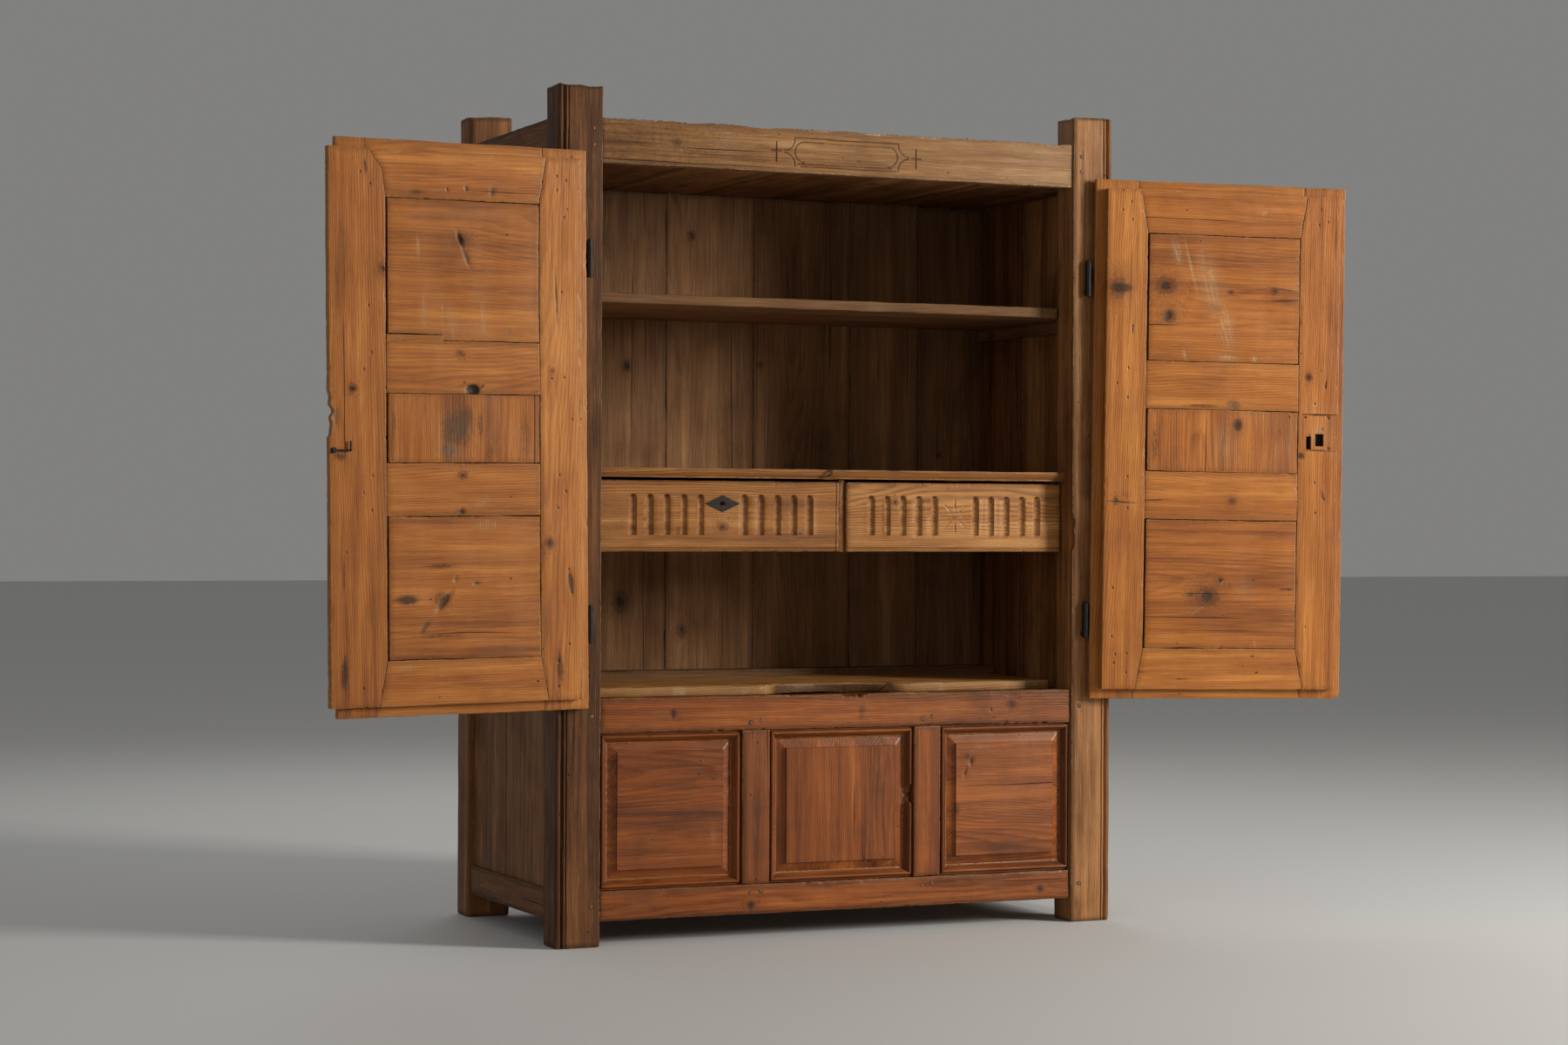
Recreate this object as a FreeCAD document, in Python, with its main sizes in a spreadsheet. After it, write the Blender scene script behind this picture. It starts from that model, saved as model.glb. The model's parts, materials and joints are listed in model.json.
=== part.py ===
import FreeCAD, Part
import math
import os

import Sketcher

# A two-door cupboard over a panelled chest, in pine, on four through posts.
# X runs along the front, Y from front to back and Z up, all in millimetres.
# The origin is on the floor, under the middle of the whole with its doors standing open.

SIZES = {
    # Case
    "case_width": 1316.0,
    "case_depth": 660.0,
    "case_height": 1800.0,
    "post_width": 98.0,
    "post_depth": 78.0,
    "post_rise": 64.0,
    "post_top_ease": 3.0,
    "bead_width": 11.0,
    "quirk_width": 4.5,
    "small_bead_width": 5.5,
    "thin_groove_width": 2.0,
    "thin_groove_depth": 4.0,
    # Rails
    "rail_thickness": 34.0,
    "rail_setback": 5.0,
    "top_rail_height": 96.0,
    "chest_rail_top": 520.0,
    "chest_rail_height": 74.0,
    "bottom_rail_top": 117.0,
    "bottom_rail_height": 64.0,
    "rear_top_rail_height": 136.0,
    "rear_bottom_rail_height": 97.0,
    "rail_chip_length": 60.0,
    "rail_chip_start": 2.0,
    "rail_chip_depth": 9.0,
    "rail_chip_reach": 16.0,
    # Joints of the case
    "tenon_thickness": 14.0,
    "tenon_length": 45.0,
    "side_tenon_length": 40.0,
    "tenon_shoulder": 12.0,
    "tenon_end_gap": 0.5,
    "groove_width": 8.0,
    "groove_depth": 10.0,
    "groove_side_gap": 0.2,
    "groove_end_gap": 0.5,
    "peg_radius": 4.5,
    "peg_length": 42.0,
    "peg_proud": 0.8,
    "peg_inset": 20.0,
    "top_peg_low": 36.0,
    "top_peg_high": 70.0,
    # Chest front
    "muntin_width": 64.0,
    "muntin_offset": 204.0,
    "muntin_tenon_length": 35.0,
    "muntin_tenon_width": 44.0,
    "muntin_peg_spread": 12.0,
    "panel_field_rise": 6.0,
    "panel_bevel_start": 22.0,
    "panel_bevel_end": 45.0,
    "moulding_width": 20.0,
    "moulding_setback": 2.0,
    "moulding_lip": 3.0,
    "ovolo_radius": 14.0,
    # Boards
    "side_board_thickness": 18.0,
    "side_board_inset": 14.0,
    "side_board_joint": 360.0,
    "board_gap": 0.8,
    "back_board_thickness": 18.0,
    "roof_thickness": 18.0,
    "roof_rise": 5.0,
    "roof_end_groove": 5.0,
    "floor_thickness": 16.0,
    # Shelves
    "shelf_end_gap": 0.5,
    "post_notch_gap": 1.0,
    "shelf_corner_radius": 12.0,
    "upper_shelf_top": 1374.0,
    "upper_shelf_thickness": 22.0,
    "upper_shelf_front": 61.0,
    "drawer_shelf_top": 1004.0,
    "drawer_shelf_thickness": 20.0,
    "drawer_shelf_front": 28.0,
    "nosing_height": 7.0,
    "nosing_depth": 8.0,
    "nosing_step": 3.0,
    "nosing_radius": 13.0,
    "cleat_width": 22.0,
    "cleat_height": 28.0,
    "cleat_front": 90.0,
    "cleat_back_gap": 9.0,
    # Drawers
    "drawer_front_setback": 22.0,
    "drawer_front_height": 152.0,
    "drawer_front_thickness": 20.0,
    "drawer_top_gap": 6.0,
    "drawer_side_gap": 1.2,
    "drawer_outer_gap": 3.0,
    "drawer_run_gap": 1.5,
    "drawer_length": 480.0,
    "drawer_side_thickness": 13.0,
    "drawer_side_height": 128.0,
    "drawer_side_housing": 10.0,
    "drawer_back_thickness": 12.0,
    "drawer_back_inset": 8.0,
    "drawer_bottom_thickness": 8.0,
    "drawer_bottom_rise": 10.0,
    "drawer_bottom_groove": 6.0,
    "hanger_thickness": 14.0,
    "centre_hanger_thickness": 15.0,
    "centre_hanger_offset": 18.5,
    "hanger_foot_width": 12.0,
    "hanger_foot_height": 10.0,
    "hanger_foot_rise": 2.0,
    "hanger_length": 466.0,
    "hanger_start_gap": 4.0,
    "flute_width": 17.0,
    "flute_depth": 5.5,
    "flute_height": 87.0,
    "flute_low": 36.0,
    "flute_pitch": 38.5,
    "flute_group_offset": 128.0,
    "left_ornament_shift": 8.0,
    "star_height": 78.0,
    "star_inner": 19.0,
    "star_outer": 36.0,
    "star_cut_width": 2.2,
    "star_cut_depth": 1.2,
    "escutcheon_width": 80.0,
    "escutcheon_height": 36.0,
    "escutcheon_thickness": 1.6,
    "escutcheon_centre": 103.0,
    "keyhole_width": 12.0,
    "keyhole_height": 8.0,
    "lock_width": 84.0,
    "lock_height": 50.0,
    "lock_thickness": 14.0,
    # Chest lid and its seat
    "lid_top": 537.0,
    "lid_thickness": 22.0,
    "lid_front": 86.0,
    "lid_depth": 402.0,
    "lid_end_gap": 2.0,
    "lid_back_gap": 2.0,
    "lid_corner_radius": 18.0,
    "notch_width": 364.0,
    "notch_depth": 75.0,
    "notch_offset": 15.0,
    "notch_flare": 34.0,
    "notch_flare_depth": 17.0,
    "notch_flare_radius": 46.0,
    "notch_radius": 222.0,
    "ledge_width": 88.0,
    "ledge_height": 22.0,
    "rear_lid_board_thickness": 36.0,
    # Doors
    "door_lip_thickness": 13.5,
    "door_inner_thickness": 18.0,
    "door_lip_overlap": 20.0,
    "door_lip_gap": 0.5,
    "door_edge_gap": 1.5,
    "door_meeting_gap": 1.0,
    "door_rebate_gap": 1.5,
    "hinge_stile_width": 96.0,
    "left_meeting_stile_width": 122.0,
    "right_meeting_stile_width": 97.0,
    "door_top_rail_height": 97.0,
    "door_upper_panel_height": 285.0,
    "door_mid_rail_height": 107.0,
    "door_middle_panel_height": 140.0,
    "door_bottom_rail_height": 92.0,
    "door_shoulder_flare": 17.0,
    "left_top_shoulder_flare": 37.0,
    "left_top_shoulder_knee": 7.0,
    "left_top_shoulder_knee_height": 56.0,
    "door_tenon_thickness": 9.0,
    "door_tenon_front": 1.0,
    "door_tenon_length": 33.0,
    "door_tenon_shoulder": 15.0,
    "door_groove_front": 3.0,
    "door_groove_width": 6.0,
    "door_groove_depth": 9.0,
    "door_panel_inset": 1.2,
    "door_panel_recess": 0.5,
    "door_field_rise": 10.0,
    "door_moulding_width": 18.0,
    "door_bevel_start": 20.0,
    "door_bevel_end": 42.0,
    "worn_edge_low": 541.0,
    "worn_edge_height": 90.0,
    "worn_edge_depth": 8.0,
    "lock_recess_width": 86.0,
    "lock_recess_height": 84.0,
    "lock_recess_centre": 584.0,
    "lock_recess_depth": 5.0,
    "door_keyhole_width": 20.0,
    "door_keyhole_height": 27.0,
    "door_keyhole_inset": 43.0,
    "door_keyhole_centre": 567.0,
    "bolt_slot_width": 12.0,
    "bolt_slot_height": 29.0,
    "bolt_slot_inset": 69.0,
    "bolt_slot_centre": 560.0,
    "post_wear_low": 832.0,
    "post_wear_height": 84.0,
    "post_wear_depth": 7.0,
    "post_wear_reach": 14.0,
    # Hinges
    "hinge_axis_offset": 30.5,
    "hinge_axis_forward": 10.5,
    "hinge_lean": 5.9,
    "upper_hinge_height": 1443.5,
    "lower_hinge_height": 681.5,
    "barrel_radius": 7.2,
    "barrel_length": 60.0,
    "pintle_radius": 4.95,
    "pintle_clearance": 0.05,
    "pintle_rise": 4.0,
    "collar_height": 16.0,
    "shank_radius": 6.0,
    "shank_depth": 50.0,
    "shank_drop": 8.0,
    "strap_length": 110.0,
    "strap_height": 30.0,
    "strap_thickness": 3.0,
    "left_door_stand_off_angle": 6.2,
    "right_door_stand_off_angle": 10.3,
    # Hook and catch
    "hook_height": 1034.0,
    "hook_edge_inset": 7.0,
    "hook_length": 36.0,
    "hook_tip": 19.0,
    "hook_radius": 2.0,
    "hook_ring_radius": 6.0,
    "hook_ring_thickness": 4.6,
    "hook_pin_radius": 2.5,
    "hook_pin_clearance": 0.05,
    "hook_pin_depth": 15.0,
    "hook_pin_head_radius": 4.5,
    "hook_pin_head_thickness": 1.6,
    "hook_collar_thickness": 2.5,
    "hook_side_gap": 0.3,
    "catch_reach": 15.5,
    "catch_width": 6.0,
    "catch_thickness": 2.0,
    "catch_door_gap": 0.5,
    "catch_drop": 5.6,
    "catch_lift": 2.6,
    "catch_leg_depth": 17.0,
}

# Where the boards meet, as shares of half the width between the side walls.
BACK_JOINT_SHARES = (-0.655, -0.307, 0.042, 0.439, 0.727)
ROOF_JOINT_SHARES = (-0.55, -0.2, 0.17, 0.58)
FLOOR_JOINT_SHARES = (-0.5, 0.02, 0.47)
# The worn hollow in the left door's free edge: shares of its height and depth, from the bottom up.
WORN_EDGE_SHARES = ((0.06, 0.55), (0.2, 0.7), (0.33, 1.0), (0.62, 0.82), (0.8, 0.95), (0.93, 0.4))
# The chip in the chest rail's upper edge: shares of its length and depth.
CHIP_SHARES = ((0.1, 0.45), (0.22, 0.95), (0.62, 1.0), (0.78, 0.6))
# The wear on the right post's inner edge: shares of its height and depth.
POST_WEAR_SHARES = ((0.08, 0.8), (0.45, 0.65), (0.7, 1.0), (0.94, 0.7))


class Size:
    """A length kept both as a number and as the sheet expression that gives it."""

    def __init__(self, value, text):
        self.value = value
        self.text = text

    def __add__(self, other):
        other = sized(other)
        return Size(self.value + other.value, f"({self.text} + {other.text})")

    def __sub__(self, other):
        other = sized(other)
        return Size(self.value - other.value, f"({self.text} - {other.text})")

    def __mul__(self, other):
        other = sized(other)
        return Size(self.value * other.value, f"({self.text} * {other.text})")

    def __truediv__(self, other):
        other = sized(other)
        return Size(self.value / other.value, f"({self.text} / {other.text})")

    def __neg__(self):
        return Size(-self.value, f"(-1 * {self.text})")

    def root(self):
        return Size(math.sqrt(self.value), f"sqrt({self.text})")

    def __radd__(self, other):
        return sized(other) + self

    def __rsub__(self, other):
        return sized(other) - self

    def __rmul__(self, other):
        return sized(other) * self


def sized(item):
    """A plain number becomes a size; a size stays as it is."""
    return item if isinstance(item, Size) else Size(float(item), repr(float(item)))


class Dimensions:
    """The sheet of driving dimensions, each read as an attribute of its own name."""

    def __init__(self, document):
        sheet = document.addObject("Spreadsheet::Sheet", "dims")
        for row, (alias, value) in enumerate(SIZES.items(), start=1):
            sheet.set(f"A{row}", alias)
            sheet.set(f"B{row}", repr(value))
            sheet.setAlias(f"B{row}", alias)
        document.recompute()
        for alias in SIZES:
            setattr(self, alias, Size(float(sheet.get(alias)), f"dims.{alias}"))


# Helpers that make bodies and bind their features to the sheet


def new_body(label):
    """An empty body with its own label."""
    body = doc.addObject("PartDesign::Body", label)
    body.Label = label
    return body


def origin_feature(body, role):
    """One of the body's own origin planes or axes."""
    for feature in body.Origin.OriginFeatures:
        if feature.Role == role:
            return feature
    raise RuntimeError(f"{body.Label} has no {role}")


def bind(feature, **values):
    """Binds each named property of a feature to the expression of its size."""
    for name, value in values.items():
        feature.setExpression(name, sized(value).text)


def seat(feature, body, role, turn=None, x=0, y=0, z=0):
    """Attaches a feature to an origin plane of its own body, turned and offset."""
    feature.AttachmentSupport = [(origin_feature(body, role), "")]
    feature.MapMode = "FlatFace"
    if turn:
        feature.AttachmentOffset = FreeCAD.Placement(FreeCAD.Vector(), turn)
    for axis, value in zip("xyz", (x, y, z)):
        feature.setExpression(f"AttachmentOffset.Base.{axis}", sized(value).text)


def block(body, way, x, y, z):
    """Adds or cuts a block that lies between two ends along each axis. way is Additive or Subtractive."""
    feature = body.newObject(f"PartDesign::{way}Box", f"{body.Label}_{way}_block")
    seat(feature, body, "XY_Plane", x=x[0], y=y[0], z=z[0])
    bind(feature, Length=x[1] - sized(x[0]), Width=y[1] - sized(y[0]), Height=z[1] - sized(z[0]))
    return feature


TURNS = {
    "x": FreeCAD.Rotation(FreeCAD.Vector(0, 1, 0), 90),
    "y": FreeCAD.Rotation(FreeCAD.Vector(1, 0, 0), -90),
    "z": FreeCAD.Rotation(),
}


def rod(body, way, along, start, radius, length):
    """Adds or cuts a cylinder from a point, along one axis."""
    feature = body.newObject(f"PartDesign::{way}Cylinder", f"{body.Label}_{way}_rod")
    seat(feature, body, "XY_Plane", TURNS[along], *start)
    bind(feature, Radius=radius, Height=length)
    return feature


def arc_centre(first, last, radius, hint):
    """The centre, on the hint's side, of an arc of this radius through two points."""
    middle = ((first[0] + last[0]) / 2, (first[1] + last[1]) / 2)
    run = (last[0] - first[0], last[1] - first[1])
    chord = math.hypot(*run)
    rise = math.sqrt(max(radius * radius - chord * chord / 4, 0))
    sides = []
    for sign in (1, -1):
        sides.append((middle[0] - sign * rise * run[1] / chord, middle[1] + sign * rise * run[0] / chord))
    return min(sides, key=lambda side: math.hypot(side[0] - hint[0], side[1] - hint[1]))


def outline(body, role, points, level):
    """A closed sketch through the points, on a plane of the body, with every corner bound to the sheet.

    A point is (u, v), reached by a line, or (u, v, radius, hint), reached by an arc whose centre
    lies on the hint's side.
    """
    sketch = body.newObject("Sketcher::SketchObject", f"{body.Label}_outline")
    seat(sketch, body, role, z=level)
    places = [(sized(point[0]), sized(point[1])) for point in points]
    count = len(points)
    ends = []
    for index in range(count):
        first = tuple(item.value for item in places[index - 1])
        last = tuple(item.value for item in places[index])
        if len(points[index]) == 2:
            shape = Part.LineSegment(FreeCAD.Vector(*first, 0), FreeCAD.Vector(*last, 0))
            ends.append((1, 2))
        else:
            radius, hint = sized(points[index][2]), [sized(item).value for item in points[index][3]]
            centre = arc_centre(first, last, radius.value, hint)
            angles = [math.atan2(end[1] - centre[1], end[0] - centre[0]) for end in (first, last)]
            forward = (angles[1] - angles[0]) % (2 * math.pi) < math.pi
            start, finish = angles if forward else reversed(angles)
            circle = Part.Circle(FreeCAD.Vector(*centre, 0), FreeCAD.Vector(0, 0, 1), radius.value)
            shape = Part.ArcOfCircle(circle, start, finish)
            ends.append((1, 2) if forward else (2, 1))
        sketch.addGeometry(shape, False)
    for index in range(count):
        before = (index - 1) % count
        joined = Sketcher.Constraint("Coincident", before, ends[before][1], index, ends[index][0])
        sketch.addConstraint(joined)
    for index in range(count):
        corner = (index, ends[index][1])
        for kind, size in zip(("DistanceX", "DistanceY"), places[index]):
            number = sketch.addConstraint(Sketcher.Constraint(kind, -1, 1, *corner, size.value))
            sketch.setExpression(f"Constraints[{number}]", size.text)
        if len(points[index]) > 2:
            radius = sized(points[index][2])
            number = sketch.addConstraint(Sketcher.Constraint("Radius", index, radius.value))
            sketch.setExpression(f"Constraints[{number}]", radius.text)
    return sketch


def extrude(body, kind, role, points, low, high):
    """A Pad or Pocket of an outline between two levels along the plane's own axis of the part."""
    downward = role == "XZ_Plane"
    level = -sized(low) if downward else sized(low)
    sketch = outline(body, role, points, level)
    feature = body.newObject(f"PartDesign::{kind}", f"{body.Label}_{kind}")
    feature.Profile = sketch
    bind(feature, Length=sized(high) - low)
    feature.Reversed = downward == (kind == "Pad")
    return feature


def span(side, near, far):
    """The two ends, low first, of a stretch from near to far on the left, -1, or right, 1."""
    near, far = sized(near), sized(far)
    return (near, far) if side > 0 else (-far, -near)


def group(label, bodies):
    """Several like pieces under one label, each still a solid of its own."""
    compound = doc.addObject("Part::Compound", label)
    compound.Label = label
    compound.Links = bodies
    return compound


doc = FreeCAD.newDocument("trastero")
D = Dimensions(doc)

# Levels and places that several pieces share

half_width = D.case_width / 2
opening_edge = half_width - D.post_width
rear_post_front = D.case_depth - D.post_depth
top_rail_top = D.case_height - D.post_rise
top_rail_low = top_rail_top - D.top_rail_height
chest_rail_low = D.chest_rail_top - D.chest_rail_height
bottom_rail_low = D.bottom_rail_top - D.bottom_rail_height
rail_back = D.rail_setback + D.rail_thickness
tenon_front = D.rail_setback + (D.rail_thickness - D.tenon_thickness) / 2
tenon_back = tenon_front + D.tenon_thickness
groove_front = D.rail_setback + (D.rail_thickness - D.groove_width) / 2
groove_back = groove_front + D.groove_width
groove_low = D.bottom_rail_top - D.groove_depth
groove_high = chest_rail_low + D.groove_depth
side_rail_outer = half_width - D.rail_setback
side_rail_inner = side_rail_outer - D.rail_thickness
side_tenon_outer = side_rail_outer - (D.rail_thickness - D.tenon_thickness) / 2
side_tenon_inner = side_tenon_outer - D.tenon_thickness
side_board_outer = half_width - D.side_board_inset
wall = side_board_outer - D.side_board_thickness
back_board_front = rear_post_front - D.back_board_thickness
rear_rail_back = rear_post_front + D.rail_thickness
rear_tenon_front = rear_post_front + (D.rail_thickness - D.tenon_thickness) / 2
rear_tenon_back = rear_tenon_front + D.tenon_thickness
rear_top_rail_low = top_rail_top - D.rear_top_rail_height
rear_bottom_rail_top = bottom_rail_low + D.rear_bottom_rail_height
roof_low = top_rail_low + D.roof_rise
roof_high = roof_low + D.roof_thickness
floor_low = D.bottom_rail_top - D.floor_thickness
opening_height = top_rail_low - D.chest_rail_top
opening_middle = D.chest_rail_top + opening_height / 2
drawer_front_y = D.drawer_shelf_front + D.drawer_front_setback
drawer_back_of_front = drawer_front_y + D.drawer_front_thickness
shelf_under = D.drawer_shelf_top - D.drawer_shelf_thickness
drawer_front_top = shelf_under - D.drawer_top_gap
drawer_front_low = drawer_front_top - D.drawer_front_height
foot_low = drawer_front_low + D.hanger_foot_rise
foot_top = foot_low + D.hanger_foot_height
drawer_end = drawer_front_y + D.drawer_length
lid_low = D.lid_top - D.lid_thickness
hinge_axis = opening_edge + D.hinge_axis_offset
leaf_length = hinge_axis - D.door_meeting_gap
hinge_heights = (D.lower_hinge_height, D.upper_hinge_height)

# Front rails: name, low edge, high edge, heights of the pegs in each tenon
FRONT_RAILS = (
    ("top_front_rail", top_rail_low, top_rail_top, (D.top_peg_low, D.top_peg_high)),
    ("chest_top_rail", chest_rail_low, D.chest_rail_top, (D.chest_rail_height / 2,)),
    ("chest_bottom_rail", bottom_rail_low, D.bottom_rail_top, (D.bottom_rail_height / 2,)),
)


def hinge_x(height):
    """How far from the middle the leaning hinge line stands at this height."""
    return hinge_axis + (height - opening_middle) * D.hinge_lean / opening_height


def post_outline(side, front):
    """A post's section, with beads and grooves down the outer front edge of a front post."""
    if not front:
        inner, outer = span(side, opening_edge, half_width)
        y0, y1 = rear_post_front, D.case_depth
        return [(inner, y0), (outer, y0), (outer, y1), (inner, y1)]

    def at(across, deep):
        return (side * (half_width - across), sized(deep))

    bead = D.bead_width / 2
    quirk_end = D.bead_width + D.quirk_width
    small = D.small_bead_width / 2
    small_top = quirk_end + small
    small_end = quirk_end + D.small_bead_width
    thin_end = small_end + D.thin_groove_width
    return [
        at(D.post_width, D.post_depth),
        at(0, D.post_depth),
        at(0, bead),
        at(bead, 0) + (bead, at(bead, bead)),
        at(D.bead_width, bead) + (bead, at(bead, bead)),
        at(quirk_end, bead),
        at(quirk_end, small),
        at(small_top, 0) + (small, at(small_top, small)),
        at(small_end, small) + (small, at(small_top, small)),
        at(small_end, D.thin_groove_depth),
        at(thin_end, D.thin_groove_depth),
        at(thin_end, 0),
        at(D.post_width, 0),
    ]


def ease_top(body, side, front):
    """Cuts the four upper edges of a post to a slope."""
    size = D.post_top_ease
    high = D.case_height
    inner, outer = span(side, opening_edge, half_width)
    near, far = (sized(0), D.post_depth) if front else (rear_post_front, D.case_depth)
    for edge, into in ((inner, inner + size), (outer, outer - size)):
        extrude(body, "Pocket", "XZ_Plane", [(edge, high - size), (edge, high), (into, high)], near, far)
    for edge, into in ((near, near + size), (far, far - size)):
        extrude(body, "Pocket", "YZ_Plane", [(edge, high - size), (edge, high), (into, high)], inner, outer)


def post(label, side, front):
    """A corner post with the mortises, grooves and bores of all that meets it."""
    body = new_body(label)
    extrude(body, "Pad", "XY_Plane", post_outline(side, front), 0, D.case_height)
    ease_top(body, side, front)
    reach = span(side, opening_edge, opening_edge + D.tenon_length + D.tenon_end_gap)
    shoulder = D.tenon_shoulder
    if front:
        levels = [(low, high) for name, low, high, pegs in FRONT_RAILS]
        depths = (tenon_front, tenon_back)
        side_run = (D.post_depth - D.side_tenon_length - D.tenon_end_gap, D.post_depth)
        groove_run = (D.post_depth - D.groove_depth, D.post_depth)
    else:
        levels = [(rear_top_rail_low, top_rail_top), (bottom_rail_low, rear_bottom_rail_top)]
        depths = (rear_tenon_front, rear_tenon_back)
        side_run = (rear_post_front, rear_post_front + D.side_tenon_length + D.tenon_end_gap)
        groove_run = (rear_post_front, rear_post_front + D.groove_depth)
    for low, high in levels:
        block(body, "Subtractive", reach, depths, (low + shoulder, high - shoulder))
    side_across = span(side, side_tenon_inner, side_tenon_outer)
    for low, high in ((top_rail_low, top_rail_top), (bottom_rail_low, D.bottom_rail_top)):
        block(body, "Subtractive", side_across, side_run, (low + shoulder, high - shoulder))
    board_levels = (groove_low, top_rail_low + D.groove_depth)
    block(body, "Subtractive", span(side, wall, side_board_outer), groove_run, board_levels)
    if front:
        groove = span(side, opening_edge, opening_edge + D.groove_depth)
        block(body, "Subtractive", groove, (groove_front, groove_back), (groove_low, groove_high))
        peg_x = side * (opening_edge + D.peg_inset)
        for name, low, high, pegs in FRONT_RAILS:
            for rise in pegs:
                rod(body, "Subtractive", "y", (peg_x, 0, low + rise), D.peg_radius, D.peg_length)
        for height in hinge_heights:
            hole = height - D.barrel_length / 2 - D.shank_drop
            place = (side * hinge_x(hole), 0, hole)
            rod(body, "Subtractive", "y", place, D.shank_radius, D.shank_depth)
        if side > 0:
            wear = []
            for up, deep in ((0, 0),) + POST_WEAR_SHARES + ((1, 0),):
                wear.append((opening_edge + deep * D.post_wear_depth, D.post_wear_low + up * D.post_wear_height))
            extrude(body, "Pocket", "XZ_Plane", wear, 0, D.post_wear_reach)
    return body


def front_rail(label, low, high, pegs):
    """A rail between the front posts, with a tenon at each end and its pegs' bores."""
    body = new_body(label)
    block(body, "Additive", (-opening_edge, opening_edge), (D.rail_setback, rail_back), (low, high))
    reach = opening_edge + D.tenon_length
    levels = (low + D.tenon_shoulder, high - D.tenon_shoulder)
    block(body, "Additive", (-reach, reach), (tenon_front, tenon_back), levels)
    for side in (-1, 1):
        for rise in pegs:
            start = (side * (opening_edge + D.peg_inset), 0, low + rise)
            rod(body, "Subtractive", "y", start, D.peg_radius, D.peg_length)
    return body


def muntin_pegs(level_low, level_high):
    """The places of the four pegs that hold both muntins at one rail."""
    places = []
    for side in (-1, 1):
        for spread in (-1, 1):
            across = side * D.muntin_offset + spread * D.muntin_peg_spread
            places.append((across, (level_low + level_high) / 2 + spread * D.peg_radius / 2))
    return places


upper_muntin_pegs = muntin_pegs(chest_rail_low, chest_rail_low + D.muntin_tenon_length)
lower_muntin_pegs = muntin_pegs(D.bottom_rail_top - D.muntin_tenon_length, D.bottom_rail_top)


def front_rails():
    """The three front rails, cut for the chest's panels and muntins, the roof and the floor."""
    rails = [front_rail(*row) for row in FRONT_RAILS]
    top, chest, bottom = rails
    across = (-opening_edge, opening_edge)
    block(top, "Subtractive", across, (rail_back - D.groove_depth, rail_back), (roof_low, roof_high))
    block(chest, "Subtractive", across, (groove_front, groove_back), (chest_rail_low, groove_high))
    block(bottom, "Subtractive", across, (groove_front, groove_back), (groove_low, D.bottom_rail_top))
    rebate = (rail_back - D.groove_depth, rail_back)
    block(bottom, "Subtractive", across, rebate, (floor_low, D.bottom_rail_top))
    half_tenon = D.muntin_tenon_width / 2
    for side in (-1, 1):
        mortise = (side * D.muntin_offset - half_tenon, side * D.muntin_offset + half_tenon)
        upper = (chest_rail_low, chest_rail_low + D.muntin_tenon_length)
        lower = (D.bottom_rail_top - D.muntin_tenon_length, D.bottom_rail_top)
        block(chest, "Subtractive", mortise, (tenon_front, tenon_back), upper)
        block(bottom, "Subtractive", mortise, (tenon_front, tenon_back), lower)
    for across, height in upper_muntin_pegs:
        rod(chest, "Subtractive", "y", (across, D.rail_setback, height), D.peg_radius, tenon_back - D.rail_setback)
    for across, height in lower_muntin_pegs:
        rod(bottom, "Subtractive", "y", (across, D.rail_setback, height), D.peg_radius, tenon_back - D.rail_setback)
    chip = []
    for along, deep in ((0, 0),) + CHIP_SHARES + ((1, 0),):
        across = along * D.rail_chip_length - D.rail_chip_start
        chip.append((across, D.chest_rail_top - deep * D.rail_chip_depth))
    extrude(chest, "Pocket", "XZ_Plane", chip, D.rail_setback, D.rail_setback + D.rail_chip_reach)
    return rails


def muntins():
    """The two uprights that part the chest's three panels."""
    bodies = []
    half = D.muntin_width / 2
    half_tenon = D.muntin_tenon_width / 2
    for side in (-1, 1):
        body = new_body("left_muntin" if side < 0 else "right_muntin")
        centre = side * D.muntin_offset
        depth = (D.rail_setback, rail_back)
        block(body, "Additive", (centre - half, centre + half), depth, (D.bottom_rail_top, chest_rail_low))
        levels = (D.bottom_rail_top - D.muntin_tenon_length, chest_rail_low + D.muntin_tenon_length)
        reach = (centre - half_tenon, centre + half_tenon)
        block(body, "Additive", reach, (tenon_front, tenon_back), levels)
        for edge, inner in ((centre - half, centre - half + D.groove_depth), (centre + half - D.groove_depth, centre + half)):
            run = (D.bottom_rail_top, chest_rail_low)
            block(body, "Subtractive", (edge, inner), (groove_front, groove_back), run)
        for across, height in upper_muntin_pegs + lower_muntin_pegs:
            if (across.value < 0) == (side < 0):
                start = (across, D.rail_setback, height)
                rod(body, "Subtractive", "y", start, D.peg_radius, tenon_back - D.rail_setback)
        bodies.append(body)
    return group("chest_muntins", bodies)


def raised_panel(label, x, z, tongue, tongue_reach, field_front, bevel):
    """A raised and fielded panel for an opening: tongue all round, bevel and flat field in front.

    x and z are the opening's edges, tongue its front and back faces, and bevel the distances
    from the opening's edge at which the bevel starts and ends.
    """
    body = new_body(label)
    wide = (x[0] - tongue_reach, x[1] + tongue_reach)
    tall = (z[0] - tongue_reach, z[1] + tongue_reach)
    block(body, "Additive", wide, tongue, tall)
    wedge = body.newObject("PartDesign::AdditiveWedge", f"{label}_field")
    seat(wedge, body, "XY_Plane")
    start, end = bevel
    bind(wedge, Ymin=field_front, Ymax=tongue[0])
    bind(wedge, Xmin=x[0] + end, Xmax=x[1] - end, Zmin=z[0] + end, Zmax=z[1] - end)
    bind(wedge, X2min=x[0] + start, X2max=x[1] - start, Z2min=z[0] + start, Z2max=z[1] - start)
    return body


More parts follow.
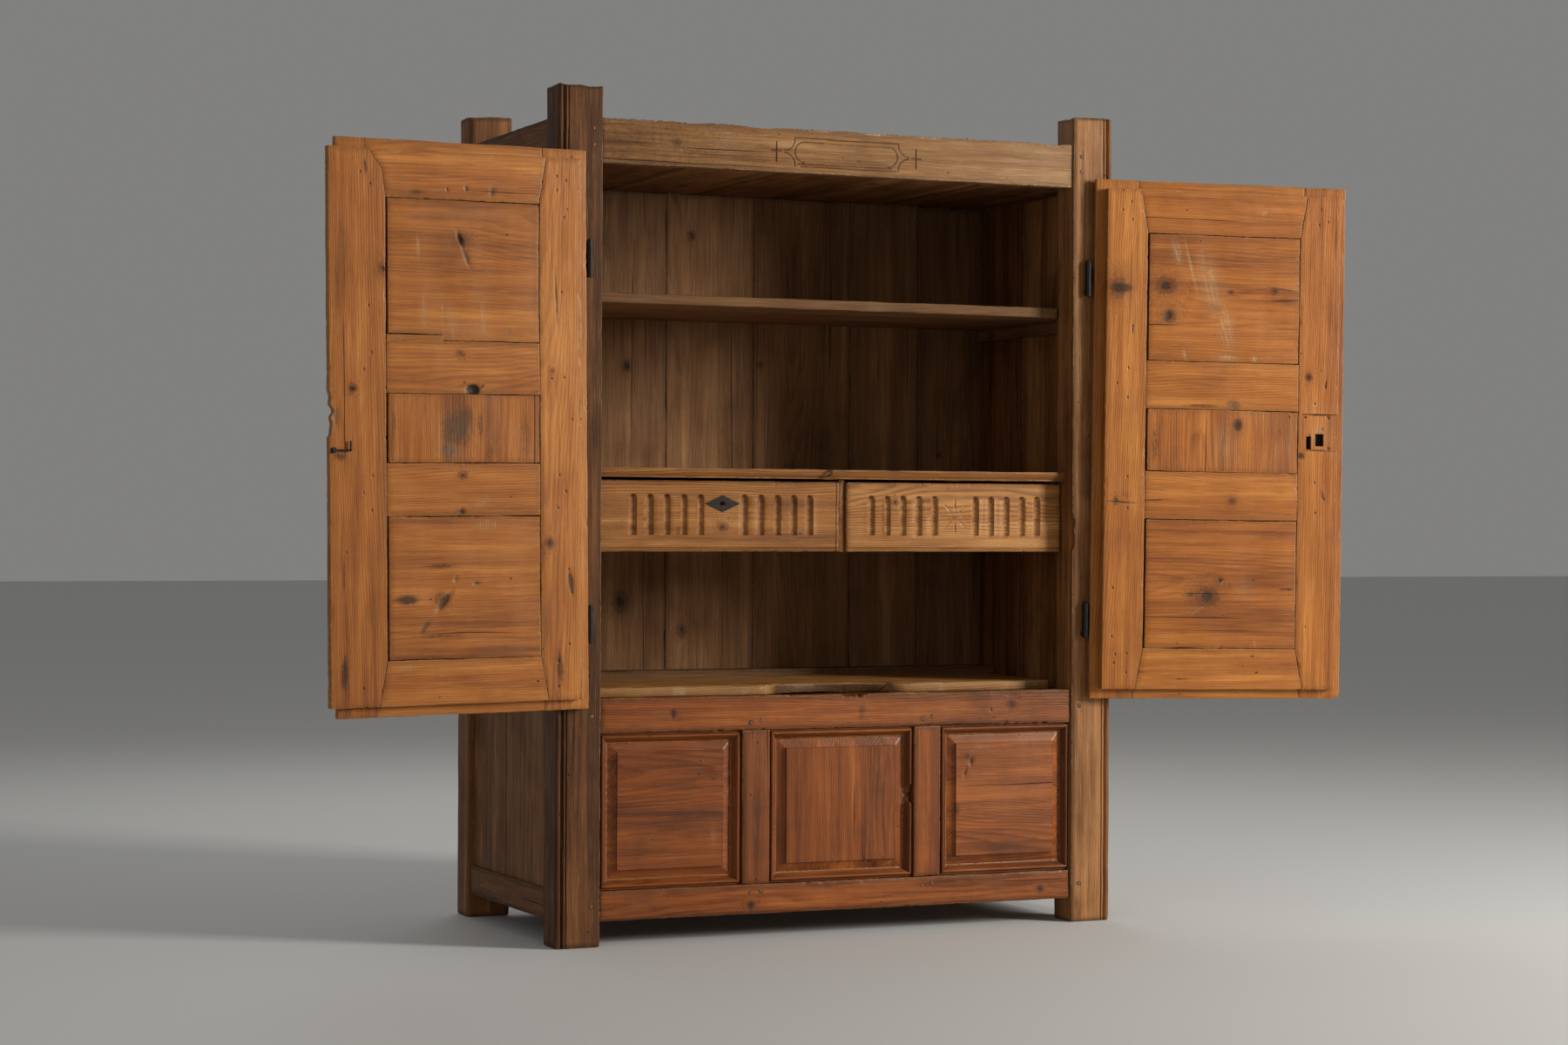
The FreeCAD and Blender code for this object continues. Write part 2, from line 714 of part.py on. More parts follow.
def moulding_frame(label, x, z, front, back, width):
    """Four mitred strips with a rounded face, in the corner between a frame and its panel."""
    strips = []
    lip = D.moulding_lip
    for name, inward, upright in (("left", 1, True), ("right", -1, True), ("low", 1, False), ("high", -1, False)):
        body = new_body(f"{label}_{name}")
        across, along = (x, z) if upright else (z, x)
        start = across[0] if inward > 0 else across[1]
        near = start + inward * lip
        end = start + inward * width
        section = [(start, back), (start, front), (near, front)]
        section += [(end, back - lip, D.ovolo_radius, (near, back)), (end, back)]
        if upright:
            extrude(body, "Pad", "XY_Plane", section, *along)
        else:
            turned = [(point[1], point[0]) + point[2:] for point in section]
            turned[3] = turned[3][:3] + ((back, near),)
            extrude(body, "Pad", "YZ_Plane", turned, *along)
        for corner, turn in ((along[0], 1), (along[1], -1)):
            outside = corner - turn * lip
            cut = [(start - inward * lip, outside), (end + inward * lip, outside)]
            cut.append((end + inward * lip, corner + turn * (width + lip)))
            if not upright:
                cut = [(point[1], point[0]) for point in cut]
            extrude(body, "Pocket", "XZ_Plane", cut, front - lip, back + lip)
        strips.append(body)
    return strips


def chest_front():
    """The chest's three panels and the mouldings round them."""
    half = D.muntin_width / 2
    edges = (-opening_edge, -D.muntin_offset, D.muntin_offset, opening_edge)
    z = (D.bottom_rail_top, chest_rail_low)
    tongue = (groove_front + D.groove_side_gap, groove_back - D.groove_side_gap)
    strips, panels = [], []
    for number, name in enumerate(("left", "middle", "right")):
        low = edges[number] if number == 0 else edges[number] + half
        high = edges[number + 1] if number == 2 else edges[number + 1] - half
        x = (low, high)
        bevel = (D.panel_bevel_start, D.panel_bevel_end)
        reach = D.groove_depth - D.groove_end_gap
        field = tongue[0] - D.panel_field_rise
        panels.append(raised_panel(f"{name}_chest_panel", x, z, tongue, reach, field, bevel))
        front = D.rail_setback + D.moulding_setback
        strips += moulding_frame(f"{name}_chest_moulding", x, z, front, tongue[0], D.moulding_width)
    return panels + [group("chest_mouldings", strips)]


def side_frames():
    """The side rails and the boards between them."""
    tops, bottoms, boards = [], [], []
    run = (D.post_depth, rear_post_front)
    reach = (run[0] - D.side_tenon_length, run[1] + D.side_tenon_length)
    board_levels = (groove_low, top_rail_low + D.groove_depth)
    for side in (-1, 1):
        name = "left" if side < 0 else "right"
        across = span(side, side_rail_inner, side_rail_outer)
        tenon = span(side, side_tenon_inner, side_tenon_outer)
        slot = span(side, wall, side_board_outer)
        for label, low, high, keep in (
            (f"{name}_side_top_rail", top_rail_low, top_rail_top, tops),
            (f"{name}_side_bottom_rail", bottom_rail_low, D.bottom_rail_top, bottoms),
        ):
            body = new_body(label)
            block(body, "Additive", across, run, (low, high))
            levels = (low + D.tenon_shoulder, high - D.tenon_shoulder)
            block(body, "Additive", tenon, reach, levels)
            if keep is tops:
                block(body, "Subtractive", slot, run, (low, low + D.groove_depth))
                end = span(side, side_rail_inner, side_rail_inner + D.roof_end_groove)
                block(body, "Subtractive", end, run, (roof_low, roof_high))
            else:
                block(body, "Subtractive", slot, run, (high - D.groove_depth, high))
            keep.append(body)
        middle = D.side_board_joint
        ends = (run[0] - D.groove_depth, middle - D.board_gap / 2, middle + D.board_gap / 2, run[1] + D.groove_depth)
        for number in range(2):
            body = new_body(f"{name}_side_board_{number + 1}")
            block(body, "Additive", slot, (ends[2 * number], ends[2 * number + 1]), board_levels)
            boards.append(body)
    return [group("side_top_rails", tops), group("side_bottom_rails", bottoms), group("side_boards", boards)]


def rear_rails():
    """The two rails between the rear posts."""
    bodies = []
    for label, low, high in (
        ("rear_top_rail", rear_top_rail_low, top_rail_top),
        ("rear_bottom_rail", bottom_rail_low, rear_bottom_rail_top),
    ):
        body = new_body(label)
        block(body, "Additive", (-opening_edge, opening_edge), (rear_post_front, rear_rail_back), (low, high))
        reach = opening_edge + D.tenon_length
        levels = (low + D.tenon_shoulder, high - D.tenon_shoulder)
        block(body, "Additive", (-reach, reach), (rear_tenon_front, rear_tenon_back), levels)
        groove = (roof_low, roof_high) if label == "rear_top_rail" else (floor_low, D.bottom_rail_top)
        depth = (rear_post_front, rear_post_front + D.groove_depth)
        block(body, "Subtractive", (-opening_edge, opening_edge), depth, groove)
        bodies.append(body)
    return group("rear_rails", bodies)


def board_ends(shares, reach):
    """The ends of a row of boards that fill the width, from the shares at which they meet."""
    edges = [-reach] + [share * wall for share in shares] + [sized(reach)]
    gap = D.board_gap / 2
    rows = []
    for number in range(len(edges) - 1):
        low = edges[number] if number == 0 else edges[number] + gap
        high = edges[number + 1] if number == len(edges) - 2 else edges[number + 1] - gap
        rows.append((low, high))
    return rows


def deck(label, shares, reach, low, high):
    """A row of boards from the front rail's groove to the rear rail's, cut round the posts."""
    bodies = []
    rows = board_ends(shares, reach)
    front = rail_back - D.groove_depth
    back = rear_post_front + D.groove_depth
    for number, (start, end) in enumerate(rows):
        body = new_body(f"{label}_{number + 1}")
        block(body, "Additive", (start, end), (front, back), (low, high))
        if number in (0, len(rows) - 1):
            side = -1 if number == 0 else 1
            corner = span(side, opening_edge, half_width)
            block(body, "Subtractive", corner, (0, D.post_depth), (low, high))
            block(body, "Subtractive", corner, (rear_post_front, D.case_depth), (low, high))
        bodies.append(body)
    return group(label, bodies)


def back_boards():
    """The upright boards nailed inside the rear posts and rails."""
    bodies = []
    depth = (back_board_front, rear_post_front)
    rows = board_ends(BACK_JOINT_SHARES, wall)
    for number, (start, end) in enumerate(rows):
        body = new_body(f"back_board_{number + 1}")
        block(body, "Additive", (start, end), depth, (D.bottom_rail_top, roof_low))
        if number in (0, len(rows) - 1):
            corner = span(-1 if number == 0 else 1, side_rail_inner, wall)
            block(body, "Subtractive", corner, depth, (top_rail_low, roof_low))
        bodies.append(body)
    return group("back_boards", bodies)


def shelf_plan(front, end, tongue):
    """A shelf's outline: full width behind the posts, a tongue with rounded corners between them."""
    radius = D.shelf_corner_radius
    behind = D.post_depth + D.post_notch_gap
    points = [(-end, back_board_front), (-end, behind), (-tongue, behind)]
    points.append((-tongue, front + radius))
    points.append((-tongue + radius, front, radius, (-tongue + radius, front + radius)))
    points.append((tongue - radius, front))
    points.append((tongue, front + radius, radius, (tongue - radius, front + radius)))
    points += [(tongue, behind), (end, behind), (end, back_board_front)]
    return points


def shelves():
    """The upper shelf, and the drawer shelf with its moulded front edge."""
    end = wall - D.shelf_end_gap
    tongue = opening_edge - D.post_notch_gap
    upper = new_body("upper_shelf")
    levels = (D.upper_shelf_top - D.upper_shelf_thickness, D.upper_shelf_top)
    extrude(upper, "Pad", "XY_Plane", shelf_plan(D.upper_shelf_front, end, tongue), *levels)

    lower = new_body("drawer_shelf")
    behind = D.post_depth + D.post_notch_gap
    front = D.drawer_shelf_front
    nose = D.drawer_shelf_top - D.nosing_height
    step = front + D.nosing_depth
    foot = shelf_under + D.nosing_step
    section = [(behind, shelf_under), (step, shelf_under), (step, foot)]
    section.append((front + D.nosing_step / 2, nose, D.nosing_radius, (front, foot)))
    section += [(front, nose), (front, D.drawer_shelf_top), (behind, D.drawer_shelf_top)]
    extrude(lower, "Pad", "YZ_Plane", section, -tongue, tongue)
    block(lower, "Additive", (-end, end), (behind, back_board_front), (shelf_under, D.drawer_shelf_top))
    for leg in catch_legs:
        block(lower, "Subtractive", catch_across, (front, front + D.catch_leg_depth), leg)
    return [upper, lower]


def shelf_cleats():
    """The strips nailed to the side boards under the two shelves."""
    bodies = []
    run = (D.cleat_front, back_board_front - D.cleat_back_gap)
    for name, under in (("upper", D.upper_shelf_top - D.upper_shelf_thickness), ("lower", shelf_under)):
        for side in (-1, 1):
            body = new_body(f"{name}_cleat_{'left' if side < 0 else 'right'}")
            block(body, "Additive", span(side, wall - D.cleat_width, wall), run, (under - D.cleat_height, under))
            bodies.append(body)
    return group("shelf_cleats", bodies)


centre_web = (
    D.centre_hanger_offset - D.centre_hanger_thickness / 2,
    D.centre_hanger_offset + D.centre_hanger_thickness / 2,
)


def hangers():
    """The hangers under the drawer shelf, whose feet carry the drawers' sides."""
    start = drawer_back_of_front + D.hanger_start_gap
    run = (start, start + D.hanger_length)
    centre = new_body("centre_drawer_hanger")
    web_run = (drawer_front_y, run[1])
    block(centre, "Additive", centre_web, web_run, (drawer_front_low, shelf_under))
    feet = (centre_web[0] - D.hanger_foot_width, centre_web[1] + D.hanger_foot_width)
    block(centre, "Additive", feet, run, (foot_low, foot_top))
    webs = [centre]
    for side in (-1, 1):
        body = new_body("left_drawer_hanger" if side < 0 else "right_drawer_hanger")
        inner = opening_edge - D.hanger_thickness
        block(body, "Additive", span(side, inner, opening_edge), run, (foot_low, shelf_under))
        foot = span(side, inner - D.hanger_foot_width, opening_edge)
        block(body, "Additive", foot, run, (foot_low, foot_top))
        webs.append(body)
    return group("drawer_hangers", webs)


def flutes(body, centre):
    """Two groups of five gouged flutes, round at the top, on both sides of a drawer front's ornament."""
    radius = (D.flute_width * D.flute_width / 4 + D.flute_depth * D.flute_depth) / (2 * D.flute_depth)
    axis_y = drawer_front_y + D.flute_depth - radius
    low = drawer_front_low + D.flute_low
    high = low + D.flute_height - D.flute_width / 2
    for side in (-1, 1):
        first = centre + side * D.flute_group_offset - 2 * D.flute_pitch
        trough = rod(body, "Subtractive", "z", (first, axis_y, low), radius, high - low)
        crown = body.newObject("PartDesign::SubtractiveSphere", f"{body.Label}_flute_top")
        seat(crown, body, "XY_Plane", x=first, y=axis_y, z=high)
        bind(crown, Radius=radius)
        pattern = body.newObject("PartDesign::LinearPattern", f"{body.Label}_flutes")
        pattern.Originals = [trough, crown]
        pattern.Direction = (origin_feature(body, "X_Axis"), [""])
        pattern.Mode = "Extent"
        bind(pattern, Length=4 * D.flute_pitch)
        pattern.Occurrences = 5
        body.Tip = pattern


def star(body, centre):
    """Eight short cuts like rays round a point of the right drawer's front."""
    sketch = body.newObject("Sketcher::SketchObject", "star_ray")
    height = drawer_front_low + D.star_height
    seat(sketch, body, "XZ_Plane", x=centre, y=height, z=-drawer_front_y)
    half = D.star_cut_width / 2
    corners = ((D.star_inner, -half), (D.star_outer, -half), (D.star_outer, half), (D.star_inner, half))
    for index in range(4):
        first = FreeCAD.Vector(corners[index - 1][0].value, corners[index - 1][1].value, 0)
        last = FreeCAD.Vector(corners[index][0].value, corners[index][1].value, 0)
        sketch.addGeometry(Part.LineSegment(first, last), False)
    for index in range(4):
        sketch.addConstraint(Sketcher.Constraint("Coincident", (index - 1) % 4, 2, index, 1))
        for kind, size in zip(("DistanceX", "DistanceY"), corners[index]):
            number = sketch.addConstraint(Sketcher.Constraint(kind, -1, 1, index, 2, size.value))
            sketch.setExpression(f"Constraints[{number}]", size.text)
    ray = body.newObject("PartDesign::Pocket", "star_cut")
    ray.Profile = sketch
    bind(ray, Length=D.star_cut_depth)
    pattern = body.newObject("PartDesign::PolarPattern", "star_cuts")
    pattern.Originals = [ray]
    pattern.Axis = (sketch, ["N_Axis"])
    pattern.Angle = 360
    pattern.Occurrences = 8
    body.Tip = pattern


def drawer(name, side):
    """One drawer: front, two sides, back and bottom. Its sides run on the hangers' feet."""
    outer_end = opening_edge - D.hanger_thickness - D.drawer_run_gap
    if side < 0:
        front_x = (-(opening_edge - D.drawer_outer_gap), centre_web[0] - D.drawer_side_gap)
        box_x = (-outer_end, centre_web[0] - D.drawer_run_gap)
    else:
        front_x = (centre_web[1] + D.drawer_side_gap, opening_edge - D.drawer_outer_gap)
        box_x = (centre_web[1] + D.drawer_run_gap, outer_end)
    thick = D.drawer_side_thickness
    side_top = foot_top + D.drawer_side_height
    housing = drawer_back_of_front - D.drawer_side_housing
    bottom_low = foot_top + D.drawer_bottom_rise
    bottom_high = bottom_low + D.drawer_bottom_thickness
    groove = D.drawer_bottom_groove
    side_ends = ((box_x[0], box_x[0] + thick), (box_x[1] - thick, box_x[1]))
    bottom_x = (side_ends[0][1] - groove, side_ends[1][0] + groove)
    bottom_run = (drawer_back_of_front - groove, drawer_end)

    front = new_body(f"{name}_drawer_front")
    faces = (drawer_front_y, drawer_back_of_front)
    block(front, "Additive", front_x, faces, (drawer_front_low, drawer_front_top))
    for ends in side_ends:
        block(front, "Subtractive", ends, (housing, drawer_back_of_front), (foot_top, side_top))
    inner_x = (side_ends[0][1], side_ends[1][0])
    block(front, "Subtractive", inner_x, (bottom_run[0], drawer_back_of_front), (bottom_low, bottom_high))
    shift = D.left_ornament_shift if side < 0 else sized(0)
    centre = (front_x[0] + front_x[1]) / 2 + shift
    if side < 0:
        hole = key_hole(centre)
        block(front, "Subtractive", hole[0], faces, hole[1])
    flutes(front, centre)
    if side > 0:
        star(front, centre)

    sides = []
    for number, ends in enumerate(side_ends):
        board = new_body(f"{name}_drawer_side_{number + 1}")
        block(board, "Additive", ends, (housing, drawer_end), (foot_top, side_top))
        slot = (ends[1] - groove, ends[1]) if number == 0 else (ends[0], ends[0] + groove)
        block(board, "Subtractive", slot, (housing, drawer_end), (bottom_low, bottom_high))
        sides.append(board)

    back = new_body(f"{name}_drawer_back")
    back_run = (drawer_end - D.drawer_back_inset - D.drawer_back_thickness, drawer_end - D.drawer_back_inset)
    block(back, "Additive", inner_x, back_run, (bottom_high, side_top))

    bottom = new_body(f"{name}_drawer_bottom")
    block(bottom, "Additive", bottom_x, bottom_run, (bottom_low, bottom_high))
    step = (bottom_run[0], drawer_back_of_front)
    for ends in ((bottom_x[0], inner_x[0]), (inner_x[1], bottom_x[1])):
        block(bottom, "Subtractive", ends, step, (bottom_low, bottom_high))
    pieces = [front, group(f"{name}_drawer_sides", sides), back, bottom]
    if side < 0:
        pieces.append(drawer_lock(centre))
    return pieces


def key_hole(centre):
    """The keyhole's ends across and up, about a drawer's middle."""
    height = drawer_front_low + D.escutcheon_centre
    across = (centre - D.keyhole_width / 2, centre + D.keyhole_width / 2)
    return across, (height - D.keyhole_height / 2, height + D.keyhole_height / 2)


def drawer_lock(centre):
    """The iron diamond on the left drawer's face and the lock case behind it."""
    height = drawer_front_low + D.escutcheon_centre
    wide = D.escutcheon_width / 2
    tall = D.escutcheon_height / 2
    plate = new_body("drawer_escutcheon")
    diamond = [(centre - wide, height), (centre, height - tall), (centre + wide, height), (centre, height + tall)]
    front = drawer_front_y - D.escutcheon_thickness
    extrude(plate, "Pad", "XZ_Plane", diamond, front, drawer_front_y)
    hole = key_hole(centre)
    block(plate, "Subtractive", hole[0], (front, drawer_front_y), hole[1])
    case = new_body("drawer_lock_case")
    across = (centre - D.lock_width / 2, centre + D.lock_width / 2)
    up = (height - D.lock_height / 2, height + D.lock_height / 2)
    block(case, "Additive", across, (drawer_back_of_front, drawer_back_of_front + D.lock_thickness), up)
    return group("drawer_lock", [plate, case])


def lid_seat():
    """The ledges on both side walls and the fixed board behind the lid."""
    ledges = []
    run = (D.post_depth, back_board_front)
    for side in (-1, 1):
        body = new_body("left_lid_ledge" if side < 0 else "right_lid_ledge")
        block(body, "Additive", span(side, wall - D.ledge_width, wall), run, (lid_low - D.ledge_height, lid_low))
        ledges.append(body)
    board = new_body("rear_lid_board")
    end = wall - D.shelf_end_gap
    start = D.lid_front + D.lid_depth + D.lid_back_gap
    block(board, "Additive", (-end, end), (start, back_board_front), (lid_low, lid_low + D.rear_lid_board_thickness))
    return [group("lid_ledges", ledges), board]


def chest_lid():
    """The loose lid with rounded front corners and a bow-shaped finger notch."""
    end = opening_edge - D.lid_end_gap
    radius = D.lid_corner_radius
    front = D.lid_front
    back = front + D.lid_depth
    start = D.notch_offset - D.notch_width / 2
    finish = D.notch_offset + D.notch_width / 2
    mouth = front + D.notch_flare_depth
    deep = front + D.notch_depth
    flare = D.notch_flare
    flare_radius = D.notch_flare_radius
    points = [(-end, back), (-end, front + radius)]
    points.append((-end + radius, front, radius, (-end + radius, front + radius)))
    points.append((start, front))
    points.append((start + flare, mouth, flare_radius, (start, front + flare_radius)))
    points.append((D.notch_offset, deep, D.notch_radius, (D.notch_offset, deep - D.notch_radius)))
    points.append((finish - flare, mouth, D.notch_radius, (D.notch_offset, deep - D.notch_radius)))
    points.append((finish, front, flare_radius, (finish, front + flare_radius)))
    points.append((end - radius, front))
    points.append((end, front + radius, radius, (end - radius, front + radius)))
    points.append((end, back))
    body = new_body("chest_lid")
    extrude(body, "Pad", "XY_Plane", points, lid_low, D.lid_top)
    return body


def frame_pegs():
    """The wooden pegs through the front's tenons, each a little proud."""
    bodies = []
    deep = D.peg_length
    for side in (-1, 1):
        for name, low, high, pegs in FRONT_RAILS:
            for rise in pegs:
                place = (side * (opening_edge + D.peg_inset), -D.peg_proud, low + rise)
                body = new_body("post_peg")
                rod(body, "Additive", "y", place, D.peg_radius, deep + D.peg_proud)
                bodies.append(body)
    for across, height in upper_muntin_pegs + lower_muntin_pegs:
        body = new_body("muntin_peg")
        start = (across, D.rail_setback - D.peg_proud, height)
        rod(body, "Additive", "y", start, D.peg_radius, tenon_back - D.rail_setback + D.peg_proud)
        bodies.append(body)
    return group("frame_pegs", bodies)


# The leaning hinge line, as plain placements for what turns about it or stands on it

lean = math.atan2(D.hinge_lean.value, opening_height.value)


def hinge_placement(side, height):
    """A frame on the hinge line: Z along the line, X away from the middle on the right side."""
    place = FreeCAD.Vector(side * hinge_x(height).value, -D.hinge_axis_forward.value, height.value)
    return FreeCAD.Placement(place, FreeCAD.Rotation(FreeCAD.Vector(0, 1, 0), math.degrees(side * lean)))


def cylinder(label, radius, length, low):
    """A Part cylinder about Z, from a level up."""
    shape = doc.addObject("Part::Cylinder", label)
    bind(shape, Radius=radius, Height=length)
    shape.setExpression("Placement.Base.z", sized(low).text)
    return shape


def pintles():
    """The four iron pins on the front posts, each with a collar and a shank driven into the post."""
    pieces = []
    half = D.barrel_length / 2
    stretch = (opening_height * opening_height + D.hinge_lean * D.hinge_lean).root() / opening_height
    for side in (-1, 1):
        for height in hinge_heights:
            pin = cylinder("pin", D.pintle_radius, D.barrel_length + D.collar_height + D.pintle_rise, -half - D.collar_height)
            collar = cylinder("collar", D.barrel_radius, D.collar_height, -half - D.collar_height)
            shank = doc.addObject("Part::Cylinder", "shank")
            bind(shank, Radius=D.shank_radius, Height=D.hinge_axis_forward + D.shank_depth)
            shank.Placement = FreeCAD.Placement(FreeCAD.Vector(), FreeCAD.Rotation(FreeCAD.Vector(1, 0, 0), -90))
            shank.setExpression("Placement.Base.z", (-(half + D.shank_drop) * stretch).text)
            joined = doc.addObject("Part::MultiFuse", "pintle")
            joined.Shapes = [pin, collar, shank]
            joined.Placement = hinge_placement(side, height)
            pieces.append(joined)
    return group("door_pintles", pieces)


def straps(name, side):
    """A door's two iron straps, rolled into barrels that turn on the pintles."""
    pieces = []
    half = D.barrel_length / 2
    back = D.hinge_axis_forward - D.door_lip_thickness
    for height in hinge_heights:
        barrel = cylinder("barrel", D.barrel_radius, D.barrel_length, -half)
        plate = doc.addObject("Part::Box", "plate")
        bind(plate, Length=D.strap_length, Width=D.strap_thickness, Height=D.strap_height)
        plate.setExpression("Placement.Base.y", (back - D.strap_thickness).text)
        plate.setExpression("Placement.Base.z", (-D.strap_height / 2).text)
        if side > 0:
            plate.setExpression("Placement.Base.x", (-D.strap_length).text)
        joined = doc.addObject("Part::MultiFuse", "rolled_strap")
        joined.Shapes = [barrel, plate]
        bore = cylinder("bore", D.pintle_radius + D.pintle_clearance, D.barrel_length, -half)
        cut = doc.addObject("Part::Cut", "strap")
        cut.Base = joined
        cut.Tool = bore
        cut.Placement = hinge_placement(side, height)
        pieces.append(cut)
    return group(f"{name}_door_hinge_straps", pieces)


# Doors, modelled shut, with distances taken from the hinge line towards the middle


def from_hinge(side, near, far):
    """The two ends, low first, of a stretch of a door measured from its hinge line."""
    return span(side, hinge_axis - far, hinge_axis - near)


def door_levels():
    """The levels between which a door's rails and panels stand, from the bottom up."""
    low = D.chest_rail_top + D.door_edge_gap
    high = top_rail_low - D.door_edge_gap
    upper = high - D.door_top_rail_height
    upper_low = upper - D.door_upper_panel_height
    middle = upper_low - D.door_mid_rail_height
    middle_low = middle - D.door_middle_panel_height
    lower = middle_low - D.door_mid_rail_height
    lower_low = low + D.door_bottom_rail_height
    return low, lower_low, lower, middle_low, middle, upper_low, upper, high


def shoulder_outline(side, name, ends, levels, top):
    """A top or bottom rail's face: its shoulders flare out towards the door's edge."""
    low, high = levels
    flare = D.door_shoulder_flare
    near, far = ends
    edge = high if top else low
    line = low if top else high
    lip = edge + D.door_lip_overlap + D.door_edge_gap if top else edge - D.door_lip_overlap - D.door_edge_gap
    points = [(near, line), (near - flare, edge), (near - flare, lip)]
    if top and name == "left":
        wide = D.left_top_shoulder_flare
        knee = (far + D.left_top_shoulder_knee, line + D.left_top_shoulder_knee_height)
        points += [(far + wide, lip), (far + wide, edge), knee, (far, line)]
    else:
        points += [(far + flare, lip), (far + flare, edge), (far, line)]
    return [(side * (hinge_axis - along), up) for along, up in points]


def rebate(body, x, y, top):
    """Cuts the recess behind the lip, along the top or the bottom of a door's member."""
    if top:
        levels = (top_rail_low - D.door_edge_gap, top_rail_low + D.door_lip_overlap)
    else:
        levels = (D.chest_rail_top - D.door_lip_overlap, D.chest_rail_top + D.door_edge_gap)
    block(body, "Subtractive", x, y, levels)


def door(name, side):
    """One door's stiles, rails, panels, mouldings and hinge straps, as it hangs when shut."""
    levels = door_levels()
    lip_low = D.chest_rail_top - D.door_lip_overlap
    lip_high = top_rail_low + D.door_lip_overlap
    front, back = -D.door_lip_thickness, D.door_inner_thickness
    behind_lip = (-D.door_lip_gap, back)
    meeting = D.left_meeting_stile_width if side < 0 else D.right_meeting_stile_width
    inner_start = D.hinge_axis_offset + D.door_edge_gap
    near = inner_start + D.hinge_stile_width
    far = leaf_length - meeting
    whole = (lip_low, lip_high)
    tenon_y = (D.door_tenon_front, D.door_tenon_front + D.door_tenon_thickness)
    groove_y = (D.door_groove_front, D.door_groove_front + D.door_groove_width)
    rails = (
        ("bottom_rail", levels[0], levels[1]),
        ("lower_middle_rail", levels[2], levels[3]),
        ("upper_middle_rail", levels[4], levels[5]),
        ("top_rail", levels[6], levels[7]),
    )
    flared = {
        "bottom_rail": shoulder_outline(side, name, (near, far), (levels[0], levels[1]), False),
        "top_rail": shoulder_outline(side, name, (near, far), (levels[6], levels[7]), True),
    }
    tenon_reach = D.door_shoulder_flare + D.door_tenon_length
    lip_start = D.hinge_axis_offset - D.door_lip_overlap
    lip_end = leaf_length + D.door_lip_overlap if side > 0 else leaf_length
    shoulder = D.door_tenon_shoulder

    hinge_stile = new_body(f"{name}_door_hinge_stile")
    stile = new_body(f"{name}_door_meeting_stile")
    block(hinge_stile, "Additive", from_hinge(side, lip_start, near), (front, back), whole)
    block(stile, "Additive", from_hinge(side, far, lip_end), (front, back), whole)
    for body, ends in ((hinge_stile, (lip_start, near)), (stile, (far, lip_end))):
        for top in (False, True):
            rebate(body, from_hinge(side, *ends), behind_lip, top)
        for outline_points in flared.values():
            extrude(body, "Pocket", "XZ_Plane", outline_points, front, back)
    block(hinge_stile, "Subtractive", from_hinge(side, lip_start, inner_start), behind_lip, whole)
    reach = tenon_reach + D.tenon_end_gap
    for label, bottom, top in rails:
        slot = (bottom + shoulder, top - shoulder)
        block(hinge_stile, "Subtractive", from_hinge(side, near - reach, near), tenon_y, slot)
        block(stile, "Subtractive", from_hinge(side, far, far + reach), tenon_y, slot)
    run = (levels[1] - D.door_groove_depth, levels[6] + D.door_groove_depth)
    block(hinge_stile, "Subtractive", from_hinge(side, near - D.door_groove_depth, near), groove_y, run)
    block(stile, "Subtractive", from_hinge(side, far, far + D.door_groove_depth), groove_y, run)
    if side > 0:
        block(stile, "Subtractive", from_hinge(side, leaf_length, lip_end), behind_lip, whole)
        lock_cuts(stile, side)
    else:
        edge = leaf_length - D.door_lip_overlap - D.door_rebate_gap
        block(stile, "Subtractive", from_hinge(side, edge, lip_end), (front, 0), whole)
        worn = []
        for up, deep in ((0, 0),) + WORN_EDGE_SHARES + ((1, 0),):
            across = side * (hinge_axis - leaf_length + deep * D.worn_edge_depth)
            worn.append((across, D.chest_rail_top + D.worn_edge_low + up * D.worn_edge_height))
        extrude(stile, "Pocket", "XZ_Plane", worn, 0, back)
        pin = (side * (hinge_axis - hook_pivot), back - D.hook_pin_depth, D.hook_height)
        rod(stile, "Subtractive", "y", pin, D.hook_pin_radius, D.hook_pin_depth)

    members = {}
    for label, bottom, top in rails:
        body = new_body(f"{name}_door_{label}")
        if label in flared:
            extrude(body, "Pad", "XZ_Plane", flared[label], front, back)
            wide = D.left_top_shoulder_flare + D.door_shoulder_flare
            rebate(body, from_hinge(side, near - wide, far + wide), behind_lip, label == "top_rail")
        else:
            block(body, "Additive", from_hinge(side, near, far), (front, back), (bottom, top))
        tongue = from_hinge(side, near - tenon_reach, far + tenon_reach)
        block(body, "Additive", tongue, tenon_y, (bottom + shoulder, top - shoulder))
        ends = from_hinge(side, near - D.door_groove_depth, far + D.door_groove_depth)
        if label != "bottom_rail":
            block(body, "Subtractive", ends, groove_y, (bottom, bottom + D.door_groove_depth))
        if label != "top_rail":
            block(body, "Subtractive", ends, groove_y, (top - D.door_groove_depth, top))
        members[label] = body
    middle_rails = group(f"{name}_door_middle_rails", [members["lower_middle_rail"], members["upper_middle_rail"]])

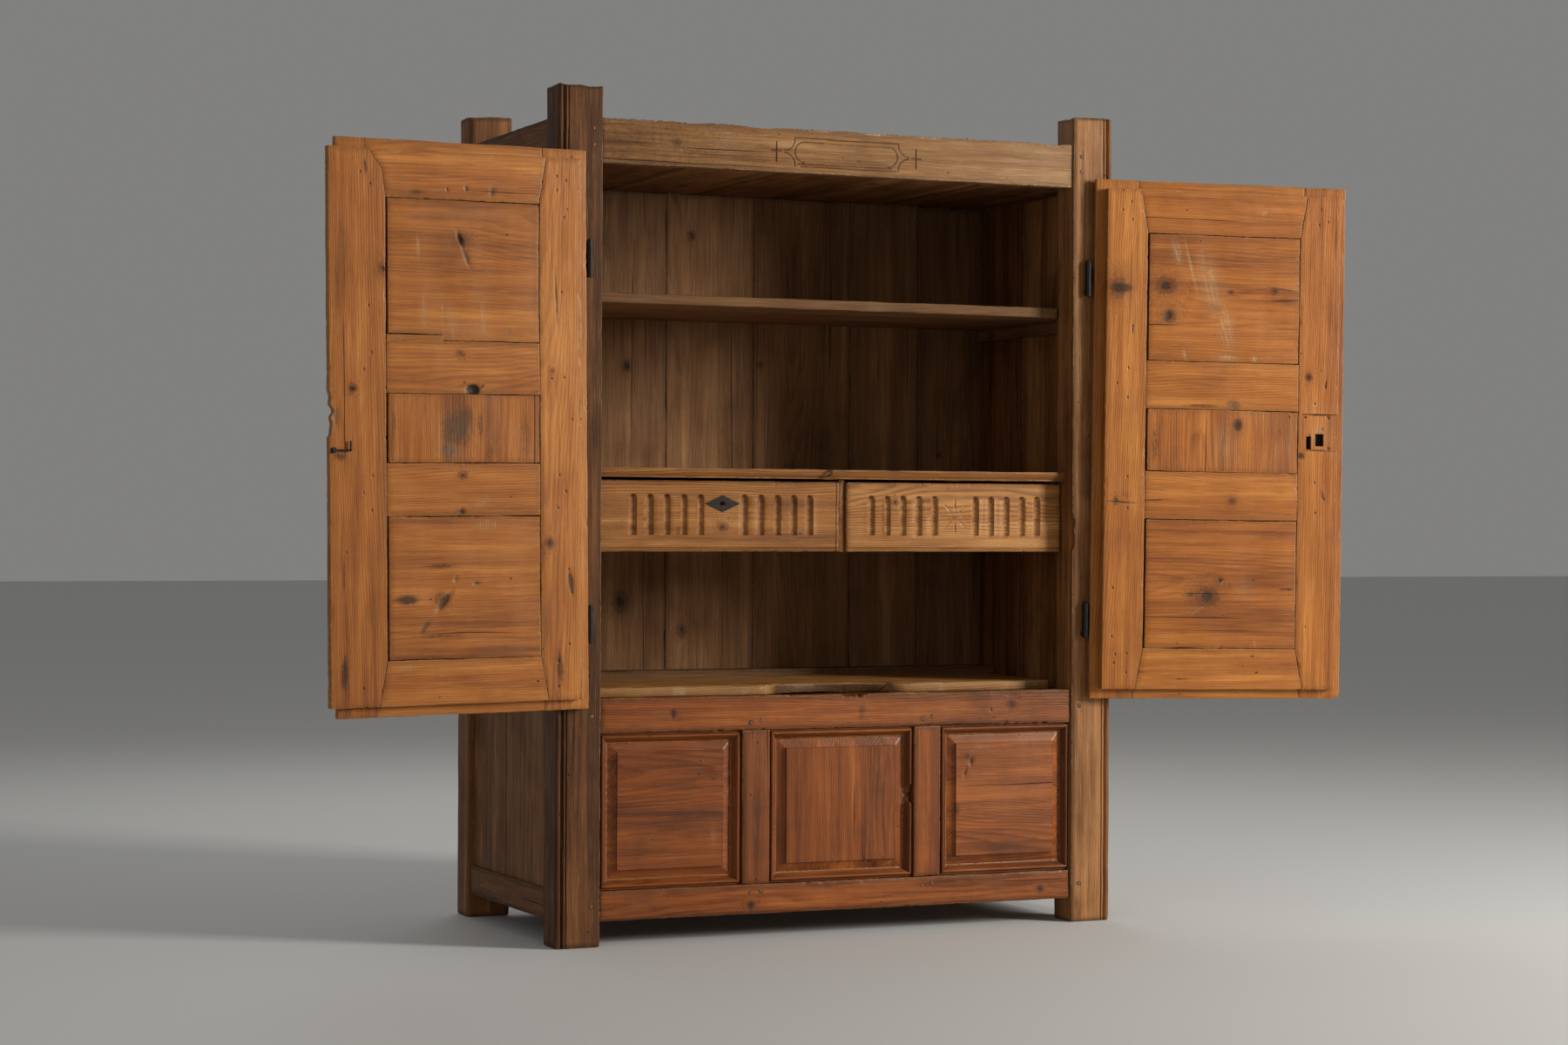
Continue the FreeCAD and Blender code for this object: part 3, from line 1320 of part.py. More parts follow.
    panels, strips = [], []
    gap = D.groove_side_gap
    tongue_y = (groove_y[0] + gap, groove_y[1] - gap)
    for label, bottom, top in (
        ("bottom_panel", levels[1], levels[2]),
        ("middle_panel", levels[3], levels[4]),
        ("top_panel", levels[5], levels[6]),
    ):
        x = from_hinge(side, near, far)
        bevel = (D.door_bevel_start, D.door_bevel_end)
        reach = D.door_groove_depth - D.groove_end_gap
        field = tongue_y[0] - D.door_field_rise
        panel = raised_panel(f"{name}_door_{label}", x, (bottom, top), tongue_y, reach, field, bevel)
        inset = D.door_panel_inset
        inner = (x[0] + inset, x[1] - inset)
        block(panel, "Additive", inner, (tongue_y[1], back - D.door_panel_recess), (bottom + inset, top - inset))
        panels.append(panel)
        strip = f"{name}_door_{label}_moulding"
        mould_front = front + D.moulding_setback
        strips += moulding_frame(strip, x, (bottom, top), mould_front, tongue_y[0], D.door_moulding_width)

    pieces = [hinge_stile, stile, members["top_rail"], middle_rails, members["bottom_rail"]] + panels
    pieces += [group(f"{name}_door_mouldings", strips), straps(name, side)]
    return pieces


def lock_cuts(stile, side):
    """The empty seat of the right door's lock: recess, keyhole and bolt slot."""
    back = D.door_inner_thickness
    middle = D.chest_rail_top + D.lock_recess_centre
    half = D.lock_recess_height / 2
    across = from_hinge(side, leaf_length - D.lock_recess_width, leaf_length)
    block(stile, "Subtractive", across, (back - D.lock_recess_depth, back), (middle - half, middle + half))
    for width, height, inset, centre in (
        (D.door_keyhole_width, D.door_keyhole_height, D.door_keyhole_inset, D.door_keyhole_centre),
        (D.bolt_slot_width, D.bolt_slot_height, D.bolt_slot_inset, D.bolt_slot_centre),
    ):
        place = leaf_length - inset
        hole = from_hinge(side, place - width / 2, place + width / 2)
        middle = D.chest_rail_top + centre
        up = (middle - height / 2, middle + height / 2)
        block(stile, "Subtractive", hole, (-D.door_lip_thickness, back), up)


# The hook on the left door and the eye on the shelf that it drops into

hook_pivot = leaf_length - D.hook_edge_inset
catch_middle = hook_pivot - hinge_axis - D.catch_reach
catch_across = (catch_middle - D.catch_width / 2, catch_middle + D.catch_width / 2)
catch_level = D.hook_height - D.hook_length
catch_legs = (
    (catch_level - D.catch_drop - D.catch_thickness, catch_level - D.catch_drop),
    (catch_level + D.catch_lift, catch_level + D.catch_lift + D.catch_thickness),
)
hook_front = D.door_inner_thickness + D.hook_collar_thickness + D.hook_side_gap
hook_axis_y = hook_front + D.hook_ring_thickness / 2


def hook_parts(side):
    """The iron hook, level as it stands on the open door, and the headed pin that it turns on."""
    x = side * (hinge_axis - hook_pivot)
    z = D.hook_height
    pin = new_body("hook_pin")
    back = D.door_inner_thickness
    head = hook_front + D.hook_ring_thickness + D.hook_side_gap
    length = head + D.hook_pin_head_thickness - back + D.hook_pin_depth
    rod(pin, "Additive", "y", (x, back - D.hook_pin_depth, z), D.hook_pin_radius, length)
    rod(pin, "Additive", "y", (x, back, z), D.hook_pin_head_radius, D.hook_collar_thickness)
    rod(pin, "Additive", "y", (x, head, z), D.hook_pin_head_radius, D.hook_pin_head_thickness)

    hook = new_body("left_door_hook")
    rod(hook, "Additive", "y", (x, hook_front, z), D.hook_ring_radius, D.hook_ring_thickness)
    tip_x = x + side * D.hook_length
    start = min(x, tip_x, key=lambda end: end.value)
    rod(hook, "Additive", "x", (start, hook_axis_y, z), D.hook_radius, D.hook_length)
    rod(hook, "Additive", "z", (tip_x, hook_axis_y, z), D.hook_radius, D.hook_tip)
    knuckle = hook.newObject("PartDesign::AdditiveSphere", "hook_bend")
    seat(knuckle, hook, "XY_Plane", x=tip_x, y=hook_axis_y, z=z)
    bind(knuckle, Radius=D.hook_ring_thickness / 2)
    bore = D.hook_pin_radius + D.hook_pin_clearance
    rod(hook, "Subtractive", "y", (x, hook_front, z), bore, D.hook_ring_thickness)
    return [hook, pin]


def shelf_catch():
    """The iron staple in the drawer shelf's front edge, which takes the hook's tip."""
    body = new_body("shelf_catch")
    front = D.door_inner_thickness + D.catch_door_gap
    levels = (catch_legs[0][0], catch_legs[1][1])
    block(body, "Additive", catch_across, (front, front + D.catch_thickness), levels)
    for leg in catch_legs:
        block(body, "Additive", catch_across, (front, D.drawer_shelf_front + D.catch_leg_depth), leg)
    return body


# Build every piece, then stand it in its place

case = [
    post("front_left_post", -1, True),
    post("front_right_post", 1, True),
    post("rear_left_post", -1, False),
    post("rear_right_post", 1, False),
]
case += front_rails()
case += [muntins()] + chest_front() + side_frames() + [rear_rails(), back_boards()]
case.append(deck("roof_boards", ROOF_JOINT_SHARES, side_rail_inner + D.roof_end_groove, roof_low, roof_high))
case.append(deck("chest_floor_boards", FLOOR_JOINT_SHARES, side_rail_inner, floor_low, D.bottom_rail_top))
case += shelves() + [shelf_cleats(), hangers()] + lid_seat() + [chest_lid(), frame_pegs(), shelf_catch()]
case.append(pintles())
left_drawer = drawer("left", -1)
right_drawer = drawer("right", 1)
left_door = door("left", -1) + hook_parts(-1)
right_door = door("right", 1)

doc.recompute()

# How far the right door reaches in front of the posts, which sets where the middle of the whole is
stand_off = math.radians(D.right_door_stand_off_angle.value)
leaf_reach = (leaf_length + D.door_lip_overlap).value
thickness = (D.door_inner_thickness + D.hinge_axis_forward).value
reach = leaf_reach * math.sin(stand_off) + thickness * math.cos(stand_off) + D.hinge_axis_forward.value
case_place = FreeCAD.Placement(FreeCAD.Vector(0, (reach - D.case_depth.value) / 2, 0), FreeCAD.Rotation())


def swing(side, stand_off_angle):
    """The placement that opens a door until it stands this far off the front's plane."""
    axis = FreeCAD.Vector(side * math.sin(lean), 0, math.cos(lean))
    centre = FreeCAD.Vector(side * hinge_axis.value, -D.hinge_axis_forward.value, opening_middle.value)
    turn = FreeCAD.Rotation(axis, side * (180 - stand_off_angle.value))
    return case_place.multiply(FreeCAD.Placement(FreeCAD.Vector(), turn, centre))


def stand(pieces, place):
    """Sets each piece's placement, down to the solids of a group."""
    for piece in pieces:
        if piece.TypeId == "Part::Compound":
            for link in piece.Links:
                link.Placement = place.multiply(link.Placement)
        else:
            piece.Placement = place.multiply(piece.Placement)


stand(case + left_drawer + right_drawer, case_place)
stand(left_door, swing(-1, D.left_door_stand_off_angle))
stand(right_door, swing(1, D.right_door_stand_off_angle))
doc.recompute()

# Nothing is written unless every object is sound

for item in doc.Objects:
    if "Invalid" in item.State or "Error" in item.State:
        raise RuntimeError(f"{item.Label} failed: {item.State}")

nodes = case + left_drawer + right_drawer + left_door + right_door
for item in nodes:
    shape = item.Shape
    if shape.isNull() or not shape.isValid() or not shape.Solids:
        raise RuntimeError(f"{item.Label} has no sound shape")
for item in doc.Objects:
    if item.TypeId in ("PartDesign::Pocket", "PartDesign::SubtractiveBox", "PartDesign::SubtractiveCylinder"):
        if item.Shape.Volume >= item.BaseFeature.Shape.Volume:
            raise RuntimeError(f"{item.Label} cuts nothing")

os.makedirs("parts", exist_ok=True)
for item in nodes:
    item.Shape.exportStep(f"parts/{item.Label}.step")
print(len(nodes), "nodes,", sum(len(item.Shape.Solids) for item in nodes), "solids")
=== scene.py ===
"""Looks for a two-door cupboard over a panelled chest, in old pine with forged iron fittings."""

import json
import math

import bmesh
import bpy
import numpy as np
from mathutils import Matrix, Vector


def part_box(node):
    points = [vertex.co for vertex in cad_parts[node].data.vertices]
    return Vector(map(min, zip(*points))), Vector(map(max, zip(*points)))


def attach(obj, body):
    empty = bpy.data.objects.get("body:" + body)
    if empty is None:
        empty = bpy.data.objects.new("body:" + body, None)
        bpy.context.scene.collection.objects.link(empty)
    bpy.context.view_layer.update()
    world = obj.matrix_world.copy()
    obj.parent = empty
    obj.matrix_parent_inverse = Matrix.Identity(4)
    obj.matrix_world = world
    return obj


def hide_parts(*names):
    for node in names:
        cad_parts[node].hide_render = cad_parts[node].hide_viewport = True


bl_info = {
    "name": "Old Pine Cupboard", "version": (1, 0, 0), "blender": (4, 5, 0),
    "location": "View3D > Sidebar > Cupboard",
    "description": "Builds the worn timber, mouldings, iron and studio of a panelled cupboard",
    "category": "Object",
}

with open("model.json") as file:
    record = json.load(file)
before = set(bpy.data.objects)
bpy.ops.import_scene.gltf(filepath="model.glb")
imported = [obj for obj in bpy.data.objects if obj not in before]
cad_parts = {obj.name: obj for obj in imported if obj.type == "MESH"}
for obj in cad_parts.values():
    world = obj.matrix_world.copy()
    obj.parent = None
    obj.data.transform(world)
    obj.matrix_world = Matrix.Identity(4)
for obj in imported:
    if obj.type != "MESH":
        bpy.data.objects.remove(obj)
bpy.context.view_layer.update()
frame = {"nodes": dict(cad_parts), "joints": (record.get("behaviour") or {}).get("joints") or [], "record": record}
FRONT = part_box("front_left_post")[0].y

# Sizes in metres, in the case's own frame: x from the middle, y back from the posts' fronts, z up.
HALF = 0.658
OPENING = 0.56
POST_DEEP = 0.078
REAR_POST = 0.582
DEPTH = 0.66
HEIGHT = 1.8
RAIL_Y = (0.005, 0.039)
TOP_RAIL = (1.64, 1.736)
CHEST_RAIL = (0.446, 0.52)
BOTTOM_RAIL = (0.053, 0.117)
WALL = 0.626
MUNTIN = (0.172, 0.236)
DOOR_LIP_Y = -0.0135
DOOR_BACK_Y = 0.018
HINGE = 0.5905
LEAF = 0.5895
DOOR_LEVELS = (0.5215, 0.6135, 0.9025, 1.0095, 1.1495, 1.2565, 1.5415, 1.6385)
HINGE_STILE = 0.128
MEETING_STILE = {"left": 0.122, "right": 0.097}
LIP_LEVELS = (0.5, 1.66)
BACK = (0.564, 0.582)
SHELF_REACH = 0.6255
SHELF_TONGUE = 0.559
UPPER_SHELF = (1.352, 1.374)
UPPER_FRONT = 0.061
DRAWER_SHELF = (0.984, 1.004)
DRAWER_SHELF_FRONT = 0.028
LID = (0.515, 0.537)
LID_FRONT = 0.086
LID_REACH = 0.558
NOTCH_MIDDLE = 0.015
BOARD_GAP = 0.0008
FINE_GRID = 0.0024


# Shared helpers for timber shapes


class Waves:
    """Smooth, repeatable unevenness: a sum of plane waves about one wavelength."""

    def __init__(self, seed, wavelength, count=9):
        draw = np.random.default_rng(seed)
        heading = draw.normal(size=(count, 3))
        heading /= np.linalg.norm(heading, axis=1)[:, None]
        self.vectors = heading * (2 * math.pi / wavelength) * draw.uniform(0.6, 1.6, (count, 1))
        self.phases = draw.uniform(0, 2 * math.pi, count)

    def __call__(self, points):
        return np.sin(points @ self.vectors.T + self.phases).sum(axis=-1) / math.sqrt(len(self.phases))


UNDULATION = Waves(3, 0.16)
RIPPLE = Waves(5, 0.035)
CHIPS = Waves(7, 0.022, 12)
NICKS = Waves(11, 0.008, 12)


def spread(low, high, step, extra=()):
    """Rising values from low to high, about a step apart, with the extra ones between them."""
    count = max(1, int(round((high - low) / step)))
    values = list(np.linspace(low, high, count + 1)) + [v for v in extra if low < v < high]
    values = sorted(values)
    kept = [values[0]]
    for value in values[1:]:
        if value - kept[-1] > 1e-5:
            kept.append(value)
    return kept


def sided(side, near, far):
    """The ends of a stretch that lies between two distances from the middle, on one side of it."""
    return tuple(sorted((side * near, side * far)))


def box_section(width, depth, ease, step, front=(), back=(), deep_step=0.02):
    """A rounded rectangle as (across, deep) points, front face first. front and back are extra lines."""
    w0, w1 = width
    t0, t1 = depth
    ease = min(ease, (w1 - w0) * 0.3, (t1 - t0) * 0.3)
    keep = ease * 2.5
    across, behind = [
        spread(w0 + ease, w1 - ease, step, (w0 + keep, w1 - keep) + extra) for extra in (front, back)
    ]
    deep = spread(t0 + ease, t1 - ease, deep_step)
    bend = ease * (1 - math.sqrt(0.5))
    points = [(w, t0) for w in across]
    points.append((w1 - bend, t0 + bend))
    points += [(w1, t) for t in deep]
    points.append((w1 - bend, t1 - bend))
    points += [(w, t1) for w in reversed(behind)]
    points.append((w0 + bend, t1 - bend))
    points += [(w0, t) for t in reversed(deep)]
    points.append((w0 + bend, t0 + bend))
    return points


UNITS = {"x": (1.0, 0.0, 0.0), "y": (0.0, 1.0, 0.0), "z": (0.0, 0.0, 1.0)}


class Mark:
    """A worn, gouged or stained spot on a face, or a spot of painted shade, placed in the case's own x and z."""

    def __init__(self, x, z, tall, wide, lean=0.0, depth=0.0, dark=0.0, pale=0.0, inner=True):
        self.x, self.z, self.tall, self.wide = x, z, tall, wide
        self.lean = math.radians(lean)
        self.depth, self.dark, self.pale, self.inner = depth, dark, pale, inner

    def share(self, x, z):
        """How far each point is from the mark in its own sizes, and how strong the mark is there."""
        dx, dz = x - self.x, z - self.z
        up = dz * math.cos(self.lean) + dx * math.sin(self.lean)
        aside = dx * math.cos(self.lean) - dz * math.sin(self.lean)
        away = np.hypot(up / self.tall, aside / self.wide)
        return away, np.clip(1.35 - away, 0, 1) ** 1.5

    def lines(self):
        """Where a grid needs lines for the mark: its x values and its z values."""
        level, upright = abs(math.cos(self.lean)) + 1e-6, abs(math.sin(self.lean)) + 1e-6
        found = []
        for middle, first, second in ((self.x, self.wide, self.tall), (self.z, self.tall, self.wide)):
            reach = 1.2 * (first * level + second * upright)
            fine = max(FINE_GRID, min(first * 0.55 / level, second * 0.55 / upright))
            found.append(spread(middle - reach, middle + reach, fine))
        return found


def outer_marks(*rows):
    """Marks on an outer face, from rows of (x, z, tall, wide, lean, depth, dark, pale)."""
    return tuple(Mark(*row, inner=False) for row in rows)


class Timber:
    """Collects worn members into one mesh, with the attributes that the wood materials read."""

    NAMES = ("place", "rim", "seed", "tone", "paint", "knot_a", "knot_b", "knot_c")

    def __init__(self, seed):
        self.seed = seed
        self.draw = np.random.default_rng(seed)
        self.points = []
        self.faces = []
        self.fields = {name: [] for name in self.NAMES}
        self.flat = []
        self.count = 0

    def again(self):
        """Starts the random draws anew, so that the next member continues the grain of the last."""
        self.draw = np.random.default_rng(self.seed)

    def member(
        self, length, width, depth, axes="zxy", ease=0.002, step=0.009, wide=0.01, wear=1.0, chip=1.0,
        warp=None, section=None, stations=(), across=(), matrix=None, bend=1.0, knots=None, marks=(),
        tone=None, stain=None,
    ):
        """One length of wood. length, width and depth are its ends along, across and through the grain."""
        settings = bpy.context.scene.timber_wear
        ease, chip = ease * settings.ease, chip * settings.chips
        basis = np.array([UNITS[name] for name in axes])
        stations, marked = list(stations), []
        for mark in marks:
            xs, zs = mark.lines()
            stations += xs if axes[0] == "x" else zs
            marked += zs if axes[0] == "x" else xs
        if section is None:
            inner = bool(marks) and marks[0].inner
            plain, dense = tuple(across), tuple(across) + tuple(marked)
            front, back = (plain, dense) if inner else (dense, plain)
            section = box_section(width, depth, ease, wide, front, back)
        ring = np.array(section)
        middle = np.array([(width[0] + width[1]) / 2, (depth[0] + depth[1]) / 2])
        half = np.array([length[1] - length[0], width[1] - width[0], depth[1] - depth[0]]) / 2
        inset = min(ease, half.min() * 0.6)
        ends = (length[0] + inset * 0.3, length[0] + inset, length[1] - inset, length[1] - inset * 0.3)
        extra = tuple(stations) + ends + (length[0] + inset * 2.5, length[1] - inset * 2.5)
        along = np.array(spread(length[0], length[1], step, extra))
        reach = np.minimum(along - length[0], length[1] - along)
        pull = np.clip(inset - reach, 0, inset)
        pull = inset - np.sqrt(np.maximum(inset**2 - pull**2, 0))
        rows, columns = len(along), len(ring)
        grid = np.zeros((rows, columns, 3))
        grid[:, :, 0] = along[:, None]
        for axis in (0, 1):
            offset = ring[None, :, axis] - middle[axis]
            shrink = 1 - pull[:, None] / half[axis + 1]
            grid[:, :, axis + 1] = middle[axis] + offset * shrink
        centre = np.array([(length[0] + length[1]) / 2, middle[0], middle[1]])
        square = grid - centre
        rim = half - np.abs(square)
        offset = self.draw.uniform(-20, 20, 3)
        if warp is not None:
            grid = warp(grid)
        place = grid - centre
        paint, sunk = self.marked(grid @ basis, place, marks, axes[0] == "x")
        if stain is not None:
            given = stain(grid @ basis)
            paint[..., 2] = np.where(given[..., 1] > paint[..., 1], math.pi / 2, paint[..., 2])
            paint[..., :2] = np.maximum(paint[..., :2], given)
        grid = grid + self.unevenness(grid, square, rim, offset, wear, chip, bend)
        grid[:, :, 2] -= sunk
        world = grid.reshape(-1, 3) @ basis
        world[:, 1] += FRONT
        if matrix is not None:
            turn = np.array(matrix)
            world = world @ turn[:3, :3].T + turn[:3, 3]
        start = self.count
        index = np.arange(rows * columns).reshape(rows, columns) + start
        following = np.roll(index, -1, axis=1)
        quads = np.stack([index[:-1], following[:-1], following[1:], index[1:]], axis=-1).reshape(-1, 4)
        first, last = list(index[0]), list(index[-1])
        if np.linalg.det(basis) > 0:
            faces = quads[:, ::-1].tolist() + [first, last[::-1]]
        else:
            faces = quads.tolist() + [first[::-1], last]
        self.faces += faces
        self.flat += [False] * len(quads) + [True, True]
        self.points.append(world)
        tint = self.draw.uniform(-1, 1, 3) if tone is None else np.array([tone, tone, 0.0])
        values = {"place": place, "rim": rim, "seed": offset, "tone": tint, "paint": paint}
        for name, knot in zip(self.NAMES[5:], self.knots(knots, half, centre, basis)):
            values[name] = knot
        for name, value in values.items():
            self.fields[name].append(np.broadcast_to(value, (rows, columns, 3)).reshape(-1, 3))
        self.count += rows * columns
        return self

    def knots(self, chosen, half, centre, basis):
        """Three knots as (along, across, radius) from the middle; a radius of nought is none."""
        free = self.draw.uniform(-1, 1, (3, 2)) * half[:2] * 0.9
        sizes = self.draw.uniform(0.005, 0.012, 3) * (self.draw.uniform(0, 1, 3) < 0.45)
        if chosen is None:
            return [np.array([*spot, size]) for spot, size in zip(free, sizes)]
        made = []
        for x, z, radius in tuple(chosen)[:3]:
            spot = basis @ np.array([x, 0, z]) - centre
            made.append(np.array([spot[0], spot[1], radius]))
        return made + [np.zeros(3)] * (3 - len(made))

    def marked(self, spots, place, marks, level):
        """What the marks paint, and how far they sink the surface through its depth."""
        paint = np.zeros(place.shape)
        sunk = np.zeros(place.shape[:2])
        nearest = np.full(place.shape[:2], 9.0)
        for mark in marks:
            way = 1 if mark.inner else -1
            away, share = mark.share(spots[..., 0], spots[..., 2])
            share = share * (place[..., 2] * way > 0)
            paint[..., 0] = np.maximum(paint[..., 0], share * mark.dark)
            paint[..., 1] = np.maximum(paint[..., 1], share * mark.pale)
            if mark.pale:
                lean = mark.lean if level else -mark.lean - math.pi / 2
                paint[..., 2] = np.where(away < nearest, lean, paint[..., 2])
                nearest = np.minimum(nearest, away)
            sunk = sunk + way * mark.depth * share
        return paint, sunk

    def unevenness(self, grid, square, rim, offset, wear, chip, bend):
        """How far each point moves: gentle waves on the faces, chips and rubbing along the edges."""
        towards = np.gradient(grid, axis=0)
        around = np.roll(grid, -1, axis=1) - np.roll(grid, 1, axis=1)
        normal = np.cross(around, towards)
        size = np.linalg.norm(normal, axis=2, keepdims=True)
        normal = normal / np.maximum(size, 1e-12)
        inward = (normal * square).sum(axis=2, keepdims=True)
        normal = np.where(inward > 0, -normal, normal)
        sample = square + offset
        edge = np.sort(rim, axis=2)[:, :, 1]
        near = np.exp(-((edge / 0.0045) ** 2))
        broad = UNDULATION(sample) * 0.00035 * bend + RIPPLE(sample) * 0.00008 * wear
        chips = np.clip(CHIPS(sample) - 1.0, 0, 1.3) * 0.0019 * chip
        nicks = np.clip(NICKS(sample) - 0.7, 0, 1.2) * 0.0011 * chip
        amount = broad + near * (chips + nicks + 0.0003 * wear)
        return normal * amount[:, :, None]

    def finish(self, node, material):
        """Makes the object, which stands for the CAD node and rides on its body."""
        mesh = bpy.data.meshes.new(node + "_timber")
        mesh.from_pydata(np.concatenate(self.points).tolist(), [], self.faces)
        for name, rows in self.fields.items():
            attribute = mesh.attributes.new(name, "FLOAT_VECTOR", "POINT")
            attribute.data.foreach_set("vector", np.concatenate(rows).astype(np.float32).ravel())
        mesh.polygons.foreach_set("use_smooth", [not flat for flat in self.flat])
        mesh.materials.append(material)
        mesh.update()
        piece = bpy.data.objects.new(node + "_timber", mesh)
        bpy.context.scene.collection.objects.link(piece)
        piece.data.set_sharp_from_angle(angle=math.radians(50))
        return stand_for(piece, node)


def members(node, seed, material, rows, slot=None, **looks):
    """One object for a node, of members given as rows of (length, width, depth, axes) with the same looks."""
    timber = Timber(seed)
    for length, width, depth, axes in rows:
        timber.member(length, width, depth, axes=axes, **looks)
    return timber.finish(node, material)


def body_of(node):
    """The body that a CAD node rides on."""
    for body, nodes in frame["record"]["behaviour"]["bodies"].items():
        if node in nodes:
            return body
    raise RuntimeError(f"no body holds {node}")


def stand_for(piece, node):
    """Lets a finished piece ride with a CAD node's body and stand for the node."""
    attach(piece, body_of(node))
    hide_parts(node)
    return piece


def door_matrix(joint_name):
    """The turn that opens a door's shut shape to where it stands at rest."""
    joint = next(j for j in frame["joints"] if j["name"] == joint_name)
    pivot = Vector(joint["pos_m"])
    turn = Matrix.Rotation(math.radians(-joint["range_deg"][0]), 4, Vector(joint["axis"]))
    return Matrix.Translation(pivot) @ turn @ Matrix.Translation(-pivot)


DOORS = {"left": (-1, door_matrix("left_door_hinge")), "right": (1, door_matrix("right_door_hinge"))}


# Shader maths


class Socket:
    """A shader socket or number that takes part in Python expressions."""

    def __init__(self, tree, value):
        self.tree = tree
        self.value = value

    def maths(self, operation, *others):
        node = self.tree.nodes.new("ShaderNodeMath")
        node.operation = operation
        for socket, item in zip(node.inputs, (self,) + others):
            plug(self.tree, socket, item)
        return Socket(self.tree, node.outputs[0])

    def __add__(self, other):
        return self.maths("ADD", other)

    def __sub__(self, other):
        return self.maths("SUBTRACT", other)

    def __mul__(self, other):
        return self.maths("MULTIPLY", other)

    def __truediv__(self, other):
        return self.maths("DIVIDE", other)

    def __pow__(self, other):
        return self.maths("POWER", other)

    def __radd__(self, other):
        return self.maths("ADD", other)

    def __rmul__(self, other):
        return self.maths("MULTIPLY", other)

    def __rsub__(self, other):
        return Socket(self.tree, other).maths("SUBTRACT", self)


def plug(tree, socket, item):
    """Links a socket, or sets a plain value on it."""
    value = item.value if isinstance(item, Socket) else item
    if isinstance(value, bpy.types.NodeSocket):
        tree.links.new(value, socket)
    else:
        socket.default_value = value


class Nodes:
    """A node tree in the making."""

    def __init__(self, tree):
        self.tree = tree

    def node(self, kind, settings=None, outlet=0, **inputs):
        """Any node: its type, its settings, then the values or links of its sockets by name."""
        node = self.tree.nodes.new(kind)
        for key, value in (settings or {}).items():
            setattr(node, key, value)
        for key, value in inputs.items():
            name = key.replace("_", " ")
            socket = node.inputs[
                int(name[1:])
            ] if name[0] == "s" and name[1:].isdigit() else node.inputs[name]
            plug(self.tree, socket, value)
        return Socket(self.tree, node.outputs[outlet])

    def split(self, vector):
        node = self.tree.nodes.new("ShaderNodeSeparateXYZ")
        plug(self.tree, node.inputs[0], vector)
        return [Socket(self.tree, node.outputs[i]) for i in range(3)]

    def join(self, x, y, z):
        return self.node("ShaderNodeCombineXYZ", X=x, Y=y, Z=z)


class Finish(Nodes):
    """A material in the making."""

    def __init__(self, name):
        self.material = bpy.data.materials.new(name)
        self.material.use_nodes = True
        super().__init__(self.material.node_tree)
        self.tree.nodes.clear()
        self.shader = self.tree.nodes.new("ShaderNodeBsdfPrincipled")
        output = self.tree.nodes.new("ShaderNodeOutputMaterial")
        self.tree.links.new(self.shader.outputs[0], output.inputs["Surface"])

    def attribute(self, name):
        return self.node("ShaderNodeAttribute", {"attribute_name": name}, outlet="Vector")

    def noise(self, vector, scale, detail=2.0, rough=0.5):
        """Noise about nought, from -0.5 to 0.5."""
        made = self.node(
            "ShaderNodeTexNoise", {"noise_dimensions": "3D"}, Vector=vector, Scale=scale, Detail=detail,
            Roughness=rough,
        )
        return made - 0.5

    def smooth(self, value, low, high):
        """Rises smoothly from 0 at low to 1 at high."""
        node = self.tree.nodes.new("ShaderNodeMapRange")
        node.interpolation_type = "SMOOTHSTEP"
        for name, item in (("Value", value), ("From Min", low), ("From Max", high)):
            plug(self.tree, node.inputs[name], item)
        return Socket(self.tree, node.outputs["Result"])

    def blend(self, factor, first, second):
        """Mixes two colours."""
        node = self.tree.nodes.new("ShaderNodeMix")
        node.data_type = "RGBA"
        node.clamp_factor = True
        plug(self.tree, node.inputs[0], factor)
        for socket, item in ((node.inputs[6], first), (node.inputs[7], second)):
            if isinstance(item, tuple) and len(item) == 3:
                item = item + (1.0,)
            plug(self.tree, socket, item)
        return Socket(self.tree, node.outputs[2])

    def surface(self, **inputs):
        for key, value in inputs.items():
            if isinstance(value, tuple) and len(value) == 3:
                value = value + (1.0,)
            plug(self.tree, self.shader.inputs[key.replace("_", " ")], value)
        return self.material


def srgb(red, green, blue):
    """A colour as it looks on a screen, from 0 to 255, made linear."""
    values = []
    for level in (red, green, blue):
        level = level / 255
        values.append(level / 12.92 if level <= 0.04045 else ((level + 0.055) / 1.055) ** 2.4)
    return tuple(values)


def tinted(colour, tint):
    """A screen colour made linear, under a tint."""
    return tuple(level * share for level, share in zip(srgb(*colour), tint))


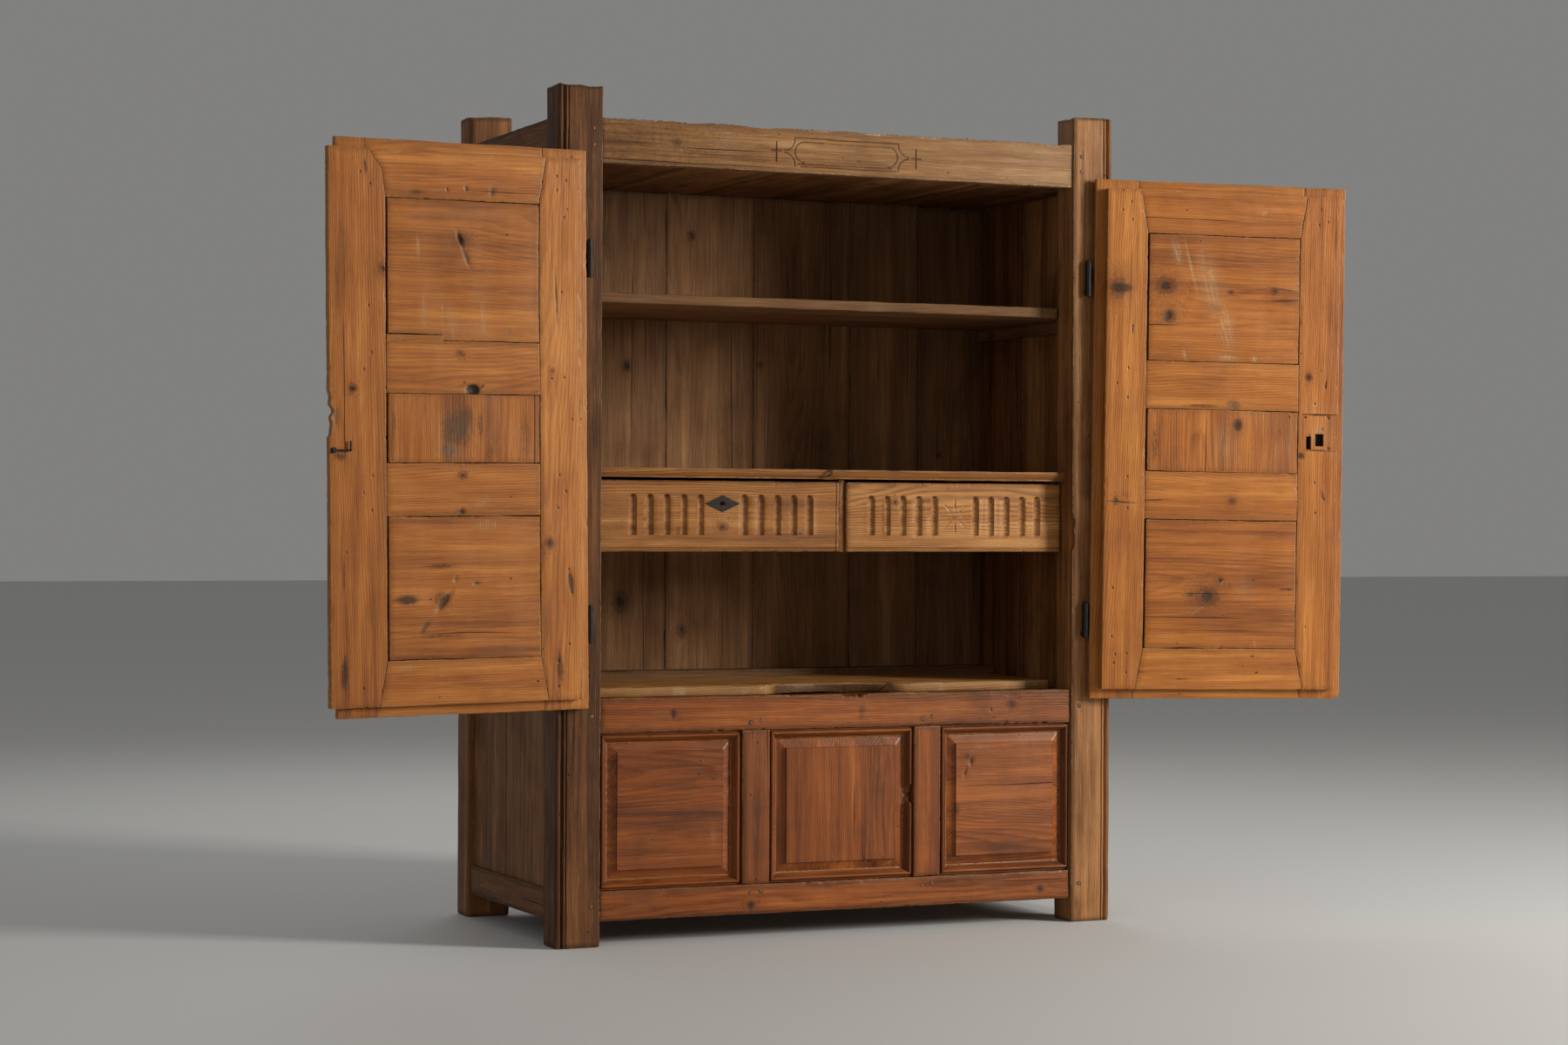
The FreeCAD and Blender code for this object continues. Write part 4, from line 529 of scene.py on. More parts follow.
def old_pine(
    name, colours, tint, wax=0.3, rings=270.0, lines=0.42, patina=1.0, rough=0.6, cracks=0.5, fibres=1.0,
    holes=0.14, rubbed=0.6,
):
    """Aged pine: growth rings that flow round knots, fibres, cracks, worm holes, grime and rubbed edges, with the
    marks' stains and painted shade.
    """
    light, middle, deep, knot, grime, worn, scuff = [tinted(colour, tint) for colour in colours]
    made = Finish(name)
    place, seed = made.attribute("place"), made.attribute("seed")
    summed = made.node("ShaderNodeVectorMath", {"operation": "ADD"}, s0=place, s1=seed)
    along, across, deep_in = made.split(summed)
    own = made.split(place)
    gaps = made.split(made.attribute("rim"))
    seeds = made.split(seed)
    tones = made.split(made.attribute("tone"))
    painted, scraped, lean = made.split(made.attribute("paint"))

    # How near the surface point is to the member's closest edge
    low = gaps[0].maths("MINIMUM", gaps[1])
    high = gaps[0].maths("MAXIMUM", gaps[1])
    edge = low.maths("MAXIMUM", high.maths("MINIMUM", gaps[2]))

    # Broad and fine unevenness that several parts share
    blotch = made.noise(summed, 7.0, 3.0, 0.6)
    mottle = made.noise(summed, 130.0, 2.0, 0.6)
    sway = made.noise(made.join(along * 1.6, across * 9.0, deep_in * 9.0), 1.0, 2.0)
    bands = made.noise(made.join(along * 1.2, across * 19.0, deep_in * 19.0), 1.0, 2.0)
    streak = made.noise(made.join(along * 3.0, across * 70.0, deep_in * 70.0), 1.0, 3.0, 0.65)
    grain = made.noise(made.join(along * 12.0, across * 260.0, deep_in * 260.0), 1.0, 3.0, 0.7)
    speck = made.noise(made.join(along * 95.0, across * 520.0, deep_in * 520.0), 1.0, 2.0, 0.65)

    # Knots, with the rings pushed aside round them
    spot, bark, halo, knot_ring = 0.0, 0.0, 0.0, 0.0
    for item in ("knot_a", "knot_b", "knot_c"):
        k_along, k_across, radius = made.split(made.attribute(item))
        here = made.smooth(radius, 0.0005, 0.001)
        size = radius.maths("MAXIMUM", 0.001)
        d_along = (own[0] - k_along) * 0.78 / size
        d_across = (own[1] - k_across) / size
        away = (d_along * d_along + d_across * d_across) ** 0.5 + mottle * 1.2 + streak * 0.9 + blotch * 0.6
        spot = spot + (1.0 - made.smooth(away, 0.3, 0.95)) * here
        bark = bark + (1.0 - made.smooth((away - 1.0).maths("ABSOLUTE"), 0.0, 0.4)) * here
        halo = halo + (1.0 - made.smooth(away * 0.34, 0.1, 1.0)) * here * (size * 60.0)
        knot_ring = knot_ring + ((away * 2.7).maths("FRACT") - 0.5).maths("ABSOLUTE") * here

    # Growth rings, seen where the board cuts the log
    heart_across = own[1] - seeds[0].maths("SINE") * 0.15
    heart_deep = own[2] + 0.035 + seeds[1].maths("SINE").maths("ABSOLUTE") * 0.1
    distance = (heart_across * heart_across + heart_deep * heart_deep) ** 0.5
    tilt = own[0] * seeds[2].maths("SINE") * 0.022
    ring = (distance + tilt + sway * 0.034 + streak * 0.0026 + mottle * 0.0008 - halo * 0.03) * rings
    phase = ring.maths("FRACT")
    late = made.smooth(phase, 0.25, 0.85) * (1.0 - made.smooth(phase, 0.87, 1.0))

    # Long cracks along the grain, one at most in each narrow lane
    lane = across * 34.0 + deep_in * 34.0 + sway * 0.9
    number = lane.maths("FLOOR")
    chance = made.node("ShaderNodeTexWhiteNoise", {"noise_dimensions": "1D"}, W=number)
    line = (lane.maths("FRACT") - chance * 0.6 - 0.2).maths("ABSOLUTE")
    reach = made.noise(made.join(along * 2.4, number * 7.3, 0.0), 1.0, 1.0)
    open_share = made.smooth(reach + chance * 0.2, 0.26 - cracks * 0.1, 0.34)
    crack = (1.0 - made.smooth(line + grain * 0.03, 0.012, 0.045)) * open_share

    # Short open splits in weathered fibres
    split = made.noise(made.join(along * 26.0, across * 330.0, deep_in * 330.0), 1.0, 2.0, 0.5)
    split = made.smooth(split + blotch * 0.25 + streak * 0.2, 0.3, 0.4) * cracks

    # Worm holes and dents
    pit_node = made.tree.nodes.new("ShaderNodeTexVoronoi")
    plug(made.tree, pit_node.inputs["Vector"], made.join(along * 0.6, across, deep_in))
    pit_node.inputs["Scale"].default_value = 46.0
    pit_away = Socket(made.tree, pit_node.outputs["Distance"])
    pit_chance = made.split(Socket(made.tree, pit_node.outputs["Color"]))
    pit_edge = 0.07 + pit_chance[1] * 0.06 + mottle * 0.04
    pit = 1.0 - made.smooth(pit_away, 0.03, pit_edge)
    pit = pit * made.smooth(pit_chance[0], 1.0 - holes, 1.02 - holes)

    # Scrapes run along the lean of their mark
    aside = own[0] * lean.maths("COSINE") - own[1] * lean.maths("SINE")
    followed = own[0] * lean.maths("SINE") + own[1] * lean.maths("COSINE")
    brushed = made.noise(made.join(aside * 330.0, followed * 13.0, 0.0), 1.0, 3.0, 0.75)
    scrape = made.smooth(brushed + scraped * 0.2 + mottle * 0.2 - late * 0.06, 0.1, 0.42)
    scrape = scrape * made.smooth(scraped, 0.02, 0.6)
    # The dark paint holds real stains and painted shade alike; past 1 it turns to painted black shade for holes
    # and gaps.
    stain = made.smooth(painted + mottle * 0.5 + streak * 0.35, 0.14, 0.78)
    black_shade = made.smooth(painted + mottle * 0.2, 0.95, 1.05)

    # Colour
    warmth = bands * 0.85 + streak * 0.75 + blotch * 0.3 + tones[0] * 0.15
    colour = made.blend(made.smooth(warmth, -0.34, 0.04), light, middle)
    colour = made.blend(made.smooth(warmth, -0.02, 0.36), colour, deep)
    shown = (lines + streak * 0.7 + bands * 0.6).maths("MAXIMUM", 0.0)
    colour = made.blend(late * shown * (1.0 - spot), colour, dark_of(deep, 0.62))
    colour = made.blend(made.smooth(grain, 0.0, 0.3) * (0.5 * fibres), colour, dark_of(deep, 0.5))
    colour = made.blend(made.smooth(grain * -1.0, 0.04, 0.34) * (0.34 * fibres), colour, worn)
    colour = made.blend(made.smooth(speck, 0.1, 0.34) * (0.55 * fibres), colour, dark_of(deep, 0.4))
    colour = made.blend(halo * 0.55, colour, dark_of(deep, 0.7))
    colour = made.blend(bark * 0.55, colour, dark_of(deep, 0.4))
    colour = made.blend(spot * (0.5 + knot_ring * 0.8), colour, knot)
    colour = made.blend(made.smooth(blotch + sway * 0.5, 0.04, 0.36) * (0.55 * patina), colour, grime)
    dirt = (1.0 - made.smooth(edge + blotch * 0.02 + streak * 0.008, 0.001, 0.014)) * (0.6 * patina)
    colour = made.blend(dirt, colour, grime)
    rub = (1.0 - made.smooth(edge + streak * 0.006 + blotch * 0.009 + mottle * 0.003, 0.0004, 0.003)) * rubbed
    rub = rub * made.smooth(mottle + blotch + streak, -0.25, 0.2)
    colour = made.blend(rub, colour, worn)
    colour = made.blend(stain * 0.9, colour, dark_of(knot, 0.8))
    colour = made.blend(scraped * 0.2, colour, dark_of(scuff, 0.55))
    colour = made.blend(scrape * (scraped * 0.3 + 0.3), colour, scuff)
    # Painted black shade in holes and gaps.
    colour = made.blend(black_shade, colour, (0.004, 0.003, 0.002))
    colour = made.blend((crack * 0.9).maths("MAXIMUM", split * 0.8), colour, dark_of(knot, 0.3))
    colour = made.blend(pit * 0.85, colour, dark_of(knot, 0.35))

    height = late * 0.25 + grain * 0.55 + streak * 0.3 + speck * 0.3 + spot * 0.2 + mottle * 0.12
    height = height - crack * 1.8 - split * 1.2 - pit * 1.8 - scrape * 0.4 - stain * 0.25
    bump = made.node("ShaderNodeBump", Strength=0.6, Distance=0.0012, Height=height)
    gloss = rough + blotch * 0.3 + grain * 0.3 - late * 0.08 + crack * 0.3 + scrape * 0.15
    gloss = gloss + dirt * 0.12 + spot * 0.1
    cover = (1.0 - dirt) * (1.0 - crack) * (1.0 - black_shade)
    cover = cover * (1.0 - spot.maths("MINIMUM", 1.0) * 0.7) * (1.0 - scrape * 0.6)
    return made.surface(
        Base_Color=colour, Roughness=gloss.maths("MINIMUM", 0.95), Normal=bump, Coat_Weight=wax * cover,
        Coat_Roughness=0.3, Coat_Tint=(1.0, 0.88, 0.72), Specular_IOR_Level=0.3,
        Specular_Tint=(1.0, 0.82, 0.62),
    )


def dark_of(colour, share):
    """A darker shade of a colour."""
    return tuple(level * share for level in colour[:3])


def forged_iron(name, tint):
    """Blackened, hand-forged iron with hammer marks and a little rust."""
    made = Finish(name)
    where = made.node("ShaderNodeTexCoord", outlet="Object")
    dent = made.node("ShaderNodeTexVoronoi", {"feature": "SMOOTH_F1"}, Vector=where, Scale=130.0)
    grit = made.noise(where, 420.0, 3.0)
    rust = made.smooth(made.noise(where, 60.0, 4.0, 0.65), 0.08, 0.26)
    colour = made.blend(made.smooth(grit, -0.2, 0.3), tinted((30, 27, 25), tint), tinted((52, 48, 45), tint))
    colour = made.blend(rust * 0.7, colour, tinted((86, 48, 28), tint))
    height = dent * 0.8 + grit * 0.25
    bump = made.node("ShaderNodeBump", Strength=0.5, Distance=0.0008, Height=height)
    return made.surface(
        Base_Color=colour, Metallic=0.75 - rust * 0.6, Roughness=0.5 + grit * 0.25 + rust * 0.3, Normal=bump,
    )


WOODS = {}


def peg_finish():
    """The pegs' end grain, darker in the ring round each: dirt and painted shadow."""
    made = Finish("peg_end_grain")
    where = made.node("ShaderNodeTexCoord", outlet="Object")
    out = made.node("ShaderNodeAttribute", {"attribute_name": "from_middle"}, outlet="Fac")
    grit = made.noise(where, 900.0, 3.0, 0.7)
    patch = made.noise(where, 60.0, 2.0)
    colour = made.blend(made.smooth(grit + patch * 0.6, -0.25, 0.3), srgb(128, 84, 50), srgb(70, 42, 26))
    # The dark ring at the rim and collar is dirt and painted shadow.
    colour = made.blend(made.smooth(out + grit * 0.3, 0.72, 1.02), colour, srgb(34, 21, 15))
    bump = made.node("ShaderNodeBump", Strength=0.5, Distance=0.0006, Height=grit)
    return made.surface(Base_Color=colour, Roughness=0.68 + grit * 0.2, Normal=bump)


# Each wood's finish, its colours (light, middle, deep, knot, grime, worn, scuffed) and its other looks
WOOD_LOOKS = {
    "post_wood": (
        "post_pine",
        (
            (166, 116, 70), (122, 76, 40), (72, 40, 20), (38, 21, 12), (54, 32, 18), (188, 146, 102),
            (184, 156, 124),
        ),
        {"wax": 0.06, "rough": 0.66, "cracks": 1.0, "fibres": 1.3, "holes": 0.3, "lines": 0.3},
    ),
    "front_wood": (
        "chest_pine",
        (
            (168, 95, 38), (130, 66, 23), (84, 38, 12), (42, 20, 9), (54, 27, 12), (196, 140, 82),
            (206, 168, 122),
        ),
        {"wax": 0.24, "patina": 0.9, "rough": 0.45, "cracks": 0.35, "fibres": 0.9, "lines": 0.4},
    ),
    "top_rail": (
        "weathered_rail_pine",
        (
            (176, 134, 90), (144, 100, 58), (98, 62, 33), (56, 29, 14), (80, 55, 36), (202, 174, 142),
            (208, 188, 162),
        ),
        {"wax": 0.02, "patina": 0.7, "rough": 0.68, "cracks": 0.8, "fibres": 1.4, "holes": 0.4, "lines": 0.3},
    ),
    "door_wood": (
        "door_pine",
        (
            (194, 126, 56), (164, 96, 36), (120, 62, 22), (56, 29, 14), (100, 62, 32), (206, 156, 96),
            (198, 170, 130),
        ),
        {"wax": 0.14, "patina": 0.5, "rough": 0.55, "cracks": 0.14, "lines": 0.36, "rubbed": 0.4},
    ),
    "drawer_wood": (
        "drawer_pine",
        (
            (190, 136, 76), (158, 102, 48), (112, 64, 28), (56, 29, 14), (84, 52, 28), (208, 162, 106),
            (206, 176, 134),
        ),
        {
            "wax": 0.12, "patina": 0.6, "rough": 0.57, "cracks": 0.1, "lines": 0.66, "rings": 300.0,
            "rubbed": 0.5,
        },
    ),
    "interior_wood": (
        "inner_pine",
        (
            (154, 112, 72), (124, 85, 52), (92, 60, 35), (40, 26, 17), (64, 45, 30), (180, 142, 100),
            (176, 154, 126),
        ),
        {"wax": 0.0, "patina": 0.8, "rough": 0.7, "cracks": 0.4, "lines": 0.4, "rubbed": 0.5},
    ),
}


def make_finishes():
    """The cupboard's own finishes, most of them by the record's slot names."""
    tints = bpy.context.scene.wood_tints
    for slot, (name, colours, looks) in WOOD_LOOKS.items():
        WOODS[slot] = old_pine(name, colours, getattr(tints, slot), **looks)
    WOODS["iron"] = forged_iron("forged_iron", tints.iron)
    WOODS["peg"] = peg_finish()


# Property groups


def factor(label, description, low):
    """A factor that leaves things as they are at 1."""
    return bpy.props.FloatProperty(name=label, description=description, default=1.0, min=low, max=2.0)


def length(label, description, default, low, high):
    """A length in metres."""
    return bpy.props.FloatProperty(
        name=label, description=description, default=default, min=low, max=high, unit="LENGTH",
    )


def tint(label):
    """A tint over a finish's own colours, which white leaves as they are."""
    return bpy.props.FloatVectorProperty(
        name=label, description="Tint over the finish's colours", subtype="COLOR", default=(1.0, 1.0, 1.0),
        min=0.0, max=2.0,
    )


class TimberWear(bpy.types.PropertyGroup):
    """How worn the timber is."""

    ease: factor("Edge rounding", "How round the members' edges are", 0.25)
    chips: factor("Chips", "How much the edges are chipped", 0.0)


class WoodTints(bpy.types.PropertyGroup):
    """Colours of the woods and of the iron."""

    post_wood: tint("Posts and case")
    front_wood: tint("Chest front")
    top_rail: tint("Top rail")
    door_wood: tint("Doors")
    drawer_wood: tint("Drawers and lid")
    interior_wood: tint("Inside")
    iron: tint("Iron")


class Fittings(bpy.types.PropertyGroup):
    """Pegs and nails."""

    peg_radius: length("Peg radius", "Radius of the wooden pegs", 0.0046, 0.003, 0.008)
    nail_radius: length("Nail radius", "Radius of the forged nail heads", 0.0045, 0.002, 0.008)
    peg_proud: length("Peg height", "How far the pegs stand out", 0.0009, 0.0, 0.003)


class CUPBOARD_OT_finishes(bpy.types.Operator):
    """Makes the finishes of the wood and the iron"""

    bl_idname = "cupboard.finishes"
    bl_label = "Finishes"

    def execute(self, context):
        make_finishes()
        return {"FINISHED"}


# Pieces of the case


def bead_section(side):
    """A front post's section, with its moulded outer edge."""
    def at(across, deep):
        return (side * (HALF - across), deep)

    points = []
    for step in range(7):
        angle = math.pi * step / 6
        points.append(at(0.0055 - 0.0055 * math.cos(angle), 0.0055 - 0.0055 * math.sin(angle)))
    points += [at(0.0118, 0.0062), at(0.015, 0.0062), at(0.0155, 0.0032)]
    for step in range(1, 6):
        angle = math.pi * step / 6
        points.append(at(0.01825 - 0.00275 * math.cos(angle), 0.00275 - 0.00275 * math.sin(angle)))
    points += [at(0.0209, 0.003), at(0.0213, 0.0042), at(0.0227, 0.0042), at(0.0231, 0.0006), at(0.0245, 0.0)]
    points += [at(v, 0.0) for v in (0.029, 0.048, 0.068, 0.088, 0.0955)]
    points += [at(0.0974, 0.0006), at(0.098, 0.0025)]
    points += [at(0.098, v) for v in (0.008, 0.025, 0.045, 0.065, 0.0755)]
    points += [at(0.0974, 0.0774), at(0.0955, 0.078)]
    points += [at(v, 0.078) for v in (0.09, 0.07, 0.05, 0.03, 0.008, 0.0025)]
    points += [at(0.0006, 0.0774), at(0.0, 0.0755)]
    points += [at(0.0, v) for v in (0.07, 0.05, 0.03, 0.012)]
    if side > 0:
        points = points[::-1]
    return points


def bite(low, high, depth, seed):
    """The depth of an irregular bite along a length: nought outside low to high, up to depth within."""
    ragged = Waves(seed, (high - low) * 0.35, 6)

    def depth_at(along):
        share = np.clip((along - low) / (high - low), 0, 1)
        hump = np.sin(share * math.pi) ** 0.35
        samples = np.stack([along, along * 0, along * 0], axis=-1)
        return depth * hump * np.clip(0.75 + 0.3 * ragged(samples), 0.2, 1.25) * (share > 0) * (share < 1)

    return depth_at


def post_warp(side):
    """Worn tops, and the worn hollow in the right post's inner edge."""
    hollow = bite(0.832, 0.916, 0.007, 21)

    def warp(grid):
        along, across, deep = np.moveaxis(grid, -1, 0)
        tip = np.clip((along - 1.785) / 0.015, 0, 1)
        lump = UNDULATION(grid * 3.0) * 0.0022 * tip
        grid = grid.copy()
        grid[..., 0] = along + lump - tip * 0.0015
        if side > 0:
            inner = np.clip(1 - (across - 0.56) / 0.012, 0, 1) * np.clip(1 - (deep - 0.006) / 0.01, 0, 1)
            grid[..., 1] = across + hollow(along) * inner
        return grid

    return warp


class CUPBOARD_OT_posts(bpy.types.Operator):
    """Makes the four corner posts"""

    bl_idname = "cupboard.posts"
    bl_label = "Posts"

    def execute(self, context):
        for seed, (name, side) in enumerate((("left", -1), ("right", 1))):
            width = sided(side, OPENING, HALF)
            timber = Timber(100 + seed)
            timber.member(
                (0, HEIGHT), width, (0, POST_DEEP), ease=0.0035, step=0.011, section=bead_section(side),
                warp=post_warp(side), wear=1.4, chip=1.3, stations=spread(0.83, 0.918, 0.004),
                tone=1.5 if side < 0 else -1.1,
            )
            timber.finish(f"front_{name}_post", WOODS["post_wood"])
            timber = Timber(110 + seed)
            timber.member(
                (0, HEIGHT), width, (REAR_POST, DEPTH), ease=0.004, step=0.016, wear=1.4, chip=1.5,
                warp=post_warp(-1),
            )
            timber.finish(f"rear_{name}_post", WOODS["post_wood"])
        return {"FINISHED"}


def groove_depth(along, across, lines, half_width, depth):
    """How deep the cut lines are at each point. A line is a list of (along, across) corners."""
    best = np.full(along.shape, 1.0)
    for line in lines:
        for (x0, z0), (x1, z1) in zip(line[:-1], line[1:]):
            dx, dz = x1 - x0, z1 - z0
            share = np.clip(((along - x0) * dx + (across - z0) * dz) / (dx * dx + dz * dz), 0, 1)
            best = np.minimum(best, np.hypot(along - x0 - share * dx, across - z0 - share * dz))
    return depth * np.clip(1 - best / half_width, 0, 1)


def arc(centre, radius, start, end, count=10):
    """Points along an arc, angles in degrees."""
    angles = np.radians(np.linspace(start, end, count))
    return [(centre[0] + radius * math.cos(a), centre[1] + radius * math.sin(a)) for a in angles]


def rail_ornament():
    """The incised frame with scooped ends on the top rail, and the small cross on each side of it."""
    lines = []
    for x, z in ((-0.163, 1.684), (0.17, 1.684)):
        lines.append([(x, z - 0.021), (x, z + 0.021)])
    lines.append([(-0.175, 1.686), (-0.151, 1.685)])
    lines.append([(0.158, 1.685), (0.182, 1.684)])
    left, right, top, bottom = -0.124, 0.13, 1.7155, 1.6535
    lines.append([(left + 0.004, top), (right - 0.006, top - 0.001)])
    lines.append([(left + 0.018, top - 0.009), (right - 0.026, top - 0.01)])
    lines.append([(left + 0.01, bottom + 0.006), (right - 0.02, bottom + 0.006)])
    lines.append([(left + 0.016, bottom), (right - 0.008, bottom + 0.001)])
    middle = (top + bottom) / 2
    lines.append(arc((left + 0.026, middle), 0.022, 85, 275))
    lines.append(arc((right - 0.028, middle), 0.022, -95, 95))
    lines.append(arc((left - 0.022, middle + 0.028), 0.026, -88, 5, 8))
    lines.append(arc((left - 0.022, middle - 0.028), 0.026, -5, 88, 8))
    lines.append(arc((right + 0.022, middle + 0.028), 0.026, 175, 268, 8))
    lines.append(arc((right + 0.022, middle - 0.028), 0.026, 92, 185, 8))
    return lines


BROAD_WEAR = Waves(31, 0.11, 8)
SHARP_NICKS = Waves(33, 0.013, 12)


def only_dark(dark):
    """Dark paint that bares nothing, here used for painted shade."""
    return np.stack([dark, dark * 0], axis=-1)


def top_rail_stain(spots):
    """Darker in the incised lines, painted shade deepening towards the left where the light falls off, and paler,
    greyer fibres towards the right.
    """
    x, y, z = np.moveaxis(spots, -1, 0)
    front = y < 0.009
    cut = groove_depth(x, z, rail_ornament(), 0.0024, 0.75)
    falloff_shade = 0.34 * np.clip(0.25 - x, 0, 0.7) / 0.7
    return np.stack([np.maximum(cut, falloff_shade) * front, 0.55 * np.clip(x + 0.05, 0, 0.5) / 0.5 * front], axis=-1)


def top_rail_warp(grid):
    """Incised ornament on the face and a gnawed upper edge."""
    along, across, deep = np.moveaxis(grid, -1, 0)
    grid = grid.copy()
    face = np.clip(1 - (deep - RAIL_Y[0]) / 0.003, 0, 1)
    cut = groove_depth(along, across, rail_ornament(), 0.0019, 0.002)
    grid[..., 2] = deep + cut * face
    samples = np.stack([along, along * 0, deep], axis=-1)
    ragged = np.clip(BROAD_WEAR(samples) * 0.5 + 0.5, 0, 1) ** 2 * 0.0026
    ragged += np.clip(SHARP_NICKS(samples) - 0.55, 0, 1.2) * 0.0028
    upper = np.clip((across - (TOP_RAIL[1] - 0.012)) / 0.012, 0, 1)
    grid[..., 1] = across - upper * ragged * (1.2 - 0.7 * np.clip((deep - 0.005) / 0.034, 0, 1))
    return grid


def chest_rail_warp(grid):
    """The chip in the chest rail's upper edge, and gentle wear beside it."""
    along, across, deep = np.moveaxis(grid, -1, 0)
    grid = grid.copy()
    chip = bite(-0.002, 0.058, 0.0088, 41)(along)
    upper = np.clip((across - (CHEST_RAIL[1] - 0.014)) / 0.014, 0, 1)
    front = np.clip(1 - (deep - 0.016) / 0.007, 0, 1)
    samples = np.stack([along, along * 0, deep], axis=-1)
    worn = np.clip(Waves(43, 0.2, 6)(samples), 0, 1.5) * 0.0015
    grid[..., 1] = across - upper * (chip * front + worn)
    return grid


TOP_RAIL_MARKS = outer_marks(
    (-0.392, 1.69, 0.03, 0.01, 0.0, 0.0, 0.35), (-0.27, 1.69, 0.07, 0.014, 90.0, 0.0, 0.3, 0.4),
    (0.3, 1.672, 0.11, 0.01, 90.0, 0.0, 0.0, 0.75), (0.44, 1.68, 0.08, 0.018, 90.0, 0.0, 0.0, 0.6),
    (-0.3, 1.712, 0.12, 0.006, 90.0, 0.0, 0.4), (0.1, 1.7, 0.16, 0.012, 90.0, 0.0, 0.0, 0.4),
    (-0.19, 1.733, 0.004, 0.03, 0.0, 0.0, 0.0, 1.2), (-0.06, 1.731, 0.004, 0.05, 0.0, 0.0, 0.0, 0.9),
    (0.07, 1.732, 0.005, 0.04, 0.0, 0.0, 0.0, 1.2), (0.2, 1.731, 0.004, 0.05, 0.0, 0.0, 0.0, 1.0),
    (0.42, 1.728, 0.007, 0.05, 0.0, 0.0, 0.0, 0.8), (-0.48, 1.732, 0.004, 0.06, 0.0, 0.0, 0.0, 0.6),
    (0.03, 1.672, 0.005, 0.012, 0.0, 0.0008, 0.5),
)


class CUPBOARD_OT_front_frame(bpy.types.Operator):
    """Makes the front rails and muntins"""

    bl_idname = "cupboard.front_frame"
    bl_label = "Front rails and muntins"

    def execute(self, context):
        width = (-OPENING, OPENING)
        timber = Timber(200)
        timber.member(
            width, TOP_RAIL, RAIL_Y, axes="xzy", step=0.0034, wide=0.0021, warp=top_rail_warp,
            stations=spread(-0.182, -0.1, 0.0019) + spread(0.1, 0.19, 0.0019), wear=1.0, chip=0.8,
            knots=((-0.392, 1.69, 0.007),), marks=TOP_RAIL_MARKS, stain=top_rail_stain, tone=0.1,
        )
        timber.finish("top_front_rail", WOODS["top_rail"])
        timber = Timber(201)
        timber.member(
            width, CHEST_RAIL, RAIL_Y, axes="xzy", step=0.006, wide=0.008, warp=chest_rail_warp,
            stations=spread(-0.006, 0.062, 0.003), wear=1.3, chip=1.3,
            knots=((-0.394, 0.486, 0.006), (0.412, 0.49, 0.008)), tone=0.1,
            marks=outer_marks(
                (-0.394, 0.484, 0.018, 0.006, 0.0, 0.0, 0.7), (-0.38, 0.48, 0.024, 0.014, 0.0, 0.0, 0.3),
                (0.045, 0.48, 0.03, 0.016, 0.0, 0.0, 0.42), (0.052, 0.492, 0.012, 0.008, 0.0, 0.0, 0.35),
                (0.412, 0.488, 0.024, 0.012, 20.0, 0.0, 0.4), (-0.1, 0.516, 0.003, 0.12, 0.0, 0.0, 0.0, 0.4),
                (0.36, 0.478, 0.005, 0.003, 0.0, 0.0012, 1.0), (0.2, 0.515, 0.006, 0.16, 0.0, 0.0, 0.0, 0.35),
            ),
        )
        timber.finish("chest_top_rail", WOODS["front_wood"])
        timber = Timber(202)
        timber.member(
            width, BOTTOM_RAIL, RAIL_Y, axes="xzy", step=0.005, wide=0.007, wear=1.6, chip=1.5, ease=0.003,
            knots=((-0.215, 0.072, 0.007), (0.485, 0.078, 0.006)), tone=-0.1,
            marks=outer_marks(
                (-0.215, 0.072, 0.02, 0.01, 0.0, 0.0, 0.5), (0.485, 0.078, 0.016, 0.01, 0.0, 0.0, 0.5),
                (0.3, 0.066, 0.006, 0.1, 0.0, 0.0, 0.4),
            ),
        )
        timber.finish("chest_bottom_rail", WOODS["front_wood"])
        rows = [((BOTTOM_RAIL[1], CHEST_RAIL[0]), sided(side, *MUNTIN), RAIL_Y, "zxy") for side in (-1, 1)]
        members(
            "chest_muntins", 203, WOODS["front_wood"], rows, step=0.006, wide=0.008, chip=0.9, tone=0.2,
            knots=(),
        )
        return {"FINISHED"}


def fielded(opening_x, opening_z, tongue, field, bevel, upright, step_height):
    """A warp that raises a panel's front: flat tongue, sloped bevel, then a field with a small step."""
    def warp(grid):
        x = grid[..., 1] if upright else grid[..., 0]
        z = grid[..., 0] if upright else grid[..., 1]
        gap = np.minimum(
            np.minimum(x - opening_x[0], opening_x[1] - x), np.minimum(z - opening_z[0], opening_z[1] - z),
        )
        slope = np.clip((gap - bevel[0]) / (bevel[1] - bevel[0]), 0, 1)
        rise = slope * (tongue - field - step_height) + (gap > bevel[1] + 1e-4) * step_height
        front = np.clip((tongue + 0.002 - grid[..., 2]) / 0.002, 0, 1)
        grid = grid.copy()
        deep = grid[..., 2]
        grid[..., 2] = np.where(front > 0, tongue - rise + (deep - field), deep)
        return grid

    return warp


def panel_marks(low, high, bevel):
    """Where a panel's grid needs lines so that its bevel comes out crisp."""
    marks = []
    for base, way in ((low, 1), (high, -1)):
        marks += [
            base + way * v for v in (
                bevel[0] - 0.001, bevel[0], bevel[1], bevel[1] + 0.0005, bevel[1] + 0.0025,
            )
        ]
        marks += [base + way * (bevel[0] + (bevel[1] - bevel[0]) * share) for share in (0.25, 0.5, 0.75)]
    return marks


def panel(
    timber, x, z, tongue, field, back, bevel, grain, reach=0.003, matrix=None, step_height=0.0016, **looks
):
    """One raised and fielded panel. grain is 'x' or 'z'."""
    upright = grain == "z"
    wide = (x[0] - reach, x[1] + reach)
    tall = (z[0] - reach, z[1] + reach)
    length, width = (tall, wide) if upright else (wide, tall)
    timber.member(
        length, width, (field, back), axes="zxy" if upright else "xzy", ease=0.0012, step=0.006, wide=0.006,
        stations=panel_marks(*((z if upright else x) + (bevel,))),
        across=panel_marks(*((x if upright else z) + (bevel,))),
        warp=fielded(x, z, tongue, field, bevel, upright, step_height), wear=0.8, chip=0.4, matrix=matrix,
        bend=0.8, **looks,
    )


